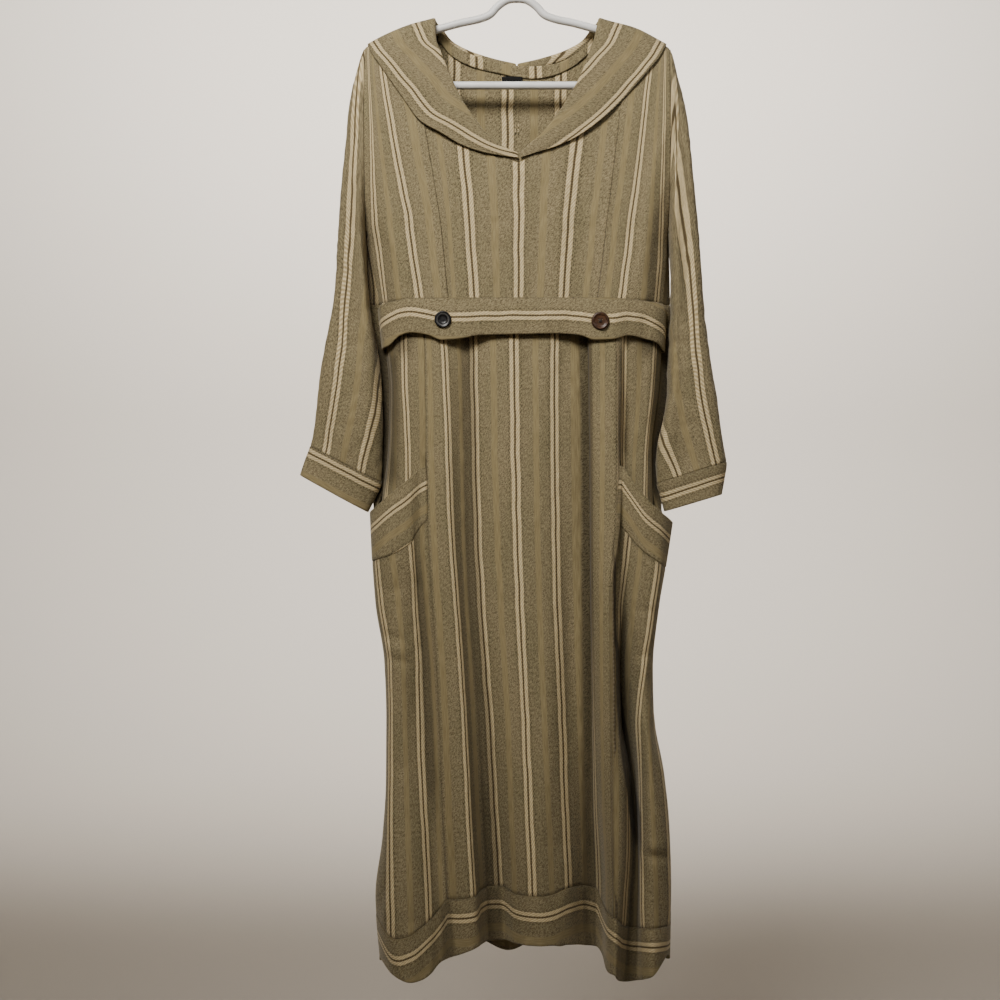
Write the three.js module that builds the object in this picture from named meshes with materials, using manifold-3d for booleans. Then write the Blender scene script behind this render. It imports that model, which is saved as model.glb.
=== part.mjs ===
// A long striped dress with a wide collar, on a tube hanger.
// Sizes in mm. X to the viewer's right, Y away from the viewer, Z up.
// The origin is the bearing point of the hanger's hook; d is the distance below it.
//
// Each table of cloth follows lines of the weave down a panel. k counts stripe
// repeats (64 mm) across the cloth; x and y give the line's place at each d.
// band = top of the hem band, hem = lower edge, low = lower edge of the pocket
// band, mouth = its upper edge (x, y, d).
import * as THREE from 'three';
import { mergeVertices } from 'three/addons/utils/BufferGeometryUtils.js';
import Module from 'manifold-3d';

const wasm = await Module();
wasm.setup();

const SKIRT_CENTRE = {
  d: [498.7, 600, 700, 800, 900, 1000, 1100, 1200, 1300, 1400],
  lines: [
    { line: 'left_seam', k: -2.65, x: [-128.9, -127.2, -125.6, -123.2, -117.6, -110.5, -105.6, -101.8, -96.2, -92.5], y: [-40, -42.8, -47.5, -53.2, -57.5, -63.3, -68.4, -73, -79.2, -84.3], band: 1313.6, hem: 1390.6 },
    { line: 'cream_m2', k: -2.0, x: [-105.3, -98.7, -94.8, -91.1, -84.1, -76.6, -70.5, -65.3, -59.4, -54.1], y: [-43, -46.5, -51.6, -57.2, -61.4, -68.4, -76, -83.8, -93.1, -100.9], band: 1306.8, hem: 1372.8 },
    { line: 'slope_m15', k: -1.55, x: [-86.1, -81.2, -79, -77.1, -72.8, -66.7, -61.3, -56.7, -50.9, -45.8], y: [-38, -37.1, -37.6, -39.5, -42.5, -48.8, -54.5, -58.7, -63.3, -66], band: 1305.5, hem: 1377.1 },
    { line: 'valley_m12', k: -1.27, x: [-75.2, -72.1, -69.9, -67.6, -63.4, -56.5, -50.3, -45.6, -41.3, -39.4], y: [-35, -31.5, -31, -31.2, -33.7, -37.6, -39.5, -40, -38.5, -36.3], band: 1308, hem: 1382.4 },
    { line: 'cream_m1', k: -1.0, x: [-62, -60, -58.1, -55.7, -50.9, -43.6, -36.9, -31.5, -25.2, -21.5], y: [-36, -34.2, -34.3, -35.4, -37.7, -41.6, -43.5, -44, -42.5, -40.2], band: 1306.1, hem: 1380.4 },
    { line: 'tan_m05', k: -0.5, x: [-33.7, -32.7, -31.2, -28.7, -23.9, -17.3, -12.1, -8.3, -4.1, -2.2], y: [-41, -42.4, -44.2, -46.8, -50.5, -56.3, -61.2, -64.5, -66.7, -68], band: 1310, hem: 1376.4 },
    { line: 'cream_0', k: 0.0, x: [-4.7, -4.3, -3.1, -0.9, 2.3, 7, 11.5, 15.4, 19.9, 23.3], y: [-42, -44.9, -48.1, -52.1, -57.4, -64.5, -71.7, -78.4, -85.3, -90.4], band: 1307.8, hem: 1372.7 },
    { line: 'tan_p05', k: 0.5, x: [24.3, 25.2, 26, 27.2, 29.7, 33.3, 37.5, 41.8, 45.8, 47.4], y: [-42, -44.9, -48.1, -52.1, -57.4, -64.6, -71.3, -77.2, -83.3, -88.4], band: 1307.1, hem: 1373.4 },
    { line: 'cream_p1', k: 1.0, x: [51.2, 51.2, 51.4, 52.2, 54, 57.9, 61.6, 64.7, 69, 70], y: [-40, -41.4, -43.7, -46.7, -49.6, -53.2, -57, -60.4, -62.7, -64], band: 1302.3, hem: 1379 },
    { line: 'tan_p15', k: 1.5, x: [78.4, 78.9, 79.7, 80.8, 82.3, 84.6, 87.1, 89.7, 93.2, 93.6], y: [-36, -34.2, -34.3, -35.2, -35.9, -37.5, -38, -38, -36.4, -35.1], band: 1307.9, hem: 1389.8 },
    { line: 'under_p18', k: 1.78, x: [102.2, 104.6, 106.2, 106.6, 105.4, 104.1, 103.6, 103.6, 106, 106.4], y: [-31.9, -27.8, -26.3, -26, -26.9, -29, -30.5, -31, -31, -30.2], band: 1311.5, hem: 1392.1 },
    { line: 'return_p20', k: 1.95, x: [96.2, 98.5, 99.9, 100.6, 101.1, 102.7, 104.7, 106.9, 111, 111.4], y: [-38, -36.2, -36, -36, -36, -37.4, -38, -38, -38, -38], band: 1312.9, hem: 1391.7 },
    { line: 'fold_p21', k: 2.14, x: [101.3, 102.9, 103.6, 104, 104.6, 105.8, 107.7, 110.5, 115.7, 115.9], y: [-45, -45.7, -46.6, -46.9, -46, -46.6, -47.3, -48.1, -49.6, -51.9], band: 1323.2, hem: 1395.3 },
    { line: 'tan_p25', k: 2.5, x: [116.3, 116.6, 116.3, 115.3, 114.5, 114.5, 114.9, 116.6, 120.3, 120], y: [-46, -49.7, -53.2, -57, -61.5, -67.4, -72.5, -76.9, -81.4, -86.3], band: 1328.3, hem: 1406.5 },
    { line: 'right_seam', k: 2.97, x: [140.1, 140.5, 140.6, 139.4, 128.8, 128.4, 128.2, 128.2, 128.6, 128.8], y: [-42, -49.5, -55.6, -62, -71.1, -80.2, -88.4, -95.8, -103.5, -111.2], band: 1331.2, hem: 1405.7 },
  ],
};
const POCKET_FRONT_L = {
  d: [780, 850, 920, 1000, 1080, 1160, 1240, 1320, 1400],
  lines: [
    { line: 'side_seam', k: -2.5, x: [-205.8, -202.4, -196.3, -183.5, -180.1, -180.6, -185.3, -196.2, -193.6], y: [2, 2, 2, 2, 2, 2, 2, 2, 2], low: 860.1, band: 1358.4, hem: 1419, mouth: [-203.3, 2, 795.2] },
    { line: 'turn_m22', k: -2.15, x: [-207.8, -202.3, -196.3, -184.1, -181.2, -181.3, -185.9, -194.7, -188.4], y: [-19.2, -21.7, -26.4, -30.2, -33.5, -36.8, -40.4, -43.8, -45.8], low: 859, band: 1344.1, hem: 1402.8, mouth: [-204.9, -18, 791.5] },
    { line: 'cream_m4', k: -1.68, x: [-196.5, -193.8, -187.3, -175, -173.3, -173.1, -172.5, -170.8, -167.2], y: [-41.2, -43.8, -46.6, -56.6, -61.4, -70.9, -85.3, -99.4, -107.4], low: 856, band: 1358, hem: 1405.7, mouth: [-193.8, -40, 782.3] },
    { line: 'tan_m35', k: -1.18, x: [-171.8, -170.2, -161.7, -155.8, -153.4, -150.4, -146.5, -142.7, -140.1], y: [-62, -62, -60.1, -64.3, -67.6, -77, -92.7, -107.7, -115.7], low: 847.7, band: 1351.5, hem: 1412.2, mouth: [-170.3, -58, 763.1] },
    { line: 'cream_m3', k: -0.68, x: [-150.3, -143.5, -140.2, -135.3, -133.7, -130, -124.5, -119.4, -116.9], y: [-61.6, -56.5, -50, -52.2, -56.4, -64.8, -79.5, -95.5, -105.7], low: 831.4, band: 1337, hem: 1404.9, mouth: [-149.1, -58, 746] },
    { line: 'valley_04', k: -0.4, x: [-139.8, -137.7, -132.7, -124, -119.7, -117.5, -113.9, -110, -108.3], y: [-54.9, -48.5, -44, -46.2, -51.3, -59.1, -71.5, -84.9, -92.9], low: 819.3, band: 1330, hem: 1397.7, mouth: [-140.4, -54, 737.7] },
    { line: 'tan_02', k: -0.18, x: [-133.6, -130.2, -124.1, -116.8, -112.5, -109.8, -106.8, -103.5, -100.5], y: [-49, -49, -49.1, -53.4, -58.4, -64.1, -72, -80.5, -86.5], low: 809.7, band: 1323.5, hem: 1393.2, mouth: [-134.5, -50, 732.8] },
  ],
};
const POCKET_FRONT_R = {
  d: [780, 850, 920, 1000, 1080, 1160, 1240, 1320, 1400],
  lines: [
    { line: 'wall_02', k: 0.18, x: [143.5, 138.5, 134, 137.3, 139.1, 142.6, 140.6, 136, 133.2], y: [-52.8, -50.1, -50, -52.4, -64.7, -83, -93.1, -98.4, -100.3], low: 808.3, band: 1338, hem: 1414.3, mouth: [146.2, -58, 730.9] },
    { line: 'cream_a', k: 0.45, x: [156.1, 149.6, 142.8, 141.5, 143.4, 150.8, 149.8, 144.3, 139.4], y: [-55.6, -50.6, -38.5, -26, -29.1, -54.3, -74, -82, -77.8], low: 822, band: 1348.4, hem: 1424.2, mouth: [153.5, -60, 742.6] },
    { line: 'valley_07', k: 0.75, x: [164.7, 160.1, 151.5, 145.9, 147.6, 157.9, 159.5, 155.1, 149.8], y: [-59.6, -54.6, -41.7, -15.9, -14.1, -22, -41.1, -58, -58], low: 833.5, band: 1357.7, hem: 1430.8, mouth: [164.2, -62, 757.6] },
    { line: 'tan_095', k: 1.0, x: [174.1, 169, 161.3, 155.7, 154.2, 163.6, 166.1, 163.5, 160.4], y: [-61.4, -60.2, -54.7, -35.2, -24.4, -24, -33.1, -55.9, -59.9], low: 842.3, band: 1359, hem: 1429, mouth: [175.1, -62, 771.3] },
    { line: 'cream_b', k: 1.45, x: [193.9, 193.6, 185.2, 173.6, 165.4, 168.7, 168.9, 168.2, 170.2], y: [-53.2, -55.8, -58, -55.8, -52.1, -52, -59.4, -76.6, -84.6], low: 859.5, band: 1352.7, hem: 1418.6, mouth: [195.7, -50, 789.8] },
    { line: 'tan_195', k: 1.95, x: [209.7, 204.9, 194.9, 185.3, 179.3, 180.9, 184, 186, 183.7], y: [-38.8, -36.1, -36, -40.5, -60.3, -75.7, -82.1, -86.5, -92.7], low: 866.7, band: 1350, hem: 1409.5, mouth: [210, -34, 800.3] },
    { line: 'cream_c', k: 2.4, x: [217.3, 209.6, 198.1, 189.2, 189.2, 200.2, 206, 207.7, 202.5], y: [-18, -18, -16, -16, -31.2, -50.7, -56, -58, -61.9], low: 868.3, band: 1355.8, hem: 1396.1, mouth: [216.5, -16, 806.2] },
    { line: 'side_seam', k: 2.75, x: [213.4, 208.3, 197.6, 187.7, 192.9, 207.4, 215.1, 217.3, 215.5], y: [2, 2, 2, 2, 2, 2, 2, 2, 2], low: 869.3, band: 1372.5, hem: 1416.2, mouth: [213.1, 2, 809.3] },
  ],
};
const SIDE_FRONT_L = {
  d: [498.7, 560, 620, 680, 712, 728, 780, 860, 960],
  lines: [
    { line: 'side_seam', k: -2.0, x: [-192.5, -185.1, -180.2, -181, -182.7, -184.6, -191, -194.8, -181.8], y: [2, 2, 2, 2, 2, 2, 2, 2, 2] },
    { line: 'turn_m17', k: -1.7, x: [-188, -181.3, -176.4, -177.2, -178.7, -180.2, -185.6, -189.1, -175.8], y: [-12.9, -12.1, -11.1, -11, -11, -11, -11, -14.1, -26.1] },
    { line: 'tan_m35', k: -1.12, x: [-176.9, -174.7, -170.9, -169.9, -169.9, -170.4, -172, -171.4, -159.6], y: [-25.9, -23.2, -21.4, -19.4, -19, -19, -19.1, -26.3, -43.2] },
    { line: 'cream_m3', k: -0.62, x: [-158.2, -157.1, -155.6, -152.8, -151.6, -151.2, -150.3, -148.6, -140.9], y: [-35, -33.2, -31.4, -29.6, -28.9, -28.5, -28.1, -33.2, -38.5] },
    { line: 'tan_02', k: -0.2, x: [-138, -137.3, -136.2, -135, -134.4, -134.2, -133.9, -134.5, -128.3], y: [-38, -39, -39, -38.3, -38, -38, -38, -38, -38.8] },
  ],
};
const SIDE_FRONT_R = {
  d: [498.7, 560, 620, 680, 712, 728, 780, 840, 905],
  lines: [
    { line: 'cream_half', k: 0.1, x: [147.4, 148, 147.8, 147.5, 147.3, 147, 144.8, 139.2, 135.1], y: [-38, -38, -35.1, -30.8, -30, -30.3, -32.2, -35, -39.5] },
    { line: 'tan_p35', k: 0.55, x: [167, 167.9, 167.3, 164.1, 162, 161.3, 159.1, 156.6, 150.1], y: [-35, -33.2, -29.9, -26.6, -26, -26.3, -28.4, -37, -33.8] },
    { line: 'cream_p4', k: 1.05, x: [190.1, 191, 188.2, 181.5, 179.2, 178.8, 178.1, 180.8, 176.3], y: [-26.9, -25.2, -23.3, -22.2, -22, -22, -22.1, -30.3, -33.7] },
    { line: 'turn_p43', k: 1.45, x: [201.9, 199, 195.1, 188, 186.4, 186.4, 186.5, 192, 186.8], y: [-12.9, -12.1, -11.2, -10.2, -10, -10, -10.1, -14.8, -17.7] },
    { line: 'side_seam', k: 2.0, x: [207.1, 204.1, 200.1, 191.7, 189.9, 190.2, 192.3, 198.3, 191.2], y: [2, 2, 2, 2, 2, 2, 2, 2, 2] },
  ],
};
const BODICE_FRONT = {
  d: [130, 190, 250, 310, 350, 385, 420, 498.7],
  lines: [
    { line: 'side_left', k: -4.35, x: [-212, -210.5, -210.1, -210.3, -211.2, -212.3, -208.4, -193.5], y: [-14.8, -25, -28.9, -26.1, -19.3, -6.9, 2, 2] },
    { line: 'cream_m4', k: -4.0, x: [-209.5, -206.1, -202.6, -200.8, -199.7, -198.5, -194, -184.5], y: [-15.1, -27, -31.8, -30.9, -28.3, -23, -15.3, -11.8] },
    { line: 'tan_m35', k: -3.5, x: [-203.7, -199.1, -192.9, -185.8, -180.9, -176.5, -172.8, -163.6], y: [-15.3, -27.9, -32.6, -33.7, -34.4, -35, -35, -36] },
    { line: 'cream_m3', k: -3.0, x: [-193.2, -185.8, -175.6, -164.8, -157.2, -150.3, -146.2, -134.3], y: [-15.7, -29.9, -34.4, -37.2, -38.7, -39.9, -40, -41] },
    { line: 'tan_m25', k: -2.5, x: [-171, -158.8, -146.7, -135.6, -128.5, -122.6, -118.7, -109.4], y: [-15.9, -30.8, -35.4, -38.2, -39.7, -40.9, -41, -42] },
    { line: 'fold_m23', k: -2.3, x: [-155.6, -143.6, -130.8, -120.1, -113.5, -108, -104.2, -96.3], y: [-15.9, -30.8, -35.3, -38.5, -40.3, -41.4, -41.5, -42.5] },
    { line: 'under_m20', k: -1.9, x: [-152.8, -140.8, -128.3, -117.7, -111.2, -105.8, -102.3, -94.4], y: [-12.8, -26, -30.4, -33.6, -35.3, -36.4, -36.5, -37.5] },
    { line: 'tan_m15', k: -1.5, x: [-136, -124.1, -111.8, -103.9, -99.3, -95.3, -92.8, -87.5], y: [-11.9, -25, -29.4, -32.6, -34.5, -35.9, -36, -37] },
    { line: 'cream_m1', k: -1.0, x: [-91.5, -86.6, -79.3, -73, -69.5, -66.8, -64.4, -59.2], y: [-13.3, -25, -30.3, -34, -36, -37.4, -37.5, -38.5] },
    { line: 'tan_m05', k: -0.5, x: [-41.9, -40.7, -38.4, -35.4, -33.5, -32, -30.7, -28.1], y: [-13.5, -26, -31.2, -34.9, -37.1, -38.9, -39, -40] },
    { line: 'cream_0', k: 0.0, x: [2.3, 2.1, 2.1, 2, 2, 2, 2, 1.9], y: [-13.5, -26, -31.2, -34.9, -37.1, -38.9, -39, -40.5] },
    { line: 'tan_p05', k: 0.5, x: [47, 44.8, 42.4, 39.3, 37.3, 35.8, 34.5, 31.2], y: [-13.5, -26, -31.2, -34.9, -37.1, -38.9, -39, -40] },
    { line: 'cream_p1', k: 1.0, x: [96.7, 91.5, 86, 78.3, 73.7, 70.7, 68.2, 63], y: [-13.3, -25, -30.3, -34, -36, -37.4, -37.5, -38.5] },
    { line: 'tan_p15', k: 1.5, x: [141.5, 130.4, 121.7, 114.2, 109.4, 105.4, 102.8, 93.4], y: [-11.9, -25, -29.4, -32.6, -34.5, -35.9, -36, -37] },
    { line: 'under_p20', k: 1.9, x: [156, 147, 140, 132.7, 127.6, 123.1, 119.2, 109.2], y: [-12.8, -26, -30.4, -33.6, -35.3, -36.4, -36.5, -37.5] },
    { line: 'fold_p23', k: 2.3, x: [158.6, 149.3, 142, 135.1, 130.1, 125.3, 121.7, 111.5], y: [-15.9, -30.8, -35.3, -38.5, -40.3, -41.4, -41.5, -42.5] },
    { line: 'tan_p25', k: 2.5, x: [172.4, 162.1, 154.6, 146.8, 141.3, 136.5, 132.8, 123.5], y: [-15.9, -30.8, -35.4, -38.2, -39.7, -40.9, -41, -42] },
    { line: 'cream_p3', k: 3.0, x: [191, 182.2, 175.3, 168.1, 162.7, 157.3, 153.5, 142.8], y: [-15.7, -29.9, -34.4, -37.2, -38.7, -39.9, -40, -41] },
    { line: 'tan_p35', k: 3.5, x: [201.8, 196.9, 192.9, 189.2, 186.6, 184.2, 181.7, 173.7], y: [-15.3, -27.9, -32.6, -33.7, -34.4, -35, -35, -36] },
    { line: 'cream_p4', k: 4.0, x: [207.9, 205.4, 203.6, 202, 201, 200.4, 200.3, 195], y: [-15.1, -27, -31.8, -30.9, -28.3, -23, -15.3, -11.8] },
    { line: 'side_right', k: 4.35, x: [211.7, 210.5, 210, 210.3, 211.4, 212.8, 211.9, 207.1], y: [-14.8, -25, -28.9, -26.1, -19.3, -6.9, 2, 2] },
  ],
};
const COLLAR_L = [
  { neck: [0.2, 235.1], outer: [0.2, 240] },
  { neck: [-15.7, 225.8], outer: [-24, 231.9] },
  { neck: [-30.9, 213.1], outer: [-48.9, 222.1] },
  { neck: [-48.9, 192.7], outer: [-76.5, 205.4] },
  { neck: [-68.3, 162], outer: [-107, 178.5] },
  { neck: [-84.9, 129], outer: [-134.7, 153.4] },
  { neck: [-97.5, 96.5], outer: [-159.9, 110.2] },
  { neck: [-108.8, 63.8], outer: [-185.2, 63.5] },
  { neck: [-115.9, 40.3], outer: [-204.1, 23.7] },
  { neck: [-118, 0], outer: [-210, 0] },
  { neck: [-116, -7], outer: [-210.5, -25] },
  { neck: [-108, -18.5], outer: [-205, -68] },
  { neck: [-95, -38], outer: [-184, -110] },
  { neck: [-68, -60], outer: [-143, -146] },
  { neck: [-35, -77.5], outer: [-82, -173] },
  { neck: [-1.5, -91], outer: [-1.5, -188] },
];
const COLLAR_R = [
  { neck: [4.3, 234.3], outer: [4.3, 239.2] },
  { neck: [17.4, 219.9], outer: [24.3, 228.4] },
  { neck: [32.7, 203.7], outer: [49.2, 215.7] },
  { neck: [47.9, 183.1], outer: [76.9, 196.9] },
  { neck: [64.6, 156], outer: [108.8, 165.9] },
  { neck: [78.5, 129.5], outer: [135.3, 134.2] },
  { neck: [91.1, 101.4], outer: [159.1, 100.5] },
  { neck: [101, 70.7], outer: [181.7, 65.1] },
  { neck: [109.7, 44], outer: [200.5, 31] },
  { neck: [118, 0], outer: [210, 0] },
  { neck: [116, -7], outer: [210.5, -25] },
  { neck: [108, -18.5], outer: [205, -68] },
  { neck: [95, -38], outer: [184, -110] },
  { neck: [68, -60], outer: [143, -146] },
  { neck: [35, -77.5], outer: [82, -173] },
  { neck: [1.5, -91], outer: [1.5, -188] },
];

// ---------------------------------------------------------------- sizes
const T = 2;          // cloth wall
const GAP = 0.15;     // each piece stops this far short of a seam line
const B = 9;          // how tightly the cloth rounds over the hanger arm
const WAIST = 498.7;  // waist seam below the hook
const SEAM_Y = 2;     // side seams lie in this plane
const ARM_X = 213;    // armhole seams lie in these planes
const MOUTH = 728;    // pocket mouth at its inner end
const LOW = 800;      // lower edge of the pocket band at its inner end
const OVER = 3.2;     // a piece laid on another: mid wall to mid wall
const BAND_H = 66;    // hem band at the back

// height of the shoulder fold below the hook against |x|
const SHOULDER = { at: [0, 60, 121, 165, 190, 213], d: [70, 82, 100, 114.5, 125, 137] };
// front neck edge of the bodice and back neck edge
const NECK_FRONT = { at: [-122, -119.5, -117, -111, -99.5, -87, -70, -50.5, -32, -17, 2, 19, 34.5, 50, 66.5, 80.5, 93, 103, 111.5, 117, 122],
  d: [100.5, 122, 138, 154, 183, 211, 239, 266, 283.5, 293, 299.5, 286, 274, 256, 233, 210, 186, 158, 134.5, 118, 100.5] };
const NECK_BACK = { at: [-122, -108, -95, -68, -35, 0, 23, 52, 78, 96, 109, 122],
  d: [100.5, 110, 123.5, 138, 148.5, 154.5, 155.5, 152.5, 142.5, 129, 115, 100.5] };
// line of the seam at each side of the skirt below the waist
const SIDE_SEAM = { d: [WAIST, 560, 620, 680, 728, 760, 785, 800, 815, 850, 920, 1000, 1080, 1160, 1240, 1320, 1420],
  left: [-192.5, -185.1, -180.2, -181, -184.6, -190, -199, -203, -204.5, -202.4, -196.3, -183.5, -180.1, -180.6, -185.3, -196.2, -193.6],
  right: [207.1, 204.1, 200.1, 191.7, 190.2, 192, 198, 208, 213, 208.3, 197.6, 187.7, 192.9, 207.4, 215.1, 217.3, 215.5] };
// the back's fullness beside each side seam, which fills the space as far as the sleeve
const FULL = { d: [397, 420, 455, WAIST, 548, 590, 633, 668, 700, 727, 750, 770, 790, 815, 850, 920, 1000, 1100, 1300, 1420],
  left: [-210.4, -210.1, -209.2, -204.4, -197.2, -190.3, -187.4, -185.9, -186.9, -187.6, -189.6, -194.5, -200.5, -203.5, -201.5, -195.5, -183.5, -179.2, -192, -192],
  right: [210.4, 211.9, 213.4, 213.9, 212.9, 211.2, 208, 202.2, 195.8, 193.8, 195.5, 199.5, 204.5, 212, 207.5, 197, 188.6, 195.8, 214.8, 213.5],
  y: [9, 10.5, 11, 11, 11, 11, 10.5, 10, 10, 10, 9.5, 9, 9, 9, 9, 9, 9.5, 10, 11, 12] };
// back of the skirt: ridges and troughs from the left seam round to the right seam
const SKIRT_BACK = { d: [WAIST, 700, 900, 1100, 1300, 1420],
  lines: [
    { line: 'fullness_left', k: 0.12, d: FULL.d, x: FULL.left, y: FULL.y },
    { line: 'turn_left', k: 0.28, x: [-186, -174, -189, -173, -188, -187], y: [19, 18, 17, 20, 23, 24] },
    { line: 'flank_left', k: 0.8, x: [-170, -163, -168, -159, -163, -160], y: [28, 30, 34, 40, 46, 48] },
    { line: 'ridge_1', k: 1.45, x: [-134, -133, -134, -130, -131, -130], y: [36, 39, 46, 58, 70, 76] },
    { line: 'trough_1', k: 2.1, x: [-98, -99, -98, -95, -92, -90], y: [36, 38, 41, 46, 50, 52] },
    { line: 'ridge_2', k: 2.6, x: [-68, -69, -66, -62, -58, -56], y: [39, 42, 47, 56, 64, 67] },
    { line: 'trough_2', k: 3.3, x: [-28, -30, -27, -22, -17, -14], y: [39, 39, 40, 42, 44, 44] },
    { line: 'ridge_3', k: 4.05, x: [16, 14, 17, 22, 29, 33], y: [41, 46, 58, 74, 88, 94] },
    { line: 'trough_3', k: 4.8, x: [56, 53, 54, 58, 63, 65], y: [38, 37, 38, 40, 42, 42] },
    { line: 'ridge_4', k: 5.25, x: [84, 81, 83, 88, 95, 99], y: [39, 42, 48, 58, 66, 69] },
    { line: 'trough_4', k: 5.75, x: [112, 108, 111, 116, 123, 126], y: [37, 38, 41, 46, 50, 51] },
    { line: 'ridge_5', k: 6.3, x: [145, 140, 142, 146, 153, 156], y: [36, 39, 46, 58, 71, 77] },
    { line: 'flank_right', k: 6.9, x: [178, 168, 172, 171, 182, 184], y: [29, 29, 33, 38, 46, 49] },
    { line: 'turn_right', k: 7.4, x: [200, 184, 192, 190, 207, 208], y: [19, 17, 16, 18, 21, 22] },
    { line: 'fullness_right', k: 7.6, d: FULL.d, x: FULL.right, y: FULL.y },
  ] };
// waist band across the front, side seam to side seam
const WAIST_BAND = [
  { x: -196, xLow: -190, yTop: 0.4, yLow: 0.4, top: 505, low: 562 },
  { x: -192, xLow: -186, yTop: -15.5, yLow: -16, top: 503, low: 561 },
  { x: -180, xLow: -178, yTop: -30, yLow: -29, top: 501, low: 559 },
  { x: -162, xLow: -161, yTop: -40.5, yLow: -40, top: 498, low: 546 },
  { x: -146, xLow: -146, yTop: -46, yLow: -46, top: 496.5, low: 543 },
  { x: -122, xLow: -122, yTop: -49, yLow: -50.5, top: 496.5, low: 547 },
  { x: -104, xLow: -104, yTop: -49.6, yLow: -52.5, top: 496.5, low: 554 },
  { x: -78, xLow: -78, yTop: -49.8, yLow: -52, top: 496.5, low: 552 },
  { x: -50, xLow: -50, yTop: -50, yLow: -51, top: 496.5, low: 547 },
  { x: 0, xLow: 0, yTop: -50.2, yLow: -51.5, top: 496.5, low: 546 },
  { x: 54, xLow: 54, yTop: -50, yLow: -51, top: 496.5, low: 545 },
  { x: 84, xLow: 84, yTop: -49.9, yLow: -52, top: 496.5, low: 547 },
  { x: 106, xLow: 106, yTop: -49.8, yLow: -53, top: 496.5, low: 554 },
  { x: 130, xLow: 130, yTop: -49, yLow: -52, top: 497, low: 553 },
  { x: 152, xLow: 153, yTop: -45.5, yLow: -46.5, top: 497.5, low: 547 },
  { x: 171, xLow: 172, yTop: -40.5, yLow: -40, top: 499, low: 550 },
  { x: 193, xLow: 194, yTop: -31.5, yLow: -30.5, top: 501, low: 556 },
  { x: 206, xLow: 203.5, yTop: -16, yLow: -16, top: 504, low: 564 },
  { x: 210.8, xLow: 208, yTop: 0.4, yLow: 0.4, top: 507, low: 566 },
];
// sleeve and cuff: upper line and under line of each ring, and its depth to the front and to the back
const SLEEVE_L = [
  { over: [-213.6, 137], under: [-213.6, 397], front: 29, back: 29 },
  { over: [-228, 183], under: [-213, 420], front: 30, back: 30 },
  { over: [-236, 222], under: [-212, 455], front: 31, back: 31 },
  { over: [-240, 268], under: [-207, 500], front: 31, back: 31 },
  { over: [-245, 331], under: [-200, 548], front: 31, back: 30 },
  { over: [-250.5, 401], under: [-193, 590], front: 30, back: 29 },
  { over: [-258, 485], under: [-190, 633], front: 29, back: 28 },
  { over: [-267, 549], under: [-188.5, 668], front: 28, back: 26 },
  { over: [-276.5, 605], under: [-189.5, 697], front: 26, back: 24 },
  { over: [-284, 658], under: [-190, 722], front: 23, back: 21 },
  { over: [-290, 698], under: [-192, 749], front: 20, back: 18 },
  { over: [-297, 718], under: [-201, 770], front: 17, back: 16 },
  { over: [-304, 739], under: [-211, 790], front: 16, back: 15 },
];
const SLEEVE_R = [
  { over: [213.6, 137], under: [213.6, 397], front: 29, back: 29 },
  { over: [227, 184], under: [214.5, 420], front: 30, back: 30 },
  { over: [237, 228], under: [216, 455], front: 31, back: 31 },
  { over: [243, 275], under: [216.5, 500], front: 31, back: 31 },
  { over: [248, 328], under: [215.5, 548], front: 31, back: 30 },
  { over: [254, 400], under: [214, 590], front: 30, back: 29 },
  { over: [261, 490], under: [210.8, 633], front: 29, back: 28 },
  { over: [269, 558], under: [205, 668], front: 28, back: 26 },
  { over: [278, 612], under: [198.5, 700], front: 26, back: 24 },
  { over: [287, 668], under: [196.5, 726], front: 23, back: 21 },
  { over: [294, 720], under: [198.4, 750], front: 20, back: 18 },
  { over: [291, 743], under: [203.5, 769], front: 17, back: 16 },
  { over: [287, 765.5], under: [209, 789], front: 16, back: 15 },
];
// hanger: half of the loop, from the middle of the arch to the middle of the bar, and the hook
const HANGER = { r: 5.5,
  half: [[0, 67.6], [14, 69.5], [27, 78], [38, 89.5], [52, 95.6], [80, 101.8], [120, 112.6], [165, 124], [186, 131.5], [198, 143], [201, 158], [195, 174], [180, 184.5], [150, 189], [90, 189.6], [0, 189.6]],
  hook: [[-24, 33], [-26, 20], [-18.4, 1.6], [0, -5.6], [18.4, 1.6], [25.6, 20], [18.4, 38.4], [5, 47], [0, 55], [0, 68]] };
const BUTTONS = [
  { name: 'button_left', x: -102.3, d: 526.6, y: -57, r: 11.6, h: 3.4, holes: 0 },
  { name: 'button_right', x: 113.4, d: 528.7, y: -57.2, r: 12.4, h: 3.4, holes: 4 },
];
const LABEL = { x: [-21, 8], d: [168.6, 180.5] };

// ---------------------------------------------------------------- curves through the tables
// monotone curve through (xs, ys)
function curve(xs, ys) {
  const n = xs.length;
  const h = [];
  const s = [];
  for (let i = 0; i < n - 1; i += 1) { h.push(xs[i + 1] - xs[i]); s.push((ys[i + 1] - ys[i]) / h[i]); }
  const m = [s[0]];
  for (let i = 1; i < n - 1; i += 1) m.push(s[i - 1] * s[i] <= 0 ? 0 : (2 * s[i - 1] * s[i]) / (s[i - 1] + s[i]));
  m.push(s[n - 2]);
  return (x) => {
    if (x <= xs[0]) return ys[0] + m[0] * (x - xs[0]);
    if (x >= xs[n - 1]) return ys[n - 1] + m[n - 1] * (x - xs[n - 1]);
    let i = 0;
    while (i < n - 2 && x > xs[i + 1]) i += 1;
    const t = (x - xs[i]) / h[i];
    const t2 = t * t;
    const t3 = t2 * t;
    return (2 * t3 - 3 * t2 + 1) * ys[i] + (t3 - 2 * t2 + t) * h[i] * m[i]
      + (3 * t2 - 2 * t3) * ys[i + 1] + (t3 - t2) * h[i] * m[i + 1];
  };
}
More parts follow.
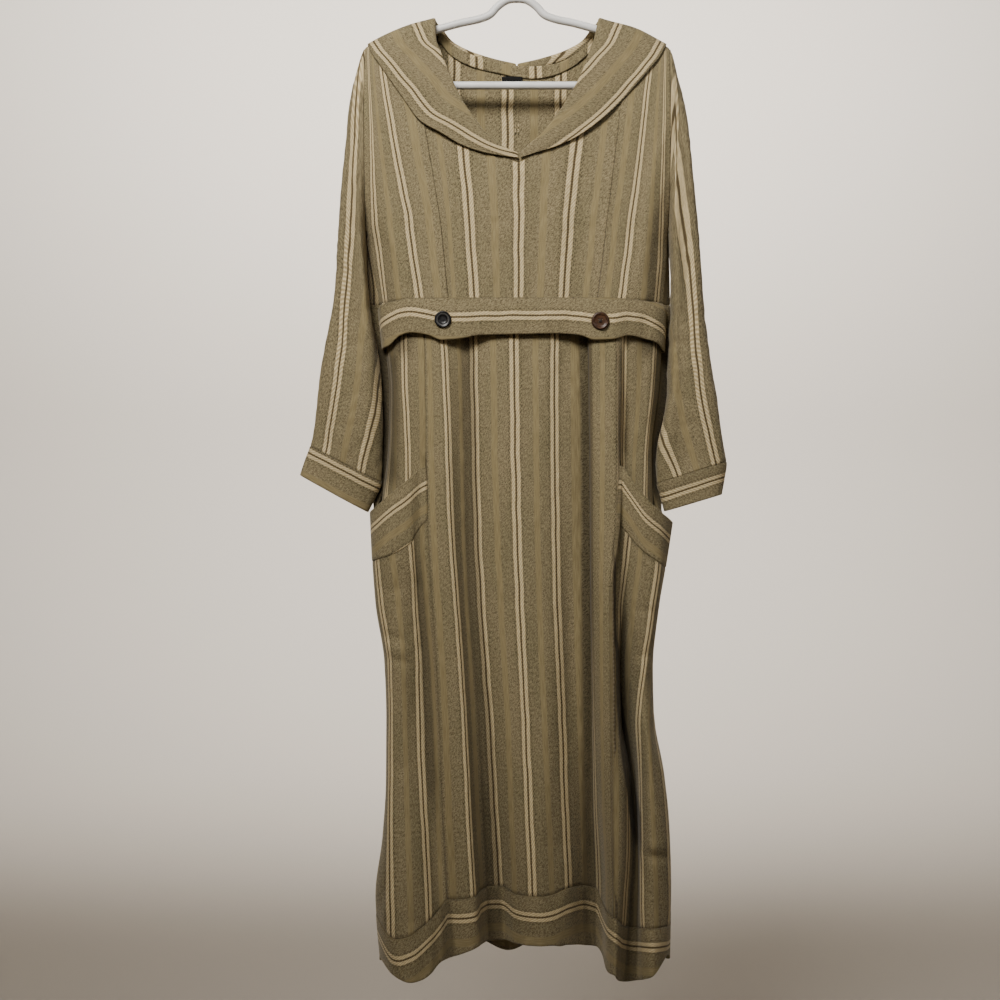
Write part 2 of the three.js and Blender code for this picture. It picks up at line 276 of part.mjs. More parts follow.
// smooth curve (not monotone) through (xs, ys), for going across the folds
function across(xs, ys) {
  const n = xs.length;
  const slope = (i) => {
    if (i === 0) return (ys[1] - ys[0]) / (xs[1] - xs[0]);
    if (i === n - 1) return (ys[n - 1] - ys[n - 2]) / (xs[n - 1] - xs[n - 2]);
    const a = xs[i] - xs[i - 1];
    const b = xs[i + 1] - xs[i];
    return ((ys[i] - ys[i - 1]) / a * b + (ys[i + 1] - ys[i]) / b * a) / (a + b);
  };
  return (x) => {
    let i = 0;
    while (i < n - 2 && x > xs[i + 1]) i += 1;
    const h = xs[i + 1] - xs[i];
    const t = (x - xs[i]) / h;
    const t2 = t * t;
    const t3 = t2 * t;
    return (2 * t3 - 3 * t2 + 1) * ys[i] + (t3 - 2 * t2 + t) * h * slope(i)
      + (3 * t2 - 2 * t3) * ys[i + 1] + (t3 - t2) * h * slope(i + 1);
  };
}
const lineOf = (table, l) => ({ ...l, X: curve((l.d || table.d), l.x), Y: curve((l.d || table.d), l.y) });
const linesOf = (table) => table.lines.map((l) => lineOf(table, l));
const P3 = (x, y, d) => new THREE.Vector3(x, y, -d);

const shoulder = curve(SHOULDER.at, SHOULDER.d);
const ds = (x) => shoulder(Math.abs(x));
// drop below the shoulder fold <-> distance q along the cloth (front +, back -)
const dropOf = (q) => Math.sqrt(q * q + B * B) - B;
const qOf = (h) => Math.sqrt(Math.max(0, (h + B) ** 2 - B * B));
const depthOf = (q) => -B * Math.asinh(q / B);
// point on the form over the shoulders, moved out by `off`
function form(x, q, off) {
  const l = Math.sqrt(q * q + B * B);
  return P3(x, depthOf(q) - (off * q) / l, ds(x) + dropOf(q) - (off * B) / l);
}

// ---------------------------------------------------------------- walls from grids of points
// normals of a grid, pointing out of the garment: down the cloth x across the cloth
function normals(P, ring) {
  const R = P.length;
  const C = P[0].length;
  return P.map((row, r) => row.map((p, c) => {
    const c0 = ring ? (c + C - 1) % C : Math.max(c - 1, 0);
    const c1 = ring ? (c + 1) % C : Math.min(c + 1, C - 1);
    const u = P[r][c1].clone().sub(P[r][c0]);
    const v = P[Math.min(r + 1, R - 1)][c].clone().sub(P[Math.max(r - 1, 0)][c]);
    return v.cross(u).normalize();
  }));
}
const cut = (G, r0, r1, c0, c1) => G.slice(r0, r1 + 1).map((row) => row.slice(c0, c1 + 1).map((v) => v.clone()));
// moves one edge of a grid in from a seam line, along the cloth
function inset(P, N, edges, by = GAP, ridge = 0) {
  const R = P.length - 1;
  const C = P[0].length - 1;
  const move = (r, c, r2, c2, far = by) => {
    const t = P[r2][c2].clone().sub(P[r][c]);
    t.addScaledVector(N[r][c], -t.dot(N[r][c])).normalize();
    P[r][c].addScaledVector(t, far);
  };
  if (edges.includes('t')) for (let c = 0; c <= C; c += 1) move(0, c, 1, c);
  if (edges.includes('b')) for (let c = 0; c <= C; c += 1) move(R, c, R - 1, c);
  if (edges.includes('l')) for (let r = 0; r <= R; r += 1) move(r, 0, r, 1);
  if (edges.includes('r')) for (let r = 0; r <= R; r += 1) move(r, C, r, C - 1);
  if (edges.includes('L')) for (let r = 0; r <= R; r += 1) move(r, 0, r, 1, r >= ridge ? 0.9 : by);
  if (edges.includes('R')) for (let r = 0; r <= R; r += 1) move(r, C, r, C - 1, r >= ridge ? 0.9 : by);
}
function wall(name, P, N, { t = T, ring = false, colour = 0x8c7c62, rough = 0.9 } = {}) {
  const R = P.length;
  const C = P[0].length;
  const pos = [];
  const idx = [];
  for (const side of [0.5, -0.5]) {
    for (let r = 0; r < R; r += 1) {
      for (let c = 0; c < C; c += 1) {
        const p = P[r][c].clone().addScaledVector(N[r][c], side * t);
        pos.push(p.x, p.y, p.z);
      }
    }
  }
  const o = (r, c) => r * C + (c % C);
  const i = (r, c) => R * C + r * C + (c % C);
  const quad = (a, b, c, d) => idx.push(a, b, c, a, c, d);
  const last = ring ? C : C - 1;
  for (let r = 0; r < R - 1; r += 1) {
    for (let c = 0; c < last; c += 1) {
      quad(o(r, c), o(r + 1, c), o(r + 1, c + 1), o(r, c + 1));
      quad(i(r, c), i(r, c + 1), i(r + 1, c + 1), i(r + 1, c));
    }
  }
  for (let c = 0; c < last; c += 1) {
    quad(o(0, c), o(0, c + 1), i(0, c + 1), i(0, c));
    quad(o(R - 1, c + 1), o(R - 1, c), i(R - 1, c), i(R - 1, c + 1));
  }
  if (!ring) {
    for (let r = 0; r < R - 1; r += 1) {
      quad(o(r + 1, 0), o(r, 0), i(r, 0), i(r + 1, 0));
      quad(o(r, C - 1), o(r + 1, C - 1), i(r + 1, C - 1), i(r, C - 1));
    }
  }
  const g = new THREE.BufferGeometry();
  g.setAttribute('position', new THREE.Float32BufferAttribute(pos, 3));
  g.setIndex(idx);
  return mesh(name, g, colour, rough);
}
const group = new THREE.Group();
group.name = 'kaftan_dress';
function mesh(name, g, colour, rough, metal = 0) {
  g.computeVertexNormals();
  const m = new THREE.Mesh(g, new THREE.MeshStandardMaterial({ color: colour, roughness: rough, metalness: metal }));
  m.name = name;
  group.add(m);
  return m;
}
const flatN = (N, rows, cols, axis) => {
  for (const r of rows) for (const c of cols) { N[r][c][axis] = 0; N[r][c].normalize(); }
};
const upTo = (n) => Array.from({ length: n }, (_, i) => i);

// ---------------------------------------------------------------- bodice
const TOP_ROWS = [0.15, 4, 9, 16, 34]; // distances q down from the shoulder fold
const REST = [0.26, 0.44, 0.62, 0.8, 0.9, 1];
function bodiceGrid(xOf, yOf, n, neck) {
  // neck: d of the cut edge against x, inside |x| < 122
  const cols = [];
  for (let c = 0; c < n; c += 1) {
    let d = 150;
    for (let i = 0; i < 60; i += 1) {
      const x = xOf(c, d);
      const want = Math.abs(x) >= 122 ? ds(x) : Math.max(neck(x), ds(x));
      d += (want - d) * 0.5;
    }
    const free = Math.abs(xOf(c, d)) < 122;
    const col = [];
    for (const q of TOP_ROWS) {
      const dd = free ? d + dropOf(q) + q * 0.12 : ds(xOf(c, d)) + dropOf(q);
      const x = xOf(c, dd);
      col.push(P3(x, yOf(c, dd, x, free ? dd - ds(x) : dropOf(q)), free ? dd : ds(x) + dropOf(q)));
    }
    const from = -col[col.length - 1].z;
    for (const w of REST) {
      const dd = from + ((WAIST - GAP - from) * (w - 0.1)) / 0.9;
      const x = xOf(c, dd);
      col.push(P3(x, yOf(c, dd, x, dd - ds(x)), dd));
    }
    cols.push(col);
  }
  return upTo(cols[0].length).map((r) => cols.map((col) => col[r]));
}
const ARM_ROWS = (P) => upTo(P.length).filter((r) => -P[r][0].z < 390);

{
  const L = linesOf(BODICE_FRONT);
  const ks = [];
  L.forEach((l, i) => {
    ks.push(l.k);
    if (i < L.length - 1 && L[i + 1].k - l.k >= 0.45 && Math.abs(l.k) < 3.4) ks.push((l.k + L[i + 1].k) / 2);
  });
  ks.push(-1.3, -1.285, -1.27, 1.13, 1.17, 1.2, 1.22);
  ks.sort((a, b) => a - b);
  const K = L.map((l) => l.k);
  const at = (k, d, f) => across(K, L.map((l) => l[f](d)))(k);
  const xOf = (c, d) => {
    const x = at(ks[c], d, 'X');
    if (c === 0 || c === ks.length - 1) {
      const s = c === 0 ? -1 : 1;
      const w = Math.min(1, Math.max(0, (d - 388) / 10));
      return s * (ARM_X - GAP) * (1 - w) + x * w;
    }
    return x;
  };
  const yOf = (c, d, x, h) => {
    const edge = c === 0 || c === ks.length - 1;
    if (edge && d > 397) return SEAM_Y - GAP;
    // smooth over the shoulder, the folds begin below it
    const f = depthOf(qOf(h));
    const w = Math.min(1, Math.max(0, (h - 25) / 60));
    const y = f * (1 - w) + Math.max(at(ks[c], d, 'Y'), f) * w;
    return edge ? Math.min(y, SEAM_Y - GAP) : y;
  };
  const neck = curve(NECK_FRONT.at, NECK_FRONT.d);
  const P = bodiceGrid(xOf, yOf, ks.length, neck);
  const N = normals(P);
  const C = ks.length - 1;
  flatN(N, [0], upTo(ks.length).filter((c) => Math.abs(P[0][c].x) >= 122), 'y');
  flatN(N, [P.length - 1], upTo(ks.length), 'z');
  flatN(N, ARM_ROWS(P), [0, C], 'x');
  flatN(N, upTo(P.length).filter((r) => -P[r][0].z >= 390), [0, C], 'y');
  wall('front_bodice', P, N);
}
const BACK_X = [213, 205, 192, 170, 146, 124, 117, 95, 68, 36, 0, -36, -68, -95, -117, -124, -146, -170, -192, -205, -213];
const full = { left: curve(FULL.d, FULL.left), right: curve(FULL.d, FULL.right), y: curve(FULL.d, FULL.y) };
const backEdge = {
  ratio: curve([-5, 0, 60, 113, 173, 213, 248, 262, 300], [1, 1, 1, 0.97, 0.78, 0.53, 0.18, 0.05, 0.05]),
  left: curve([380, 397, WAIST], [-212.8, -210.5, -192.5]),
  right: curve([380, 397, WAIST], [212.8, 210.5, 207.1]),
};
{
  const n = BACK_X.length;
  const side = (s, d) => (d < 385 ? s * (ARM_X - GAP) : (s > 0 ? backEdge.right : backEdge.left)(d));
  const xOf = (c, d) => {
    const t = BACK_X[c] / ARM_X;
    const a = side(1, d);
    const b = side(-1, d);
    if (c === 0) return a;
    if (c === n - 1) return b;
    if (d > 397 && (c === 1 || c === n - 2)) {
      const w = Math.min(1, (d - 397) / 26);
      return c === 1 ? t * a * (1 - w) + full.right(d) * w : -t * b * (1 - w) + full.left(d) * w;
    }
    return t > 0 ? t * a : -t * b;
  };
  const yOf = (c, d, x, h) => {
    const f = -depthOf(qOf(h));
    if (c === 0 || c === n - 1) return d > 397 ? SEAM_Y + GAP : Math.max(f * backEdge.ratio(h), h < 1 ? GAP : SEAM_Y + GAP);
    // the panel comes forward again towards the armholes and the side seams
    const e = c === 1 || c === n - 2 ? 0.55 : c === 2 || c === n - 3 ? 0.22 : c === 3 || c === n - 4 ? 0.07 : 0;
    const far = d > 397 ? SEAM_Y : f * backEdge.ratio(h);
    const y = f * (1 - e) + far * e;
    const w = d > 397 && (c === 1 || c === n - 2) ? Math.min(1, (d - 397) / 26) : 0;
    return y * (1 - w) + full.y(d) * w;
  };
  const neck = curve(NECK_BACK.at, NECK_BACK.d);
  const P = bodiceGrid(xOf, yOf, n, neck);
  const N = normals(P);
  flatN(N, [0], upTo(n).filter((c) => Math.abs(P[0][c].x) >= 122), 'y');
  flatN(N, [P.length - 1], upTo(n), 'z');
  flatN(N, ARM_ROWS(P), [0, n - 1], 'x');
  flatN(N, upTo(P.length).filter((r) => -P[r][0].z >= 390), [0, n - 1], 'y');
  wall('back_bodice', P, N);

  // facing along the inside of the back neck, and the plain label below it
  const fx = [98, 80, 60, 40, 20, 0, -20, -40, -60, -80, -98];
  const inside = (x, d, by) => {
    const q = -qOf(d - ds(x));
    return form(x, q, -by);
  };
  const F = [0, 0.5, 1].map((v) => fx.map((x) => inside(x, neck(x) + 1.2 + v * 14.5, 2.6)));
  wall('back_neck_facing', F, normals(F));
  const lx = [LABEL.x[1], (LABEL.x[0] + LABEL.x[1]) / 2, LABEL.x[0]];
  const LB = [0, 1].map((v) => lx.map((x) => inside(x, LABEL.d[0] + 2 + v * (LABEL.d[1] - LABEL.d[0] - 2), 2.2)));
  wall('label', LB, normals(LB), { t: 1, colour: 0x1c1a1a });
}

// ---------------------------------------------------------------- collar, one half over each shoulder
for (const [name, rows, s] of [['collar_left', COLLAR_L, -1], ['collar_right', COLLAR_R, 1]]) {
  const st = [0, 1, 2, 3, 4, 5, 6, 7, 7.5, 8, 8.3, 8.6, 8.8, 9, 9.3, 9.6, 10, 10.5, 11, 12, 13, 14, 15];
  const idx = upTo(rows.length);
  const f = (key, j) => curve(idx, rows.map((r) => r[key][j]));
  const nx = f('neck', 0);
  const nq = f('neck', 1);
  const ox = f('outer', 0);
  const oq = f('outer', 1);
  const W = [0, 0.2, 0.4, 0.6, 0.8, 1];
  // rows run from neck edge to outer edge, columns follow the collar round from the left to the right
  let G = W.map((w) => st.map((t) => form(nx(t) + (ox(t) - nx(t)) * w, nq(t) + (oq(t) - nq(t)) * w, OVER)));
  if (s > 0) G = G.map((row) => row.reverse());
  // the two halves stop short of each other at the middle of the back
  let N = normals(G);
  // outwards is away from the hanger
  const mid = G[3][Math.floor(st.length / 2)];
  if (N[3][Math.floor(st.length / 2)].dot(new THREE.Vector3(0, mid.y, 1)) < 0) {
    G = G.map((row) => row.reverse());
    N = normals(G);
  }
  wall(name, G, N);
}

// ---------------------------------------------------------------- skirt
const sideX = { left: curve(SIDE_SEAM.d, SIDE_SEAM.left), right: curve(SIDE_SEAM.d, SIDE_SEAM.right) };
const centre = linesOf(SKIRT_CENTRE);
const kC = [-2.65, -2.32, -2, -1.77, -1.55, -1.4, -1.27, -1, -0.75, -0.5, -0.1, 0.3, 0.65, 1, 1.25, 1.5, 1.68, 1.79, 1.88, 1.96, 2.05, 2.14, 2.3, 2.5, 2.73, 2.97];
const lastC = kC.length - 1;
const centreAt = (k, d) => {
  const K = centre.map((l) => l.k);
  return P3(across(K, centre.map((l) => l.X(d)))(k), across(K, centre.map((l) => l.Y(d)))(k), d);
};
const levelOf = (lines, key) => {
  const f = across(lines.map((l) => l.k), lines.map((l) => l[key]));
  return f;
};
const FRAC = [0.13, 0.27, 0.41, 0.56, 0.71, 0.86, 1];
const below = (top, band, hem, at) => [
  ...FRAC.map((f) => at(top + (band - top) * f)),
  at(band + (hem - band) * 0.5),
  at(hem),
];
const bandC = levelOf(centre, 'band');
const hemC = levelOf(centre, 'hem');
const centreCols = kC.map((k) => ({
  upper: [WAIST + GAP, 556, 613, 671, 712].map((d) => centreAt(k, d)),
  lower: [centreAt(k, MOUTH), centreAt(k, (MOUTH + LOW) / 2), centreAt(k, LOW), ...below(LOW, bandC(k), hemC(k), (d) => centreAt(k, d))],
}));
// lower side fronts with the band along the pocket mouth
function pocketCols(table, ks) {
  const L = linesOf(table);
  const K = L.map((l) => l.k);
  const at = (k, d) => P3(across(K, L.map((l) => l.X(d)))(k), across(K, L.map((l) => l.Y(d)))(k), d);
  const low = levelOf(L, 'low');
  const band = levelOf(L, 'band');
  const hem = levelOf(L, 'hem');
  const m = [0, 1, 2].map((j) => across(K, L.map((l) => l.mouth[j])));
  return ks.map((k) => {
    const lo = at(k, low(k));
    const up = P3(m[0](k), m[1](k), m[2](k));
    return [up, up.clone().lerp(lo, 0.5), lo, ...below(low(k), band(k), hem(k), (d) => at(k, d))];
  });
}
const kL = [-2.5, -2.33, -2.15, -1.92, -1.68, -1.43, -1.18, -0.93, -0.68, -0.54, -0.4, -0.18];
const kR = [0.18, 0.45, 0.6, 0.75, 0.87, 1, 1.22, 1.45, 1.7, 1.95, 2.18, 2.4, 2.58, 2.75];
const left = pocketCols(POCKET_FRONT_L, kL);
const right = pocketCols(POCKET_FRONT_R, kR);
const all = [...left, ...centreCols.map((c) => c.lower), ...right];
for (const col of [all[0], all[all.length - 1]]) for (const p of col) p.y = SEAM_Y - GAP;
const LF = upTo(all[0].length).map((r) => all.map((col) => col[r]));
const LN = normals(LF);
flatN(LN, upTo(LF.length), [0, LF[0].length - 1], 'y');
const cA = left.length;            // first column of the centre panel
const cB = cA + lastC;             // its last column
const cZ = LF[0].length - 1;
const rLow = 2;
const rBand = 2 + FRAC.length;
const rHem = LF.length - 1;
function piece(name, r0, r1, c0, c1, edges, ridge = 0) {
  const P = cut(LF, r0, r1, c0, c1);
  const N = cut(LN, r0, r1, c0, c1);
  inset(P, N, edges, edges.includes('L') || r0 === 0 ? 0.5 : GAP, ridge);
  wall(name, P, N);
}
piece('pocket_band_left', 0, rLow, 0, cA, 'br');
piece('pocket_front_left', rLow, rBand, 0, cA, 'tbr');
piece('pocket_band_right', 0, rLow, cB, cZ, 'bl');
piece('pocket_front_right', rLow, rBand, cB, cZ, 'tbL', 1);
piece('hem_band_front', rBand, rHem, 0, cZ, 't');
let centreUp;
{
  // centre panel: its own rows to the pocket mouths, the shared rows below
  const up = upTo(5).map((r) => centreCols.map((c) => c.upper[r]));
  const P = [...up, ...cut(LF, 0, rBand, cA, cB)];
  const N = normals(P);
  for (let r = 0; r <= rBand; r += 1) for (let c = 0; c <= lastC; c += 1) N[r + 5][c] = LN[r][cA + c].clone();
  flatN(N, [0], upTo(kC.length), 'z');
  centreUp = { P: cut(P, 0, 4, 0, lastC), N: cut(N, 0, 4, 0, lastC) };
  const Q = cut(P, 0, P.length - 1, 0, lastC);
  inset(Q, N, 'blR', GAP, 9);
  wall('skirt_front_centre', Q, N);
}
// upper side fronts, running down behind the pockets
for (const [name, table, ks, seamCol, s] of [
  ['skirt_side_left', SIDE_FRONT_L, [-2, -1.85, -1.7, -1.41, -1.12, -0.87, -0.62, -0.2], 0, -1],
  ['skirt_side_right', SIDE_FRONT_R, [0.1, 0.33, 0.55, 0.8, 1.05, 1.25, 1.45, 1.72, 2], lastC, 1],
]) {
  const L = linesOf(table);
  const K = L.map((l) => l.k);
  const rows = [WAIST + GAP, 556, 613, 671, 712, MOUTH, 780, s < 0 ? 860 : 840, s < 0 ? 950 : 905];
  const P = rows.map((d, r) => {
    const row = ks.map((k) => P3(across(K, L.map((l) => l.X(d)))(k), across(K, L.map((l) => l.Y(d)))(k), d));
    const e = s < 0 ? row[0] : row[row.length - 1];
    e.y = SEAM_Y - GAP;
    const seam = r < 5 ? centreUp.P[r][seamCol].clone() : centreAt(kC[seamCol], d);
    const near = s < 0 ? row[row.length - 1] : row[0];
    if (r >= 5) { seam.y = Math.max(seam.y + 6, near.y - 2); seam.x += s * 1.2; if (d > 760) seam.x += s * 2; }
    return s < 0 ? [...row, seam] : [seam, ...row];
  });
  const N = normals(P);
  const c = s < 0 ? P[0].length - 1 : 0;
  for (let r = 0; r < 5; r += 1) N[r][c] = centreUp.N[r][seamCol].clone();
  flatN(N, [0], upTo(P[0].length), 'z');
  flatN(N, upTo(P.length), [s < 0 ? 0 : P[0].length - 1], 'y');
  inset(P, N, s < 0 ? 'r' : 'l');
  wall(name, P, N);
}
{
  // back of the skirt and its hem band
  const L = linesOf(SKIRT_BACK).reverse();
  const K = L.map((l) => l.k);
  const ks = [];
  L.forEach((l, i) => { ks.push(l.k); if (i < L.length - 1) ks.push((l.k + L[i + 1].k) / 2); });
  const flip = (k) => 10 - k;
  const KF = K.map(flip);
  const at = (k, d) => P3(across(KF, L.map((l) => l.X(d)))(flip(k)), across(KF, L.map((l) => l.Y(d)))(flip(k)), d);
  const ds0 = [WAIST + GAP, 580, 680, 740, 785, 803, 850, 930, 1010, 1090, 1170, 1260];
  const sag = (x) => 6 * Math.cos((x / 215) * Math.PI * 2.4) + 2 * Math.sin(x / 31);
  const rows = [...ds0.map((d) => () => d), (x) => 1352 + sag(x), (x) => 1352 + BAND_H / 2 + sag(x), (x) => 1352 + BAND_H + sag(x)];
  const P = rows.map((f) => {
    const mids = ks.map((k) => { const d = f(at(k, 1350).x); return at(k, d); });
    const dr = f(215);
    const dl = f(-195);
    return [P3(sideX.right(dr), SEAM_Y + GAP, dr), ...mids, P3(sideX.left(dl), SEAM_Y + GAP, dl)];
  });
  const N = normals(P);
  const C = P[0].length - 1;
  flatN(N, [0], upTo(C + 1), 'z');
  flatN(N, upTo(P.length), [0, C], 'y');
  const b = ds0.length;
  const A = cut(P, 0, b, 0, C);
  const AN = cut(N, 0, b, 0, C);
  inset(A, AN, 'b');
  wall('skirt_back', A, AN);
  const H = cut(P, b, b + 2, 0, C);
  const HN = cut(N, b, b + 2, 0, C);
  inset(H, HN, 't');
  wall('hem_band_back', H, HN);
}

// ---------------------------------------------------------------- waist band and buttons
{
  const P = [0, 0.5, 1].map((v) => WAIST_BAND.map((w) => P3(w.x + (w.xLow - w.x) * v, w.yTop + (w.yLow - w.yTop) * v, w.top + (w.low - w.top) * v)));
  const N = normals(P);
  flatN(N, [0, 1, 2], [0, WAIST_BAND.length - 1], 'y');
  wall('waist_band', P, N);
}
for (const b of BUTTONS) {
  // turned disc with a raised rim, face forward
  const r = b.r;
  const h = b.h;
  const prof = [[0, 0], [r * 0.86, 0], [r, h * 0.35], [r, h * 0.7], [r * 0.9, h], [r * 0.74, h], [r * 0.62, h * 0.66], [0, h * 0.66]];
  let g = new THREE.LatheGeometry(prof.map(([a, c]) => new THREE.Vector2(a, c)), 24);
  g = mergeVertices(new THREE.BufferGeometry().copy(g).deleteAttribute('uv').deleteAttribute('normal'), 1e-4);
  if (b.holes) {
    let body = solid(g);
    for (let i = 0; i < b.holes; i += 1) {
      const a = Math.PI / 4 + (i * Math.PI) / 2;
      const c = new THREE.CylinderGeometry(1.1, 1.1, 8, 12);
      c.translate(3.1 * Math.cos(a), 0, 3.1 * Math.sin(a));
      body = body.subtract(solid(mergeVertices(c.deleteAttribute('uv').deleteAttribute('normal'), 1e-4)));
    }
    g = back(body);
  }
  // the lathe turns round Y: its top face is turned to look along -Y
  g.rotateX(Math.PI);
  g.translate(b.x, b.y + h, -b.d);
  mesh(b.name, g, b.holes ? 0x6b4a2c : 0x2a2a2c, 0.4);
}

// ---------------------------------------------------------------- sleeves and cuffs
for (const [side, rows, s] of [['left', SLEEVE_L, -1], ['right', SLEEVE_R, 1]]) {
  const n = 16;
  const rowAt = rows.map((r) => r);
  const P = rowAt.map((r, j) => upTo(n).map((i) => {
    // round the ring from the upper line, over the front, to the under line and back
    const a = (2 * Math.PI * i) / n * -s;
    const ca = Math.cos(a);
    const sa = Math.sin(a);
    const along = Math.sign(ca) * Math.abs(ca) ** 0.9;
    let deep = Math.sign(sa) * Math.abs(sa) ** 0.8;
    const f = Math.min(1, j / 3) * (j > 9 ? 0.35 : 1);
    deep *= 1 + f * 0.16 * Math.cos(3 * a + 0.8 * s + j * 0.12);
    const cx = (r.over[0] + r.under[0]) / 2;
    const cd = (r.over[1] + r.under[1]) / 2;
    const x = cx + ((r.over[0] - r.under[0]) / 2) * along;
    const d = cd + ((r.over[1] - r.under[1]) / 2) * along;
    const front = -s * sa > 0;
    const y = -Math.abs(deep) * (front ? r.front : -r.back);
    return P3(x, y, d);
  }));
  let G = P;
  let N = normals(G, true);
  // turned so that outwards is away from the middle of the sleeve
  const mid = G[6].reduce((v, p) => v.add(p), new THREE.Vector3()).divideScalar(n);
  if (N[6][0].dot(G[6][0].clone().sub(mid)) < 0) {
    G = G.map((row) => [row[0], ...row.slice(1).reverse()]);
    N = normals(G, true);
  }
  flatN(N, [0], upTo(n), 'x');
  const S = cut(G, 0, 10, 0, n - 1);
  const SN = cut(N, 0, 10, 0, n - 1);
  inset(S, SN, 'b');
  wall(`sleeve_${side}`, S, SN, { ring: true });
  const U = cut(G, 10, 12, 0, n - 1);
  const UN = cut(N, 10, 12, 0, n - 1);
  inset(U, UN, 't');
  wall(`cuff_${side}`, U, UN, { ring: true });
}

// ---------------------------------------------------------------- hanger
{
  const half = HANGER.half;
  const loop = [...half, ...half.slice(1, -1).reverse().map(([x, d]) => [-x, d])].map(([x, d]) => P3(x, 0, d));
  const path = new THREE.CatmullRomCurve3(loop, true, 'centripetal');
  const tube = (curve3, steps, closed) => {
    const g = new THREE.TubeGeometry(curve3, steps, HANGER.r, 8, closed);
    return g.deleteAttribute('uv').deleteAttribute('normal');
  };
  const body = solid(mergeVertices(tube(path, 72, true), 1e-3));
  const hookPath = new THREE.CatmullRomCurve3(HANGER.hook.map(([x, d]) => P3(x, 0, d)), false, 'centripetal');
  const hook = solid(capped(tube(hookPath, 24, false), 8));
  const g = back(body.add(hook));
  mesh('hanger', g, 0xe4e2de, 0.35);
}
// closes both ends of an open tube made of rings of n + 1 points
function capped(g, n) {
  const pos = g.getAttribute('position');
  const idx = Array.from(g.getIndex().array);
  const pts = Array.from(pos.array);
  const rings = pos.count / (n + 1);
  for (const [ring, flip] of [[0, false], [rings - 1, true]]) {
    const c = new THREE.Vector3();
    for (let i = 0; i < n; i += 1) c.add(new THREE.Vector3().fromBufferAttribute(pos, ring * (n + 1) + i));
    c.divideScalar(n);
    const id = pts.length / 3;
    pts.push(c.x, c.y, c.z);
    for (let i = 0; i < n; i += 1) {
      const a = ring * (n + 1) + i;
      idx.push(...(flip ? [id, a + 1, a] : [id, a, a + 1]));
    }
  }
  const out = new THREE.BufferGeometry();
  out.setAttribute('position', new THREE.Float32BufferAttribute(pts, 3));
  out.setIndex(idx);
  return mergeVertices(out, 1e-3);
}
function solid(g) {
  const p = g.getAttribute('position').array;
  const i = g.getIndex().array;
  return new wasm.Manifold(new wasm.Mesh({ numProp: 3, vertProperties: Float32Array.from(p), triVerts: Uint32Array.from(i) }));
}
function back(m) {
  const r = m.getMesh();
  const g = new THREE.BufferGeometry();
  g.setAttribute('position', new THREE.BufferAttribute(Float32Array.from(r.vertProperties), 3));
  g.setIndex(Array.from(r.triVerts));
  return g;
}
export default group;
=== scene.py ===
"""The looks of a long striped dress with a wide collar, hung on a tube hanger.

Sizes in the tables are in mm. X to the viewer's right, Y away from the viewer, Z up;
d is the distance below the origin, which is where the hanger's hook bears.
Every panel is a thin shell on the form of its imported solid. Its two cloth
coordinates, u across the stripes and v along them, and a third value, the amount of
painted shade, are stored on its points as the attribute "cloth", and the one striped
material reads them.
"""

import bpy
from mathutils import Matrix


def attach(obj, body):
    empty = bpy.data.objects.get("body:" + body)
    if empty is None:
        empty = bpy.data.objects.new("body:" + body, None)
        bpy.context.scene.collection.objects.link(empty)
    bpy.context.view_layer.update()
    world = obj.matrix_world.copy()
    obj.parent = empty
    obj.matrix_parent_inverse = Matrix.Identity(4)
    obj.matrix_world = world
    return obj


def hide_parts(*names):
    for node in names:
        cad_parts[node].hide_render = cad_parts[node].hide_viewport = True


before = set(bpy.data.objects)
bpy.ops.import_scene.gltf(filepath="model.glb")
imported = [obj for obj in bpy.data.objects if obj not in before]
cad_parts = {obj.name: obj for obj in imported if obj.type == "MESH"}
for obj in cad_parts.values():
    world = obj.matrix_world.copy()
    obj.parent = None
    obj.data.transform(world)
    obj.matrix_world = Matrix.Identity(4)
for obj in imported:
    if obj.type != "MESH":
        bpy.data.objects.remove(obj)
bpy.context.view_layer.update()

import math

import bpy
import numpy as np
from mathutils import Vector

P_MM = 64.0  # one repeat of the stripes

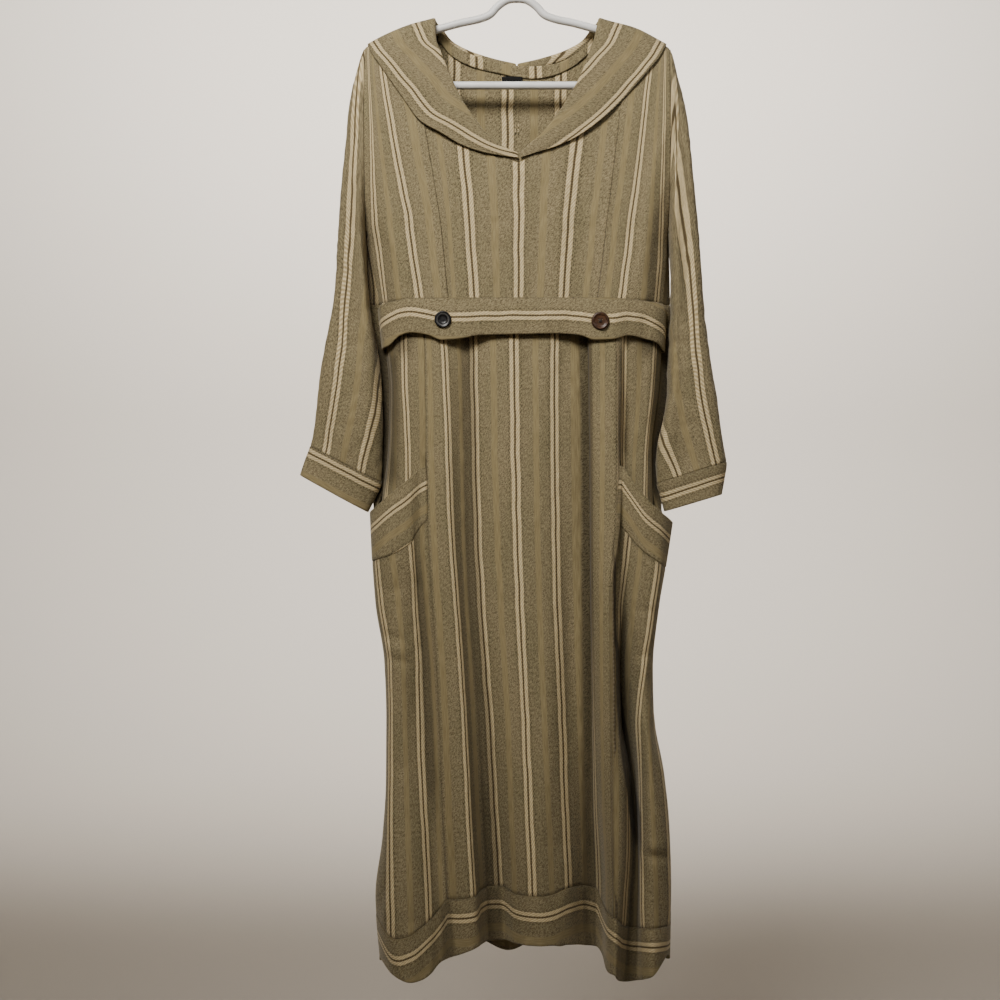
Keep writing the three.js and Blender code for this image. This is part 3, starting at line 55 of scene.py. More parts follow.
# ---------------------------------------------------------------- tables of the form
# Each line follows the weave down a panel; k counts stripe repeats across the cloth.
# band = top of the hem band, hem = lower edge, low = lower edge of the pocket band,
# mouth = its upper edge (x, y, d).
SKIRT_CENTRE = dict(
    d=[498.7, 600, 700, 800, 900, 1000, 1100, 1200, 1300, 1400],
    lines=[
        dict(line='left_seam', k=-2.65, x=[-128.9, -127.2, -125.6, -123.2, -117.6, -110.5, -105.6, -101.8, -96.2, -92.5], y=[-40, -42.8, -47.5, -53.2, -57.5, -63.3, -68.4, -73, -79.2, -84.3], band=1313.6, hem=1390.6),
        dict(line='cream_m2', k=-2.0, x=[-105.3, -98.7, -94.8, -91.1, -84.1, -76.6, -70.5, -65.3, -59.4, -54.1], y=[-43, -46.5, -51.6, -57.2, -61.4, -68.4, -76, -83.8, -93.1, -100.9], band=1306.8, hem=1372.8),
        dict(line='slope_m15', k=-1.55, x=[-86.1, -81.2, -79, -77.1, -72.8, -66.7, -61.3, -56.7, -50.9, -45.8], y=[-38, -37.1, -37.6, -39.5, -42.5, -48.8, -54.5, -58.7, -63.3, -66], band=1305.5, hem=1377.1),
        dict(line='valley_m12', k=-1.27, x=[-75.2, -72.1, -69.9, -67.6, -63.4, -56.5, -50.3, -45.6, -41.3, -39.4], y=[-35, -31.5, -31, -31.2, -33.7, -37.6, -39.5, -40, -38.5, -36.3], band=1308, hem=1382.4),
        dict(line='cream_m1', k=-1.0, x=[-62, -60, -58.1, -55.7, -50.9, -43.6, -36.9, -31.5, -25.2, -21.5], y=[-36, -34.2, -34.3, -35.4, -37.7, -41.6, -43.5, -44, -42.5, -40.2], band=1306.1, hem=1380.4),
        dict(line='tan_m05', k=-0.5, x=[-33.7, -32.7, -31.2, -28.7, -23.9, -17.3, -12.1, -8.3, -4.1, -2.2], y=[-41, -42.4, -44.2, -46.8, -50.5, -56.3, -61.2, -64.5, -66.7, -68], band=1310, hem=1376.4),
        dict(line='cream_0', k=0.0, x=[-4.7, -4.3, -3.1, -0.9, 2.3, 7, 11.5, 15.4, 19.9, 23.3], y=[-42, -44.9, -48.1, -52.1, -57.4, -64.5, -71.7, -78.4, -85.3, -90.4], band=1307.8, hem=1372.7),
        dict(line='tan_p05', k=0.5, x=[24.3, 25.2, 26, 27.2, 29.7, 33.3, 37.5, 41.8, 45.8, 47.4], y=[-42, -44.9, -48.1, -52.1, -57.4, -64.6, -71.3, -77.2, -83.3, -88.4], band=1307.1, hem=1373.4),
        dict(line='cream_p1', k=1.0, x=[51.2, 51.2, 51.4, 52.2, 54, 57.9, 61.6, 64.7, 69, 70], y=[-40, -41.4, -43.7, -46.7, -49.6, -53.2, -57, -60.4, -62.7, -64], band=1302.3, hem=1379),
        dict(line='tan_p15', k=1.5, x=[78.4, 78.9, 79.7, 80.8, 82.3, 84.6, 87.1, 89.7, 93.2, 93.6], y=[-36, -34.2, -34.3, -35.2, -35.9, -37.5, -38, -38, -36.4, -35.1], band=1307.9, hem=1389.8),
        dict(line='under_p18', k=1.78, x=[102.2, 104.6, 106.2, 106.6, 105.4, 104.1, 103.6, 103.6, 106, 106.4], y=[-31.9, -27.8, -26.3, -26, -26.9, -29, -30.5, -31, -31, -30.2], band=1311.5, hem=1392.1),
        dict(line='return_p20', k=1.95, x=[96.2, 98.5, 99.9, 100.6, 101.1, 102.7, 104.7, 106.9, 111, 111.4], y=[-38, -36.2, -36, -36, -36, -37.4, -38, -38, -38, -38], band=1312.9, hem=1391.7),
        dict(line='fold_p21', k=2.14, x=[101.3, 102.9, 103.6, 104, 104.6, 105.8, 107.7, 110.5, 115.7, 115.9], y=[-45, -45.7, -46.6, -46.9, -46, -46.6, -47.3, -48.1, -49.6, -51.9], band=1323.2, hem=1395.3),
        dict(line='tan_p25', k=2.5, x=[116.3, 116.6, 116.3, 115.3, 114.5, 114.5, 114.9, 116.6, 120.3, 120], y=[-46, -49.7, -53.2, -57, -61.5, -67.4, -72.5, -76.9, -81.4, -86.3], band=1328.3, hem=1406.5),
        dict(line='right_seam', k=2.97, x=[140.1, 140.5, 140.6, 139.4, 128.8, 128.4, 128.2, 128.2, 128.6, 128.8], y=[-42, -49.5, -55.6, -62, -71.1, -80.2, -88.4, -95.8, -103.5, -111.2], band=1331.2, hem=1405.7),
    ])
POCKET_FRONT_L = dict(
    d=[780, 850, 920, 1000, 1080, 1160, 1240, 1320, 1400],
    lines=[
        dict(line='side_seam', k=-2.5, x=[-205.8, -202.4, -196.3, -183.5, -180.1, -180.6, -185.3, -196.2, -193.6], y=[2, 2, 2, 2, 2, 2, 2, 2, 2], low=860.1, band=1358.4, hem=1419, mouth=(-203.3, 2, 795.2)),
        dict(line='turn_m22', k=-2.15, x=[-207.8, -202.3, -196.3, -184.1, -181.2, -181.3, -185.9, -194.7, -188.4], y=[-19.2, -21.7, -26.4, -30.2, -33.5, -36.8, -40.4, -43.8, -45.8], low=859, band=1344.1, hem=1402.8, mouth=(-204.9, -18, 791.5)),
        dict(line='cream_m4', k=-1.68, x=[-196.5, -193.8, -187.3, -175, -173.3, -173.1, -172.5, -170.8, -167.2], y=[-41.2, -43.8, -46.6, -56.6, -61.4, -70.9, -85.3, -99.4, -107.4], low=856, band=1358, hem=1405.7, mouth=(-193.8, -40, 782.3)),
        dict(line='tan_m35', k=-1.18, x=[-171.8, -170.2, -161.7, -155.8, -153.4, -150.4, -146.5, -142.7, -140.1], y=[-62, -62, -60.1, -64.3, -67.6, -77, -92.7, -107.7, -115.7], low=847.7, band=1351.5, hem=1412.2, mouth=(-170.3, -58, 763.1)),
        dict(line='cream_m3', k=-0.68, x=[-150.3, -143.5, -140.2, -135.3, -133.7, -130, -124.5, -119.4, -116.9], y=[-61.6, -56.5, -50, -52.2, -56.4, -64.8, -79.5, -95.5, -105.7], low=831.4, band=1337, hem=1404.9, mouth=(-149.1, -58, 746)),
        dict(line='valley_04', k=-0.4, x=[-139.8, -137.7, -132.7, -124, -119.7, -117.5, -113.9, -110, -108.3], y=[-54.9, -48.5, -44, -46.2, -51.3, -59.1, -71.5, -84.9, -92.9], low=819.3, band=1330, hem=1397.7, mouth=(-140.4, -54, 737.7)),
        dict(line='tan_02', k=-0.18, x=[-133.6, -130.2, -124.1, -116.8, -112.5, -109.8, -106.8, -103.5, -100.5], y=[-49, -49, -49.1, -53.4, -58.4, -64.1, -72, -80.5, -86.5], low=809.7, band=1323.5, hem=1393.2, mouth=(-134.5, -50, 732.8)),
    ])
POCKET_FRONT_R = dict(
    d=[780, 850, 920, 1000, 1080, 1160, 1240, 1320, 1400],
    lines=[
        dict(line='wall_02', k=0.18, x=[143.5, 138.5, 134, 137.3, 139.1, 142.6, 140.6, 136, 133.2], y=[-52.8, -50.1, -50, -52.4, -64.7, -83, -93.1, -98.4, -100.3], low=808.3, band=1338, hem=1414.3, mouth=(146.2, -58, 730.9)),
        dict(line='cream_a', k=0.45, x=[156.1, 149.6, 142.8, 141.5, 143.4, 150.8, 149.8, 144.3, 139.4], y=[-55.6, -50.6, -38.5, -26, -29.1, -54.3, -74, -82, -77.8], low=822, band=1348.4, hem=1424.2, mouth=(153.5, -60, 742.6)),
        dict(line='valley_07', k=0.75, x=[164.7, 160.1, 151.5, 145.9, 147.6, 157.9, 159.5, 155.1, 149.8], y=[-59.6, -54.6, -41.7, -15.9, -14.1, -22, -41.1, -58, -58], low=833.5, band=1357.7, hem=1430.8, mouth=(164.2, -62, 757.6)),
        dict(line='tan_095', k=1.0, x=[174.1, 169, 161.3, 155.7, 154.2, 163.6, 166.1, 163.5, 160.4], y=[-61.4, -60.2, -54.7, -35.2, -24.4, -24, -33.1, -55.9, -59.9], low=842.3, band=1359, hem=1429, mouth=(175.1, -62, 771.3)),
        dict(line='cream_b', k=1.45, x=[193.9, 193.6, 185.2, 173.6, 165.4, 168.7, 168.9, 168.2, 170.2], y=[-53.2, -55.8, -58, -55.8, -52.1, -52, -59.4, -76.6, -84.6], low=859.5, band=1352.7, hem=1418.6, mouth=(195.7, -50, 789.8)),
        dict(line='tan_195', k=1.95, x=[209.7, 204.9, 194.9, 185.3, 179.3, 180.9, 184, 186, 183.7], y=[-38.8, -36.1, -36, -40.5, -60.3, -75.7, -82.1, -86.5, -92.7], low=866.7, band=1350, hem=1409.5, mouth=(210, -34, 800.3)),
        dict(line='cream_c', k=2.4, x=[217.3, 209.6, 198.1, 189.2, 189.2, 200.2, 206, 207.7, 202.5], y=[-18, -18, -16, -16, -31.2, -50.7, -56, -58, -61.9], low=868.3, band=1355.8, hem=1396.1, mouth=(216.5, -16, 806.2)),
        dict(line='side_seam', k=2.75, x=[213.4, 208.3, 197.6, 187.7, 192.9, 207.4, 215.1, 217.3, 215.5], y=[2, 2, 2, 2, 2, 2, 2, 2, 2], low=869.3, band=1372.5, hem=1416.2, mouth=(213.1, 2, 809.3)),
    ])
SIDE_FRONT_L = dict(
    d=[498.7, 560, 620, 680, 712, 728, 780, 860, 960],
    lines=[
        dict(line='side_seam', k=-2.0, x=[-192.5, -185.1, -180.2, -181, -182.7, -184.6, -191, -194.8, -181.8], y=[2, 2, 2, 2, 2, 2, 2, 2, 2]),
        dict(line='turn_m17', k=-1.7, x=[-188, -181.3, -176.4, -177.2, -178.7, -180.2, -185.6, -189.1, -175.8], y=[-12.9, -12.1, -11.1, -11, -11, -11, -11, -14.1, -26.1]),
        dict(line='tan_m35', k=-1.12, x=[-176.9, -174.7, -170.9, -169.9, -169.9, -170.4, -172, -171.4, -159.6], y=[-25.9, -23.2, -21.4, -19.4, -19, -19, -19.1, -26.3, -43.2]),
        dict(line='cream_m3', k=-0.62, x=[-158.2, -157.1, -155.6, -152.8, -151.6, -151.2, -150.3, -148.6, -140.9], y=[-35, -33.2, -31.4, -29.6, -28.9, -28.5, -28.1, -33.2, -38.5]),
        dict(line='tan_02', k=-0.2, x=[-138, -137.3, -136.2, -135, -134.4, -134.2, -133.9, -134.5, -128.3], y=[-38, -39, -39, -38.3, -38, -38, -38, -38, -38.8]),
    ])
SIDE_FRONT_R = dict(
    d=[498.7, 560, 620, 680, 712, 728, 780, 840, 905],
    lines=[
        dict(line='cream_half', k=0.1, x=[147.4, 148, 147.8, 147.5, 147.3, 147, 144.8, 139.2, 135.1], y=[-38, -38, -35.1, -30.8, -30, -30.3, -32.2, -35, -39.5]),
        dict(line='tan_p35', k=0.55, x=[167, 167.9, 167.3, 164.1, 162, 161.3, 159.1, 156.6, 150.1], y=[-35, -33.2, -29.9, -26.6, -26, -26.3, -28.4, -37, -33.8]),
        dict(line='cream_p4', k=1.05, x=[190.1, 191, 188.2, 181.5, 179.2, 178.8, 178.1, 180.8, 176.3], y=[-26.9, -25.2, -23.3, -22.2, -22, -22, -22.1, -30.3, -33.7]),
        dict(line='turn_p43', k=1.45, x=[201.9, 199, 195.1, 188, 186.4, 186.4, 186.5, 192, 186.8], y=[-12.9, -12.1, -11.2, -10.2, -10, -10, -10.1, -14.8, -17.7]),
        dict(line='side_seam', k=2.0, x=[207.1, 204.1, 200.1, 191.7, 189.9, 190.2, 192.3, 198.3, 191.2], y=[2, 2, 2, 2, 2, 2, 2, 2, 2]),
    ])
BODICE_FRONT = dict(
    d=[130, 190, 250, 310, 350, 385, 420, 498.7],
    lines=[
        dict(line='side_left', k=-4.35, x=[-212, -210.5, -210.1, -210.3, -211.2, -212.3, -208.4, -193.5], y=[-14.8, -25, -28.9, -26.1, -19.3, -6.9, 2, 2]),
        dict(line='cream_m4', k=-4.0, x=[-209.5, -206.1, -202.6, -200.8, -199.7, -198.5, -194, -184.5], y=[-15.1, -27, -31.8, -30.9, -28.3, -23, -15.3, -11.8]),
        dict(line='tan_m35', k=-3.5, x=[-203.7, -199.1, -192.9, -185.8, -180.9, -176.5, -172.8, -163.6], y=[-15.3, -27.9, -32.6, -33.7, -34.4, -35, -35, -36]),
        dict(line='cream_m3', k=-3.0, x=[-193.2, -185.8, -175.6, -164.8, -157.2, -150.3, -146.2, -134.3], y=[-15.7, -29.9, -34.4, -37.2, -38.7, -39.9, -40, -41]),
        dict(line='tan_m25', k=-2.5, x=[-171, -158.8, -146.7, -135.6, -128.5, -122.6, -118.7, -109.4], y=[-15.9, -30.8, -35.4, -38.2, -39.7, -40.9, -41, -42]),
        dict(line='fold_m23', k=-2.3, x=[-155.6, -143.6, -130.8, -120.1, -113.5, -108, -104.2, -96.3], y=[-15.9, -30.8, -35.3, -38.5, -40.3, -41.4, -41.5, -42.5]),
        dict(line='under_m20', k=-1.9, x=[-152.8, -140.8, -128.3, -117.7, -111.2, -105.8, -102.3, -94.4], y=[-12.8, -26, -30.4, -33.6, -35.3, -36.4, -36.5, -37.5]),
        dict(line='tan_m15', k=-1.5, x=[-136, -124.1, -111.8, -103.9, -99.3, -95.3, -92.8, -87.5], y=[-11.9, -25, -29.4, -32.6, -34.5, -35.9, -36, -37]),
        dict(line='cream_m1', k=-1.0, x=[-91.5, -86.6, -79.3, -73, -69.5, -66.8, -64.4, -59.2], y=[-13.3, -25, -30.3, -34, -36, -37.4, -37.5, -38.5]),
        dict(line='tan_m05', k=-0.5, x=[-41.9, -40.7, -38.4, -35.4, -33.5, -32, -30.7, -28.1], y=[-13.5, -26, -31.2, -34.9, -37.1, -38.9, -39, -40]),
        dict(line='cream_0', k=0.0, x=[2.3, 2.1, 2.1, 2, 2, 2, 2, 1.9], y=[-13.5, -26, -31.2, -34.9, -37.1, -38.9, -39, -40.5]),
        dict(line='tan_p05', k=0.5, x=[47, 44.8, 42.4, 39.3, 37.3, 35.8, 34.5, 31.2], y=[-13.5, -26, -31.2, -34.9, -37.1, -38.9, -39, -40]),
        dict(line='cream_p1', k=1.0, x=[96.7, 91.5, 86, 78.3, 73.7, 70.7, 68.2, 63], y=[-13.3, -25, -30.3, -34, -36, -37.4, -37.5, -38.5]),
        dict(line='tan_p15', k=1.5, x=[141.5, 130.4, 121.7, 114.2, 109.4, 105.4, 102.8, 93.4], y=[-11.9, -25, -29.4, -32.6, -34.5, -35.9, -36, -37]),
        dict(line='under_p20', k=1.9, x=[156, 147, 140, 132.7, 127.6, 123.1, 119.2, 109.2], y=[-12.8, -26, -30.4, -33.6, -35.3, -36.4, -36.5, -37.5]),
        dict(line='fold_p23', k=2.3, x=[158.6, 149.3, 142, 135.1, 130.1, 125.3, 121.7, 111.5], y=[-15.9, -30.8, -35.3, -38.5, -40.3, -41.4, -41.5, -42.5]),
        dict(line='tan_p25', k=2.5, x=[172.4, 162.1, 154.6, 146.8, 141.3, 136.5, 132.8, 123.5], y=[-15.9, -30.8, -35.4, -38.2, -39.7, -40.9, -41, -42]),
        dict(line='cream_p3', k=3.0, x=[191, 182.2, 175.3, 168.1, 162.7, 157.3, 153.5, 142.8], y=[-15.7, -29.9, -34.4, -37.2, -38.7, -39.9, -40, -41]),
        dict(line='tan_p35', k=3.5, x=[201.8, 196.9, 192.9, 189.2, 186.6, 184.2, 181.7, 173.7], y=[-15.3, -27.9, -32.6, -33.7, -34.4, -35, -35, -36]),
        dict(line='cream_p4', k=4.0, x=[207.9, 205.4, 203.6, 202, 201, 200.4, 200.3, 195], y=[-15.1, -27, -31.8, -30.9, -28.3, -23, -15.3, -11.8]),
        dict(line='side_right', k=4.35, x=[211.7, 210.5, 210, 210.3, 211.4, 212.8, 211.9, 207.1], y=[-14.8, -25, -28.9, -26.1, -19.3, -6.9, 2, 2]),
    ])
COLLAR_L = [
    dict(neck=(0.2, 235.1), outer=(0.2, 240)),
    dict(neck=(-15.7, 225.8), outer=(-24, 231.9)),
    dict(neck=(-30.9, 213.1), outer=(-48.9, 222.1)),
    dict(neck=(-48.9, 192.7), outer=(-76.5, 205.4)),
    dict(neck=(-68.3, 162), outer=(-107, 178.5)),
    dict(neck=(-84.9, 129), outer=(-134.7, 153.4)),
    dict(neck=(-97.5, 96.5), outer=(-159.9, 110.2)),
    dict(neck=(-108.8, 63.8), outer=(-185.2, 63.5)),
    dict(neck=(-115.9, 40.3), outer=(-204.1, 23.7)),
    dict(neck=(-118, 0), outer=(-210, 0)),
    dict(neck=(-116, -7), outer=(-210.5, -25)),
    dict(neck=(-108, -18.5), outer=(-205, -68)),
    dict(neck=(-95, -38), outer=(-184, -110)),
    dict(neck=(-68, -60), outer=(-143, -146)),
    dict(neck=(-35, -77.5), outer=(-82, -173)),
    dict(neck=(-1.5, -91), outer=(-1.5, -188)),
]
COLLAR_R = [
    dict(neck=(4.3, 234.3), outer=(4.3, 239.2)),
    dict(neck=(17.4, 219.9), outer=(24.3, 228.4)),
    dict(neck=(32.7, 203.7), outer=(49.2, 215.7)),
    dict(neck=(47.9, 183.1), outer=(76.9, 196.9)),
    dict(neck=(64.6, 156), outer=(108.8, 165.9)),
    dict(neck=(78.5, 129.5), outer=(135.3, 134.2)),
    dict(neck=(91.1, 101.4), outer=(159.1, 100.5)),
    dict(neck=(101, 70.7), outer=(181.7, 65.1)),
    dict(neck=(109.7, 44), outer=(200.5, 31)),
    dict(neck=(118, 0), outer=(210, 0)),
    dict(neck=(116, -7), outer=(210.5, -25)),
    dict(neck=(108, -18.5), outer=(205, -68)),
    dict(neck=(95, -38), outer=(184, -110)),
    dict(neck=(68, -60), outer=(143, -146)),
    dict(neck=(35, -77.5), outer=(82, -173)),
    dict(neck=(1.5, -91), outer=(1.5, -188)),
]

WAIST, SEAM_Y, ARM_X, MOUTH, LOW, OVER, BAND_H, B = 498.7, 2.0, 213.0, 728.0, 800.0, 3.2, 66.0, 9.0
SHOULDER = dict(at=[0, 60, 121, 165, 190, 213], d=[70, 82, 100, 114.5, 125, 137])
NECK_FRONT = dict(
    at=[-122, -119.5, -117, -111, -99.5, -87, -70, -50.5, -32, -17, 2, 19, 34.5, 50, 66.5, 80.5, 93, 103, 111.5, 117, 122],
    d=[100.5, 122, 138, 154, 183, 211, 239, 266, 283.5, 293, 299.5, 286, 274, 256, 233, 210, 186, 158, 134.5, 118, 100.5],
)
NECK_BACK = dict(
    at=[-122, -108, -95, -68, -35, 0, 23, 52, 78, 96, 109, 122],
    d=[100.5, 110, 123.5, 138, 148.5, 154.5, 155.5, 152.5, 142.5, 129, 115, 100.5],
)
SIDE_SEAM = dict(
    d=[WAIST, 560, 620, 680, 728, 760, 785, 800, 815, 850, 920, 1000, 1080, 1160, 1240, 1320, 1420],
    left=[-192.5, -185.1, -180.2, -181, -184.6, -190, -199, -203, -204.5, -202.4, -196.3, -183.5, -180.1, -180.6, -185.3, -196.2, -193.6],
    right=[207.1, 204.1, 200.1, 191.7, 190.2, 192, 198, 208, 213, 208.3, 197.6, 187.7, 192.9, 207.4, 215.1, 217.3, 215.5],
)
# the back's fullness beside each side seam, as far as the sleeve
FULL = dict(
    d=[397, 420, 455, WAIST, 548, 590, 633, 668, 700, 727, 750, 770, 790, 815, 850, 920, 1000, 1100, 1300, 1420],
    left=[-210.4, -210.1, -209.2, -204.4, -197.2, -190.3, -187.4, -185.9, -186.9, -187.6, -189.6, -194.5, -200.5, -203.5, -201.5, -195.5, -183.5, -179.2, -192, -192],
    right=[210.4, 211.9, 213.4, 213.9, 212.9, 211.2, 208, 202.2, 195.8, 193.8, 195.5, 199.5, 204.5, 212, 207.5, 197, 188.6, 195.8, 214.8, 213.5],
    y=[9, 10.5, 11, 11, 11, 11, 10.5, 10, 10, 10, 9.5, 9, 9, 9, 9, 9, 9.5, 10, 11, 12],
)
SKIRT_BACK = dict(
    d=[WAIST, 700, 900, 1100, 1300, 1420],
    lines=[
        dict(line='fullness_left', k=0.12, d=FULL['d'], x=FULL['left'], y=FULL['y']),
        dict(line='turn_left', k=0.28, x=[-186, -174, -189, -173, -188, -187], y=[19, 18, 17, 20, 23, 24]),
        dict(line='flank_left', k=0.8, x=[-170, -163, -168, -159, -163, -160], y=[28, 30, 34, 40, 46, 48]),
        dict(line='ridge_1', k=1.45, x=[-134, -133, -134, -130, -131, -130], y=[36, 39, 46, 58, 70, 76]),
        dict(line='trough_1', k=2.1, x=[-98, -99, -98, -95, -92, -90], y=[36, 38, 41, 46, 50, 52]),
        dict(line='ridge_2', k=2.6, x=[-68, -69, -66, -62, -58, -56], y=[39, 42, 47, 56, 64, 67]),
        dict(line='trough_2', k=3.3, x=[-28, -30, -27, -22, -17, -14], y=[39, 39, 40, 42, 44, 44]),
        dict(line='ridge_3', k=4.05, x=[16, 14, 17, 22, 29, 33], y=[41, 46, 58, 74, 88, 94]),
        dict(line='trough_3', k=4.8, x=[56, 53, 54, 58, 63, 65], y=[38, 37, 38, 40, 42, 42]),
        dict(line='ridge_4', k=5.25, x=[84, 81, 83, 88, 95, 99], y=[39, 42, 48, 58, 66, 69]),
        dict(line='trough_4', k=5.75, x=[112, 108, 111, 116, 123, 126], y=[37, 38, 41, 46, 50, 51]),
        dict(line='ridge_5', k=6.3, x=[145, 140, 142, 146, 153, 156], y=[36, 39, 46, 58, 71, 77]),
        dict(line='flank_right', k=6.9, x=[178, 168, 172, 171, 182, 184], y=[29, 29, 33, 38, 46, 49]),
        dict(line='turn_right', k=7.4, x=[200, 184, 192, 190, 207, 208], y=[19, 17, 16, 18, 21, 22]),
        dict(line='fullness_right', k=7.6, d=FULL['d'], x=FULL['right'], y=FULL['y']),
    ],
)
# waist band, side seam to side seam; stripe = how far below its top edge the double stripe runs
WAIST_BAND = [
    dict(x=-196, xLow=-190, yTop=0.4, yLow=0.4, top=505, low=562, stripe=27),
    dict(x=-192, xLow=-186, yTop=-15.5, yLow=-16, top=503, low=561, stripe=25),
    dict(x=-180, xLow=-178, yTop=-30, yLow=-29, top=501, low=559, stripe=22),
    dict(x=-162, xLow=-161, yTop=-40.5, yLow=-40, top=498, low=546, stripe=18.5),
    dict(x=-146, xLow=-146, yTop=-46, yLow=-46, top=496.5, low=543, stripe=19),
    dict(x=-122, xLow=-122, yTop=-49, yLow=-50.5, top=496.5, low=547, stripe=23),
    dict(x=-104, xLow=-104, yTop=-49.6, yLow=-52.5, top=496.5, low=554, stripe=26.6),
    dict(x=-78, xLow=-78, yTop=-49.8, yLow=-52, top=496.5, low=552, stripe=27),
    dict(x=-50, xLow=-50, yTop=-50, yLow=-51, top=496.5, low=547, stripe=25.6),
    dict(x=0, xLow=0, yTop=-50.2, yLow=-51.5, top=496.5, low=546, stripe=24.6),
    dict(x=54, xLow=54, yTop=-50, yLow=-51, top=496.5, low=545, stripe=24.2),
    dict(x=84, xLow=84, yTop=-49.9, yLow=-52, top=496.5, low=547, stripe=26),
    dict(x=106, xLow=106, yTop=-49.8, yLow=-53, top=496.5, low=554, stripe=28.5),
    dict(x=130, xLow=130, yTop=-49, yLow=-52, top=497, low=553, stripe=28.5),
    dict(x=152, xLow=153, yTop=-45.5, yLow=-46.5, top=497.5, low=547, stripe=23.5),
    dict(x=171, xLow=172, yTop=-40.5, yLow=-40, top=499, low=550, stripe=24),
    dict(x=193, xLow=194, yTop=-31.5, yLow=-30.5, top=501, low=556, stripe=31),
    dict(x=206, xLow=203.5, yTop=-16, yLow=-16, top=504, low=564, stripe=34),
    dict(x=210.8, xLow=208, yTop=0.4, yLow=0.4, top=507, low=566, stripe=36),
]
SLEEVE_L = [
    dict(over=(-213.6, 137), under=(-213.6, 397), front=29, back=29),
    dict(over=(-228, 183), under=(-213, 420), front=30, back=30),
    dict(over=(-236, 222), under=(-212, 455), front=31, back=31),
    dict(over=(-240, 268), under=(-207, 500), front=31, back=31),
    dict(over=(-245, 331), under=(-200, 548), front=31, back=30),
    dict(over=(-250.5, 401), under=(-193, 590), front=30, back=29),
    dict(over=(-258, 485), under=(-190, 633), front=29, back=28),
    dict(over=(-267, 549), under=(-188.5, 668), front=28, back=26),
    dict(over=(-276.5, 605), under=(-189.5, 697), front=26, back=24),
    dict(over=(-284, 658), under=(-190, 722), front=23, back=21),
    dict(over=(-290, 698), under=(-192, 749), front=20, back=18),
    dict(over=(-297, 718), under=(-201, 770), front=17, back=16),
    dict(over=(-304, 739), under=(-211, 790), front=16, back=15),
]
SLEEVE_R = [
    dict(over=(213.6, 137), under=(213.6, 397), front=29, back=29),
    dict(over=(227, 184), under=(214.5, 420), front=30, back=30),
    dict(over=(237, 228), under=(216, 455), front=31, back=31),
    dict(over=(243, 275), under=(216.5, 500), front=31, back=31),
    dict(over=(248, 328), under=(215.5, 548), front=31, back=30),
    dict(over=(254, 400), under=(214, 590), front=30, back=29),
    dict(over=(261, 490), under=(210.8, 633), front=29, back=28),
    dict(over=(269, 558), under=(205, 668), front=28, back=26),
    dict(over=(278, 612), under=(198.5, 700), front=26, back=24),
    dict(over=(287, 668), under=(196.5, 726), front=23, back=21),
    dict(over=(294, 720), under=(198.4, 750), front=20, back=18),
    dict(over=(291, 743), under=(203.5, 769), front=17, back=16),
    dict(over=(287, 765.5), under=(209, 789), front=16, back=15),
]
# x of the double stripe that runs down the front of each sleeve, against d
SLEEVE_STRIPE = {
    -1: dict(d=[180, 255, 335, 462, 500, 553, 610, 705], x=[-222, -226, -229, -237.5, -241.5, -244.5, -251, -267]),
    1: dict(d=[210, 272, 335, 420, 493, 543, 642, 716], x=[222, 215, 223, 235.5, 244, 246.5, 258.5, 275.5]),
}
HANGER = dict(
    r=5.5,
    half=[(0, 67.6), (14, 69.5), (27, 78), (38, 89.5), (52, 95.6), (80, 101.8), (120, 112.6), (165, 124), (186, 131.5), (198, 143), (201, 158), (195, 174), (180, 184.5), (150, 189), (90, 189.6), (0, 189.6)],
    hook=[(-24, 33), (-26, 20), (-18.4, 1.6), (0, -5.6), (18.4, 1.6), (25.6, 20), (18.4, 38.4), (5, 47), (0, 55), (0, 68)],
)
BUTTONS = [
    dict(name='button_left', x=-102.3, d=526.6, y=-57, r=11.6, h=3.4, holes=0),
    dict(name='button_right', x=113.4, d=528.7, y=-57.2, r=12.4, h=3.4, holes=4),
]
LABEL = dict(x=(-21, 8), d=(168.6, 180.5))


# ---------------------------------------------------------------- curves through the tables
def curve(xs, ys):
    """Monotone curve through (xs, ys)."""
    xs = np.asarray(xs, float)
    ys = np.asarray(ys, float)
    h = np.diff(xs)
    s = np.diff(ys) / h
    m = np.empty_like(ys)
    m[0], m[-1] = s[0], s[-1]
    a, b = s[:-1], s[1:]
    same = a * b > 0
    m[1:-1] = np.where(same, 2 * a * b / np.where(same, a + b, 1.0), 0.0)

    def f(x):
        x = np.asarray(x, float)
        i = np.clip(np.searchsorted(xs, x, side="right") - 1, 0, len(xs) - 2)
        t = (x - xs[i]) / h[i]
        t2, t3 = t * t, t * t * t
        y = (2 * t3 - 3 * t2 + 1) * ys[i] + (t3 - 2 * t2 + t) * h[i] * m[i] + (3 * t2 - 2 * t3) * ys[i + 1] + (t3 - t2) * h[i] * m[i + 1]
        y = np.where(x <= xs[0], ys[0] + m[0] * (x - xs[0]), y)
        return np.where(x >= xs[-1], ys[-1] + m[-1] * (x - xs[-1]), y)

    return f


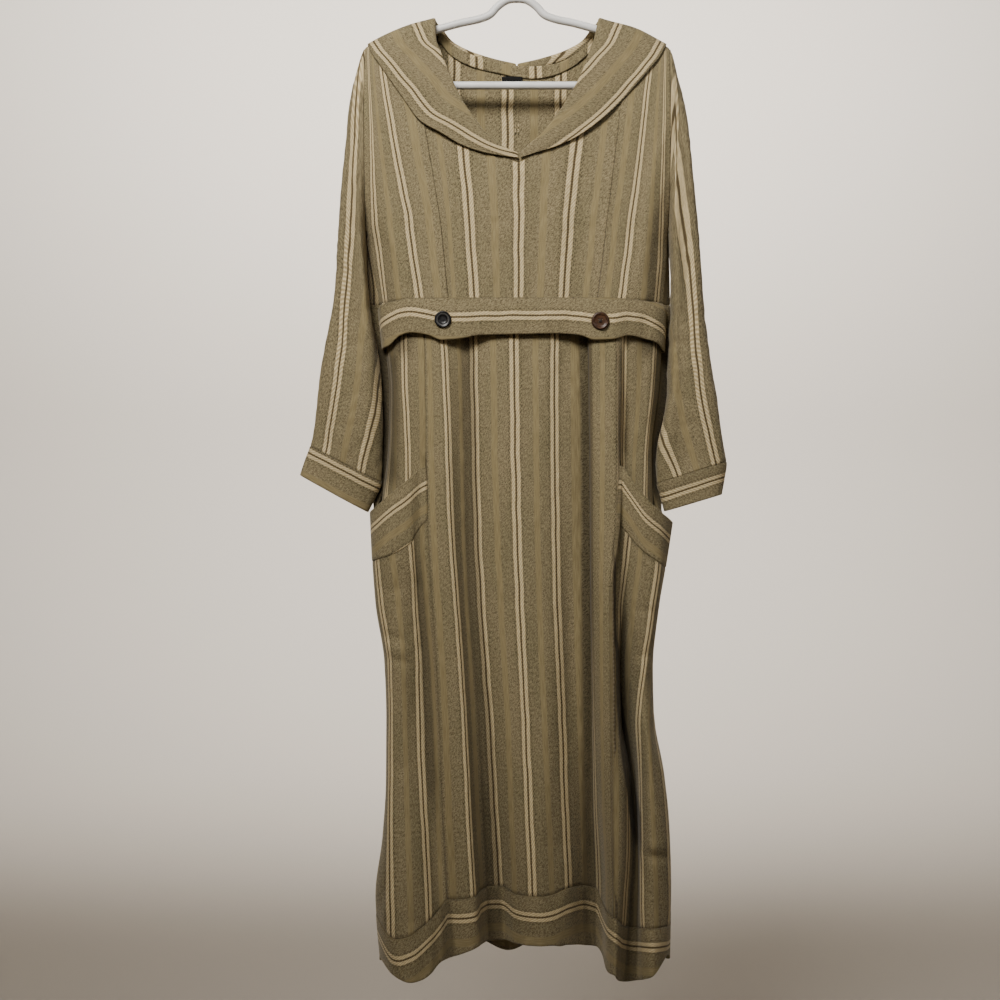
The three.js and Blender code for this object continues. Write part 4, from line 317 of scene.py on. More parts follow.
def weights(K, ks):
    """Rows of weights on the lines at K that give a smooth curve across them at ks."""
    K = np.asarray(K, float)
    n = len(K)
    one = np.eye(n)
    h = np.diff(K)
    S = np.zeros((n, n))
    S[0] = (one[1] - one[0]) / h[0]
    S[-1] = (one[-1] - one[-2]) / h[-1]
    for i in range(1, n - 1):
        a, b = h[i - 1], h[i]
        S[i] = ((one[i] - one[i - 1]) / a * b + (one[i + 1] - one[i]) / b * a) / (a + b)
    out = []
    for k in ks:
        i = int(np.clip(np.searchsorted(K, k, side="right") - 1, 0, n - 2))
        t = (k - K[i]) / h[i]
        t2, t3 = t * t, t * t * t
        out.append((2 * t3 - 3 * t2 + 1) * one[i] + (t3 - 2 * t2 + t) * h[i] * S[i] + (3 * t2 - 2 * t3) * one[i + 1] + (t3 - t2) * h[i] * S[i + 1])
    return np.array(out)


class Panel:
    """Cloth whose lines of weave are given by a table."""

    def __init__(self, table, extra=None, at_end=True):
        lines = [dict(l, X=curve(l.get("d", table["d"]), l["x"]), Y=curve(l.get("d", table["d"]), l["y"])) for l in table["lines"]]
        if extra:
            lines = lines + [extra] if at_end else [extra] + lines
        if lines[0]["k"] > lines[-1]["k"]:
            lines = lines[::-1]
        self.lines = lines
        self.K = [l["k"] for l in lines]

    def at(self, ks, D):
        D = np.broadcast_to(np.asarray(D, float), (np.shape(D)[0] if np.ndim(D) else 1, len(ks)))
        W = weights(self.K, ks)
        x = np.einsum("cl,lrc->rc", W, np.stack([l["X"](D) for l in self.lines]))
        y = np.einsum("cl,lrc->rc", W, np.stack([l["Y"](D) for l in self.lines]))
        return np.stack([x, y, -D], -1)

    def level(self, key, ks, j=None):
        v = np.array([l[key] if j is None else l[key][j] for l in self.lines], float)
        return weights(self.K, ks) @ v

    def columns(self, k0, k1, ds_, step=3.3):
        kk = np.linspace(k0, k1, 1500)
        tot = 0
        for d in ds_:
            p = self.at(kk, np.full((1, len(kk)), float(d)))[0]
            tot = np.maximum(tot, np.linalg.norm(np.diff(p, axis=0), axis=1))
        s = np.concatenate([[0], np.cumsum(tot)])
        n = max(4, int(s[-1] / step) + 1)
        return np.interp(np.linspace(0, s[-1], n), s, kk)


def steps(a, b, by):
    return np.linspace(a, b, max(2, int(abs(b - a) / by) + 1))


def smooth(a, b, x):
    t = np.clip((np.asarray(x, float) - a) / (b - a), 0, 1)
    return t * t * (3 - 2 * t)


shoulder = curve(SHOULDER["at"], SHOULDER["d"])


def ds(x):
    return shoulder(np.abs(x))


def drop_of(q):
    return np.sqrt(np.square(q) + B * B) - B


def q_of(h):
    return np.sqrt(np.maximum(0, (np.asarray(h, float) + B) ** 2 - B * B))


def depth_of(q):
    return -B * np.arcsinh(np.asarray(q, float) / B)


def form(x, q, off):
    """Point on the form over the shoulders; q runs down the cloth, front +, back -."""
    q = np.asarray(q, float)
    l = np.sqrt(q * q + B * B)
    x, q, off = np.broadcast_arrays(np.asarray(x, float), q, np.asarray(off, float))
    return np.stack([x, depth_of(q) - off * q / l, -(ds(x) + drop_of(q) - off * B / l)], -1)


# ---------------------------------------------------------------- soft folds and creases
def waves(seed, n, across, down, slant=0.5):
    """A smooth uneven field, about +-1, of folds `across` mm wide and `down` mm long."""
    r = np.random.default_rng(seed)
    kx = 2 * np.pi / (across * r.uniform(0.7, 1.7, n)) * r.choice([-1, 1], n)
    kz = 2 * np.pi / (down * r.uniform(0.6, 2.2, n)) * r.choice([-1, 1], n)
    ph = r.uniform(0, 2 * np.pi, n)
    am = r.uniform(0.5, 1.0, n)
    w = r.uniform(0.3, 1.0, n) * slant

    def f(x, z):
        out = 0
        for i in range(n):
            bend = w[i] * np.sin(z / (down * 0.9) + ph[i] * 1.7) + w[i] * np.sin(x / (across * 2.3) - ph[i])
            out = out + am[i] * np.sin(kx[i] * x + kz[i] * z + ph[i] + bend)
        return out / np.sqrt(np.sum(am**2) / 2) / 1.6

    return f


def creases(strokes):
    """Sum of soft troughs (+) and ridges (-): (x0, d0, x1, d1, half width, depth)."""
    s = np.array(strokes, float)

    def f(x, z):
        d = -z
        out = np.zeros_like(x)
        for x0, d0, x1, d1, w, deep in s:
            L2 = (x1 - x0) ** 2 + (d1 - d0) ** 2
            near = (np.abs(x - (x0 + x1) / 2) < abs(x1 - x0) / 2 + 3 * w) & (np.abs(d - (d0 + d1) / 2) < abs(d1 - d0) / 2 + 3 * w)
            if not near.any():
                continue
            t = ((x - x0) * (x1 - x0) + (d - d0) * (d1 - d0)) / L2
            tc = np.clip(t, 0, 1)
            r2 = (x - x0 - tc * (x1 - x0)) ** 2 + (d - d0 - tc * (d1 - d0)) ** 2
            out += np.where(near, deep * np.exp(-r2 / (w * w)) * (0.3 + 0.7 * np.sin(np.pi * tc)), 0)
        return out

    return f


def crinkles(seed, n, x_lo, x_hi, d_lo, d_hi, deep=0.7):
    """Small uneven creases scattered over a region."""
    r = np.random.default_rng(seed)
    out = []
    for _ in range(n):
        x, d = r.uniform(x_lo, x_hi), r.uniform(d_lo, d_hi)
        a = r.normal(0.0, 0.5) if r.random() < 0.55 else r.normal(1.35, 0.4)
        L = r.uniform(12, 42)
        out.append((x, d, x + L * math.cos(a), d + L * math.sin(a), r.uniform(3.5, 7.5), r.choice([-1, 1]) * r.uniform(0.25, 1.0) * deep))
    return out


# main creases: x and d of both ends, half width, depth (+ trough, - ridge)
FRONT_CREASES = [
    # bodice: from the collar and the armholes down to the waist
    (-186, 250, -160, 430, 9, 1.6), (-172, 262, -148, 470, 7, -1.2), (-198, 330, -176, 470, 7, 1.5),
    (-126, 330, -112, 486, 6, 0.9), (-96, 300, -84, 486, 9, 1.0), (-52, 320, -44, 486, 10, -0.9),
    (28, 340, 22, 486, 9, 0.9), (60, 310, 52, 486, 9, -0.9), (96, 320, 88, 486, 8, 1.0),
    (128, 300, 116, 486, 6, -0.9), (176, 250, 158, 440, 9, 1.4), (190, 300, 172, 470, 7, -1.2),
    (204, 350, 186, 480, 7, 1.5), (-30, 330, 40, 352, 10, 0.6), (-70, 420, -10, 436, 9, 0.5), (40, 410, 96, 398, 9, 0.5),
    (-170, 300, -130, 322, 8, 0.6), (140, 330, 186, 312, 8, 0.6), (-180, 392, -140, 405, 7, 0.7), (150, 402, 192, 392, 7, 0.7),
    # skirt: gathers under the band
    (-118, 520, -120, 640, 5, 1.2), (-92, 520, -90, 600, 6, 1.1), (-45, 520, -47, 620, 8, 1.0), (10, 520, 12, 610, 8, 0.8),
    (38, 520, 40, 640, 7, -0.9), (64, 520, 66, 640, 7, 1.0), (122, 520, 124, 600, 5, 1.0),
    # side front, right: the deep fold beside the middle panel
    (148, 560, 146, 660, 5, 4.0), (146, 640, 145, 735, 6, 9.0), (176, 520, 172, 640, 8, 2.0),
    (-178, 540, -172, 700, 8, 4.0), (-160, 520, -158, 620, 7, 1.2), (198, 560, 190, 700, 7, 2.5),
    # middle of the skirt, long soft falls
    (-86, 700, -66, 1120, 9, 1.4), (-20, 760, 0, 1180, 12, 1.6), (34, 820, 44, 1220, 10, -1.2), (66, 760, 74, 1080, 9, 1.3),
    (-112, 900, -96, 1250, 7, 1.4), (118, 900, 120, 1220, 7, 1.6), (96, 960, 100, 1300, 6, -1.0),
    (-58, 1040, -12, 1062, 12, 0.7), (6, 1120, 62, 1106, 12, 0.7), (-70, 1210, -20, 1224, 11, 0.7), (20, 1236, 84, 1250, 11, 0.8),
    (-40, 860, 12, 846, 12, 0.5), (24, 930, 84, 944, 12, 0.6), (-96, 986, -60, 1000, 9, 0.7),
    # left pocket and below it
    (-194, 958, -150, 966, 6, 2.2), (-188, 988, -142, 1000, 6, 2.0), (-182, 974, -156, 982, 5, -1.3), (-150, 880, -122, 900, 8, 0.9),
    (-168, 1020, -158, 1240, 9, 1.8), (-140, 1060, -128, 1300, 8, -1.3), (-178, 1292, -193, 1352, 5, 3.2), (-168, 1296, -184, 1350, 5, -2.4),
    (-152, 1330, -122, 1340, 7, 1.2), (-186, 900, -150, 892, 6, 1.2), (-176, 1130, -140, 1142, 9, 1.0), (-166, 1210, -130, 1200, 9, 0.9),
    # right pocket and below it
    (160, 922, 196, 930, 5, 2.0), (158, 990, 188, 984, 5, 2.2), (164, 955, 190, 962, 5, -1.3),
    (172, 1070, 186, 1130, 5, -2.4), (178, 1078, 205, 1236, 5, 2.2), (170, 1120, 192, 1246, 6, 1.6),
    (163, 1252, 210, 1262, 5, 4.0), (165, 1238, 206, 1243, 6, -2.0), (150, 1290, 170, 1392, 6, 1.8), (186, 1290, 200, 1352, 6, 1.8),
    (150, 1180, 176, 1196, 7, 1.0), (188, 1150, 208, 1162, 6, 1.2),
    # hem band
    (-60, 1344, -54, 1376, 6, 1.6), (92, 1320, 108, 1392, 5, 1.6), (-150, 1362, -146, 1404, 6, 1.3), (-20, 1330, -12, 1370, 9, 0.9),
    (44, 1330, 48, 1372, 8, -0.9), (150, 1360, 154, 1420, 7, 1.4), (-106, 1340, -98, 1392, 7, -1.1),
]
BACK_CREASES = [
    (-150, 240, -120, 470, 10, 1.8), (-96, 260, -84, 480, 9, -1.3), (-40, 280, -36, 480, 11, 1.3), (12, 300, 10, 486, 11, -1.1),
    (58, 270, 50, 480, 10, 1.3), (110, 250, 94, 480, 9, -1.4), (158, 240, 132, 460, 10, 1.8), (-190, 330, -168, 470, 8, 1.6), (196, 330, 178, 470, 8, 1.6),
    (-60, 330, 30, 344, 12, 0.7), (20, 420, 110, 408, 12, 0.7), (-130, 400, -60, 416, 11, 0.7), (-24, 240, 60, 232, 12, 0.6),
    (-120, 520, -112, 760, 8, 2.0), (-70, 520, -66, 700, 8, -1.5), (-20, 520, -16, 780, 9, 1.6), (36, 520, 34, 720, 8, -1.4),
    (84, 520, 86, 740, 8, 1.8), (134, 520, 132, 760, 8, -1.6), (-150, 700, -140, 1060, 9, 1.8), (150, 760, 152, 1120, 9, 1.8),
    (-96, 860, -86, 1240, 8, -1.6), (-40, 900, -30, 1280, 9, 1.8), (20, 820, 30, 1180, 9, -1.6), (66, 900, 78, 1300, 8, 1.8), (112, 860, 122, 1260, 8, -1.5),
    (-176, 958, -120, 968, 7, 1.6), (-170, 996, -110, 1010, 7, 1.2), (124, 930, 186, 920, 7, 1.5), (130, 986, 180, 994, 7, 1.3),
    (-90, 1090, -20, 1106, 12, 0.9), (10, 1140, 90, 1128, 12, 0.9), (-150, 1230, -80, 1246, 10, 1.1), (70, 1250, 160, 1262, 9, 1.4), (-30, 1290, 40, 1282, 11, 0.9),
    (-120, 1330, -114, 1400, 7, 1.4), (-48, 1330, -40, 1410, 7, -1.2), (48, 1340, 54, 1410, 8, 1.3), (136, 1340, 142, 1410, 7, -1.3),
]
front_soft = creases(FRONT_CREASES + crinkles(11, 150, -215, 215, 240, 1430, 0.75))
back_soft = creases(BACK_CREASES + crinkles(12, 150, -215, 215, 200, 1430, 0.85))
fold_f = waves(3, 7, 46, 420)
fold_b = waves(5, 7, 52, 420)
rough_f = waves(8, 9, 17, 34, 1.2)
rough_b = waves(9, 9, 17, 34, 1.2)


def relax(Pt, sign, amp=1.0):
    """Moves a grid's points by the cloth's soft folds: front panels along -Y, back ones along +Y."""
    x, y, z = Pt[..., 0], Pt[..., 1], Pt[..., 2]
    d = -z
    side = smooth(0, 16, np.abs(y - SEAM_Y))
    top = smooth(150, 300, d)
    big = (0.5 + 0.9 * smooth(520, 1350, d)) * top
    if sign < 0:
        out = fold_f(x, z) * big + rough_f(x, z) * 0.34 * top - 1.5 * front_soft(x, z) * smooth(150, 260, d)
    else:
        out = fold_b(x, z) * big + rough_b(x, z) * 0.34 * top - 1.5 * back_soft(x, z) * smooth(150, 260, d)
    Pt = Pt.copy()
    Pt[..., 1] += sign * out * side * amp
    return Pt


# ---------------------------------------------------------------- shells from grids of points
def unit(v):
    return v / np.maximum(np.linalg.norm(v, axis=-1, keepdims=True), 1e-9)


def normals(Pt, ring=False):
    if ring:
        u = np.roll(Pt, -1, 1) - np.roll(Pt, 1, 1)
    else:
        u = np.empty_like(Pt)
        u[:, 1:-1] = Pt[:, 2:] - Pt[:, :-2]
        u[:, 0] = Pt[:, 1] - Pt[:, 0]
        u[:, -1] = Pt[:, -1] - Pt[:, -2]
    v = np.empty_like(Pt)
    v[1:-1] = Pt[2:] - Pt[:-2]
    v[0] = Pt[1] - Pt[0]
    v[-1] = Pt[-1] - Pt[-2]
    return unit(np.cross(v, u))


def finish_edge(G, kind, edge):
    """G is {"P", "A"}: points and their values. Adds rows or columns along one edge:
    "seam" sinks the edge and turns it inside; "fold" rounds a folded edge."""
    Pt, A = G["P"], G["A"]
    if edge in "br":
        flip = (slice(None, None, -1),) if edge == "b" else (slice(None), slice(None, None, -1))
        G2 = finish_edge({"P": Pt[flip], "A": A[flip], "out": -1 if G.get("out", 1) > 0 else 1}, kind, "t" if edge == "b" else "l")
        return {"P": G2["P"][flip], "A": G2["A"][flip], "out": G.get("out", 1)}
    if edge == "l":
        G2 = finish_edge({"P": Pt.transpose(1, 0, 2), "A": A.transpose(1, 0, 2), "out": -G.get("out", 1)}, kind, "t")
        return {"P": G2["P"].transpose(1, 0, 2), "A": G2["A"].transpose(1, 0, 2), "out": G.get("out", 1)}
    N = normals(Pt) * G.get("out", 1)
    T = Pt[1] - Pt[0]
    step = np.linalg.norm(T, axis=-1, keepdims=True)
    T = unit(T)
    n0 = N[0]
    a0, a1 = A[0], A[1]
    mix = lambda w: a0 + (a1 - a0) * w
    if kind == "seam":
        near = np.minimum(1.3, step * 0.45)
        rows = [
            Pt[0] + T * 0.9 - n0 * 4.6,
            Pt[0] + T * 0.25 - n0 * 2.2,
            Pt[0] + T * 0.12 - n0 * 0.75,
            Pt[0] + T * near - n0 * 0.12,
        ]
        vals = [a0, a0, a0, a0 + (a1 - a0) * (near / step)]
    else:
        near = np.minimum(1.6, step * 0.5)
        rows = [Pt[0] + T * 0.1, Pt[0] + T * near]
        vals = [a0, a0 + (a1 - a0) * (near / step)]
    return {"P": np.concatenate([np.stack(rows), Pt[1:]]), "A": np.concatenate([np.stack([np.broadcast_to(v, a0.shape) for v in vals]), A[1:]]), "out": G.get("out", 1)}


def shell(name, G, mat, nodes, t=1.1, ring=False, out=1):
    """A closed shell about the grid G["P"], with the cloth coordinates G["A"] on its points."""
    Pt, A = G["P"], G["A"]
    N = normals(Pt, ring) * out
    R, C = Pt.shape[:2]
    t = np.broadcast_to(np.asarray(t, float), (R, C))[..., None]
    outer = Pt + N * t / 2
    inner = Pt - N * t / 2
    verts = [outer.reshape(-1, 3), inner.reshape(-1, 3)]
    vals = [A.reshape(-1, 3), A.reshape(-1, 3)]
    n = R * C
    r = np.arange(R - 1)[:, None]
    last = C if ring else C - 1
    c = np.arange(last)[None, :]
    c1 = (c + 1) % C
    a, b_, c_, d_ = r * C + c, (r + 1) * C + c, (r + 1) * C + c1, r * C + c1
    faces = [np.stack([a, b_, c_, d_], -1).reshape(-1, 4), n + np.stack([a, d_, c_, b_], -1).reshape(-1, 4)]

    def rim(idx, T, flip, closed):
        """Rounds one edge over from the outer to the inner face."""
        nonlocal n_next
        T = unit(T)
        w = t.reshape(-1, 1)[idx]
        mid = Pt.reshape(-1, 3)[idx] + T * w * 0.42
        verts.append(mid)
        vals.append(A.reshape(-1, 3)[idx])
        m = n_next + np.arange(len(idx))
        n_next += len(idx)
        i = np.arange(len(idx) if closed else len(idx) - 1)
        j = (i + 1) % len(idx)
        q1 = np.stack([idx[i], idx[j], m[j], m[i]], -1)
        q2 = np.stack([m[i], m[j], n + idx[j], n + idx[i]], -1)
        for q in (q1, q2):
            faces.append(q[:, ::-1] if flip else q)

    n_next = 2 * n
    grid = np.arange(n).reshape(R, C)
    rim(grid[0], Pt[0] - Pt[1], False, ring)
    rim(grid[-1], Pt[-1] - Pt[-2], True, ring)
    if not ring:
        rim(grid[:, 0], Pt[:, 0] - Pt[:, 1], True, False)
        rim(grid[:, -1], Pt[:, -1] - Pt[:, -2], False, False)
    V = np.concatenate(verts) / 1000.0
    F = np.concatenate(faces)
    if out < 0:
        F = F[:, ::-1]
    ob = build(name, V, F, mat, np.concatenate(vals))
    corners(ob)
    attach(ob, "root")
    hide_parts(*nodes)
    return ob


def build(name, V, F, mat, vals=None):
    me = bpy.data.meshes.new(name)
    me.from_pydata([], [], [])
    me.vertices.add(len(V))
    me.vertices.foreach_set("co", np.asarray(V, np.float32).ravel())
    F = np.asarray(F)
    k = F.shape[1]
    me.loops.add(F.size)
    me.loops.foreach_set("vertex_index", F.ravel().astype(np.int32))
    me.polygons.add(len(F))
    me.polygons.foreach_set("loop_start", np.arange(0, F.size, k, dtype=np.int32))
    me.update(calc_edges=True)
    me.validate()
    if vals is not None:
        at = me.attributes.new("cloth", "FLOAT_VECTOR", "POINT")
        at.data.foreach_set("vector", np.asarray(vals, np.float32).ravel())
    me.shade_smooth()
    me.materials.append(mat)
    ob = bpy.data.objects.new(name, me)
    bpy.context.scene.collection.objects.link(ob)
    return ob


def corners(ob):
    """Fills the four small gaps where rounded edges meet."""
    import bmesh

    bm = bmesh.new()
    bm.from_mesh(ob.data)
    open_edges = [e for e in bm.edges if e.is_boundary]
    if open_edges:
        bmesh.ops.holes_fill(bm, edges=open_edges, sides=8)
    bmesh.ops.recalc_face_normals(bm, faces=bm.faces)
    for f in bm.faces:
        f.smooth = True
    bm.to_mesh(ob.data)
    bm.free()


SHEETS = []


def cloth(name, G, nodes, t=1.1, ring=False, out=1, mat=None, slot="striped_cloth"):
    Pt = G["P"]
    if slot == "striped_cloth":
        # less light comes to the low cloth and to the collar, which slopes away
        A = np.array(G["A"])
        A[..., 2] = A[..., 2] + 0.2 * smooth(1060, 1330, -Pt[..., 2]) + (0.16 if name.startswith("collar") else 0.0)
        G = dict(G, A=A)
    ob = shell(name + "_cloth", G, mat or CLOTH, nodes, t=t, ring=ring, out=out)
    Q = np.concatenate([Pt, Pt[:, :1]], 1) if ring else Pt
    w = np.linalg.norm(np.diff(Q, axis=1), axis=-1).sum(1).max() / 1000
    l = np.linalg.norm(np.diff(Pt, axis=0), axis=-1).sum(0).max() / 1000
    e1, e2 = Q[:-1, 1:] - Q[:-1, :-1], Q[1:, :-1] - Q[:-1, :-1]
    area = np.linalg.norm(np.cross(e1, e2), axis=-1).sum() / 1e6
    w, l = math.ceil(w * 200) / 200, math.ceil(l * 200) / 200
    area = round(float(np.clip(area, 0.31 * w * l, w * l)), 4)
    SHEETS.append((name, w, l, area))
    return ob


# ---------------------------------------------------------------- materials
class Nodes:
    def __init__(self, name):
        self.mat = bpy.data.materials.new(name)
        self.mat.use_nodes = True
        self.t = self.mat.node_tree
        self.bsdf = next(n for n in self.t.nodes if n.type == "BSDF_PRINCIPLED")

    def link(self, a, b):
        self.t.links.new(a, b)

    def math(self, op, a, b=None, c=None, clamp=False):
        n = self.t.nodes.new("ShaderNodeMath")
        n.operation = op
        n.use_clamp = clamp
        for i, v in enumerate((a, b, c)):
            if v is None:
                continue
            if isinstance(v, (int, float)):
                n.inputs[i].default_value = v
            else:
                self.link(v, n.inputs[i])
        return n.outputs[0]

    def band(self, x, a, b, soft=0.5):
        """1 where a < x < b, with soft edges."""
        lo = self.math("SUBTRACT", x, a)
        lo = self.math("DIVIDE", lo, soft, clamp=True)
        hi = self.math("SUBTRACT", b, x)
        hi = self.math("DIVIDE", hi, soft, clamp=True)
        return self.math("MULTIPLY", lo, hi)

    def combine(self, x, y, z=0.0):
        n = self.t.nodes.new("ShaderNodeCombineXYZ")
        for i, v in enumerate((x, y, z)):
            if isinstance(v, (int, float)):
                n.inputs[i].default_value = v
            else:
                self.link(v, n.inputs[i])
        return n.outputs[0]

    def noise(self, vec, scale, detail=2.0, rough=0.5, dist=0.0):
        n = self.t.nodes.new("ShaderNodeTexNoise")
        n.inputs["Scale"].default_value = scale
        n.inputs["Detail"].default_value = detail
        n.inputs["Roughness"].default_value = rough
        n.inputs["Distortion"].default_value = dist
        self.link(vec, n.inputs["Vector"])
        return n.outputs[0]

    def mix(self, f, a, b, mode="MIX"):
        n = self.t.nodes.new("ShaderNodeMix")
        n.data_type = "RGBA"
        n.blend_type = mode
        if isinstance(f, (int, float)):
            n.inputs[0].default_value = f
        else:
            self.link(f, n.inputs[0])
        for i, v in ((6, a), (7, b)):
            if isinstance(v, tuple):
                n.inputs[i].default_value = (*v, 1.0)
            else:
                self.link(v, n.inputs[i])
        return n.outputs[2]

    def remap(self, x, a, b, c=0.0, d=1.0):
        n = self.t.nodes.new("ShaderNodeMapRange")
        self.link(x, n.inputs[0])
        for i, v in enumerate((a, b, c, d)):
            n.inputs[i + 1].default_value = v
        return n.outputs[0]

    def bump(self, h, strength, dist, under=None):
        n = self.t.nodes.new("ShaderNodeBump")
        n.inputs["Strength"].default_value = strength
        n.inputs["Distance"].default_value = dist
        self.link(h, n.inputs["Height"])
        if under is not None:
            self.link(under, n.inputs["Normal"])
        return n.outputs[0]

    def attribute(self, name):
        n = self.t.nodes.new("ShaderNodeAttribute")
        n.attribute_name = name
        s = self.t.nodes.new("ShaderNodeSeparateXYZ")
        self.link(n.outputs["Vector"], s.inputs[0])
        return s.outputs[0], s.outputs[1], s.outputs[2]


def lin(r, g, b):
    """Linear colour of an sRGB one given in 0..255."""
    return tuple(((c / 255 + 0.055) / 1.055) ** 2.4 if c > 10 else c / 255 / 12.92 for c in (r, g, b))


def striped_cloth():
    """Woven taupe cloth: double cream stripes, dashed dark yarns, plain tan bands."""
    m = Nodes("striped_cloth")
    u0, v, w = m.attribute("cloth")
    wob = m.noise(m.combine(m.math("MULTIPLY", u0, 0.012), m.math("MULTIPLY", v, 0.022)), 1.0, 1.0)
    u = m.math("ADD", u0, m.math("MULTIPLY", m.math("SUBTRACT", wob, 0.5), 3.0))
    rep = m.math("DIVIDE", u, P_MM)
    fr = m.math("SUBTRACT", rep, m.math("FLOOR", m.math("ADD", rep, 0.5)))
    s = m.math("MULTIPLY", fr, P_MM)  # signed mm from the middle of the double stripe
    a = m.math("ABSOLUTE", s)
    # heather of the ground: small slanted flecks of two sizes and a slow cloud
    fleck = m.noise(m.combine(m.math("ADD", m.math("MULTIPLY", u, 0.5), m.math("MULTIPLY", v, 0.2)), m.math("MULTIPLY", v, 0.26)), 1.0, 2.0, 0.62)
    fleck2 = m.noise(m.combine(m.math("SUBTRACT", m.math("MULTIPLY", u, 1.3), m.math("MULTIPLY", v, 0.35)), m.math("MULTIPLY", v, 0.75)), 1.0, 1.0, 0.6)
    cloud = m.noise(m.combine(m.math("MULTIPLY", u, 0.02), m.math("MULTIPLY", v, 0.008)), 1.0, 2.0, 0.55)
    f = m.remap(fleck, 0.4, 0.6)
    f2 = m.remap(fleck2, 0.4, 0.62)
    ground = m.mix(f, C_DARKFLECK, C_GROUND)
    ground = m.mix(m.math("MULTIPLY", f2, 0.5), ground, C_LIGHTFLECK)
    ground = m.mix(m.math("MULTIPLY", m.remap(cloud, 0.35, 0.65), 0.35), ground, m.mix(f, C_DARKFLECK2, C_OLIVE))
    # tan band: plain, with faint yarns along it
    yarn = m.noise(m.combine(m.math("MULTIPLY", u, 0.9), m.math("MULTIPLY", v, 0.05)), 1.0, 1.0, 0.6)
    tan = m.mix(m.remap(yarn, 0.3, 0.7), C_TAN_D, C_TAN)
    tan = m.mix(m.math("MULTIPLY", f2, 0.16), tan, C_DARKFLECK)
    tan_m = m.band(a, 26.6, 40.0, 1.3)
    col = m.mix(tan_m, ground, tan)
    # dashed dark yarns either side of the cream, in two columns that alternate
    lane1 = m.band(a, 7.6, 9.0, 0.4)
    lane2 = m.band(a, 9.4, 11.0, 0.4)
    jig = m.noise(m.combine(m.math("MULTIPLY", v, 0.06), rep), 1.0, 1.0)
    ph = m.math("ADD", m.math("DIVIDE", v, 5.6), m.math("MULTIPLY", jig, 1.3))
    d1 = m.band(m.math("FRACT", ph), 0.12, 0.62, 0.12)
    d2 = m.band(m.math("FRACT", m.math("ADD", ph, 0.5)), 0.12, 0.62, 0.12)
    dash = m.math("ADD", m.math("MULTIPLY", lane1, d1), m.math("MULTIPLY", m.math("MULTIPLY", lane2, d2), 0.8), clamp=True)
    col = m.mix(m.math("MULTIPLY", dash, 0.82), col, C_DARK)
    # cream stripes: slubby slanted strands
    cream_m = m.band(a, 1.3, 7.3, 0.6)
    rope = m.math("SINE", m.math("ADD", m.math("MULTIPLY", v, 1.12), m.math("MULTIPLY", s, 1.9)))
    rope = m.remap(rope, -0.55, 0.75)
    slub = m.noise(m.combine(m.math("MULTIPLY", s, 0.75), m.math("MULTIPLY", v, 0.16), rep), 1.0, 2.0, 0.6)
    cr = m.mix(m.math("ADD", m.math("MULTIPLY", rope, 0.62), m.math("MULTIPLY", m.remap(slub, 0.35, 0.65), 0.38)), C_CREAM_D, C_CREAM)
    col = m.mix(cream_m, col, cr)
    # the dark line between them, with its small stitches
    mid = m.band(a, -1.0, 1.4, 0.5)
    dots = m.band(m.math("FRACT", m.math("DIVIDE", v, 3.5)), 0.1, 0.62, 0.15)
    line = m.mix(m.math("MULTIPLY", dots, 0.85), C_LINE, C_DARK)
    col = m.mix(mid, col, line)
    # painted shade: the third value of "cloth" darkens the cloth at seams, folded edges, tucks, valleys, recesses, the
    # deep fold, the low cloth and the collar
    col = m.mix(m.math("MULTIPLY", w, 0.55, clamp=True), col, C_PAINTED_SHADE)
    m.link(col, m.bsdf.inputs["Base Color"])
    rough = m.remap(fleck, 0.2, 0.8, 0.93, 0.8)
    m.link(rough, m.bsdf.inputs["Roughness"])
    m.bsdf.inputs["Sheen Weight"].default_value = 0.16
    m.bsdf.inputs["Sheen Roughness"].default_value = 0.45
    m.bsdf.inputs["Sheen Tint"].default_value = (0.9, 0.84, 0.72, 1.0)
    m.bsdf.inputs["Specular IOR Level"].default_value = 0.25
    # relief: yarns, the raised cream strands, and the dashes
    fine = m.math("MULTIPLY", m.math("SINE", m.math("MULTIPLY", u, 5.2)), m.math("SINE", m.math("MULTIPLY", v, 4.4)))
    h = m.math("ADD", m.math("MULTIPLY", fleck, 0.55), m.math("MULTIPLY", fine, 0.07))
    h = m.math("ADD", h, m.math("MULTIPLY", cream_m, m.math("ADD", 0.55, m.math("MULTIPLY", rope, 0.35))))
    h = m.math("SUBTRACT", h, m.math("MULTIPLY", dash, 0.25))
    h = m.math("ADD", h, m.math("MULTIPLY", fleck2, 0.25))
    m.link(m.bump(h, 0.55, 0.0006), m.bsdf.inputs["Normal"])
    return m.mat


# colours are set so that the lit cloth matches; flecks either side of the ground
C_GROUND = lin(128, 116, 86)
C_DARKFLECK = lin(73, 62, 42)
C_DARKFLECK2 = lin(76, 71, 48)
C_LIGHTFLECK = lin(182, 167, 131)
C_OLIVE = lin(121, 115, 81)
C_TAN = lin(151, 137, 100)
C_TAN_D = lin(129, 115, 81)
C_CREAM = lin(224, 206, 164)
C_CREAM_D = lin(160, 139, 98)
C_DARK = lin(46, 37, 23)
C_LINE = lin(98, 83, 56)
# dark colour of the painted shade
C_PAINTED_SHADE = lin(36, 29, 19)


def label_cloth():
    m = Nodes("label_cloth")
    g = m.t.nodes.new("ShaderNodeTexCoord").outputs["Object"]
    n1 = m.noise(g, 2600.0, 2.0)
    wv = m.t.nodes.new("ShaderNodeTexWave")
    wv.inputs["Scale"].default_value = 900.0
    wv.inputs["Distortion"].default_value = 1.5
    m.link(g, wv.inputs["Vector"])
    m.link(m.mix(n1, (0.006, 0.006, 0.006), (0.018, 0.017, 0.016)), m.bsdf.inputs["Base Color"])
    m.link(m.remap(n1, 0.3, 0.7, 0.85, 0.95), m.bsdf.inputs["Roughness"])
    m.bsdf.inputs["Specular IOR Level"].default_value = 0.15
    m.link(m.bump(wv.outputs[1], 0.4, 0.0002), m.bsdf.inputs["Normal"])
    return m.mat


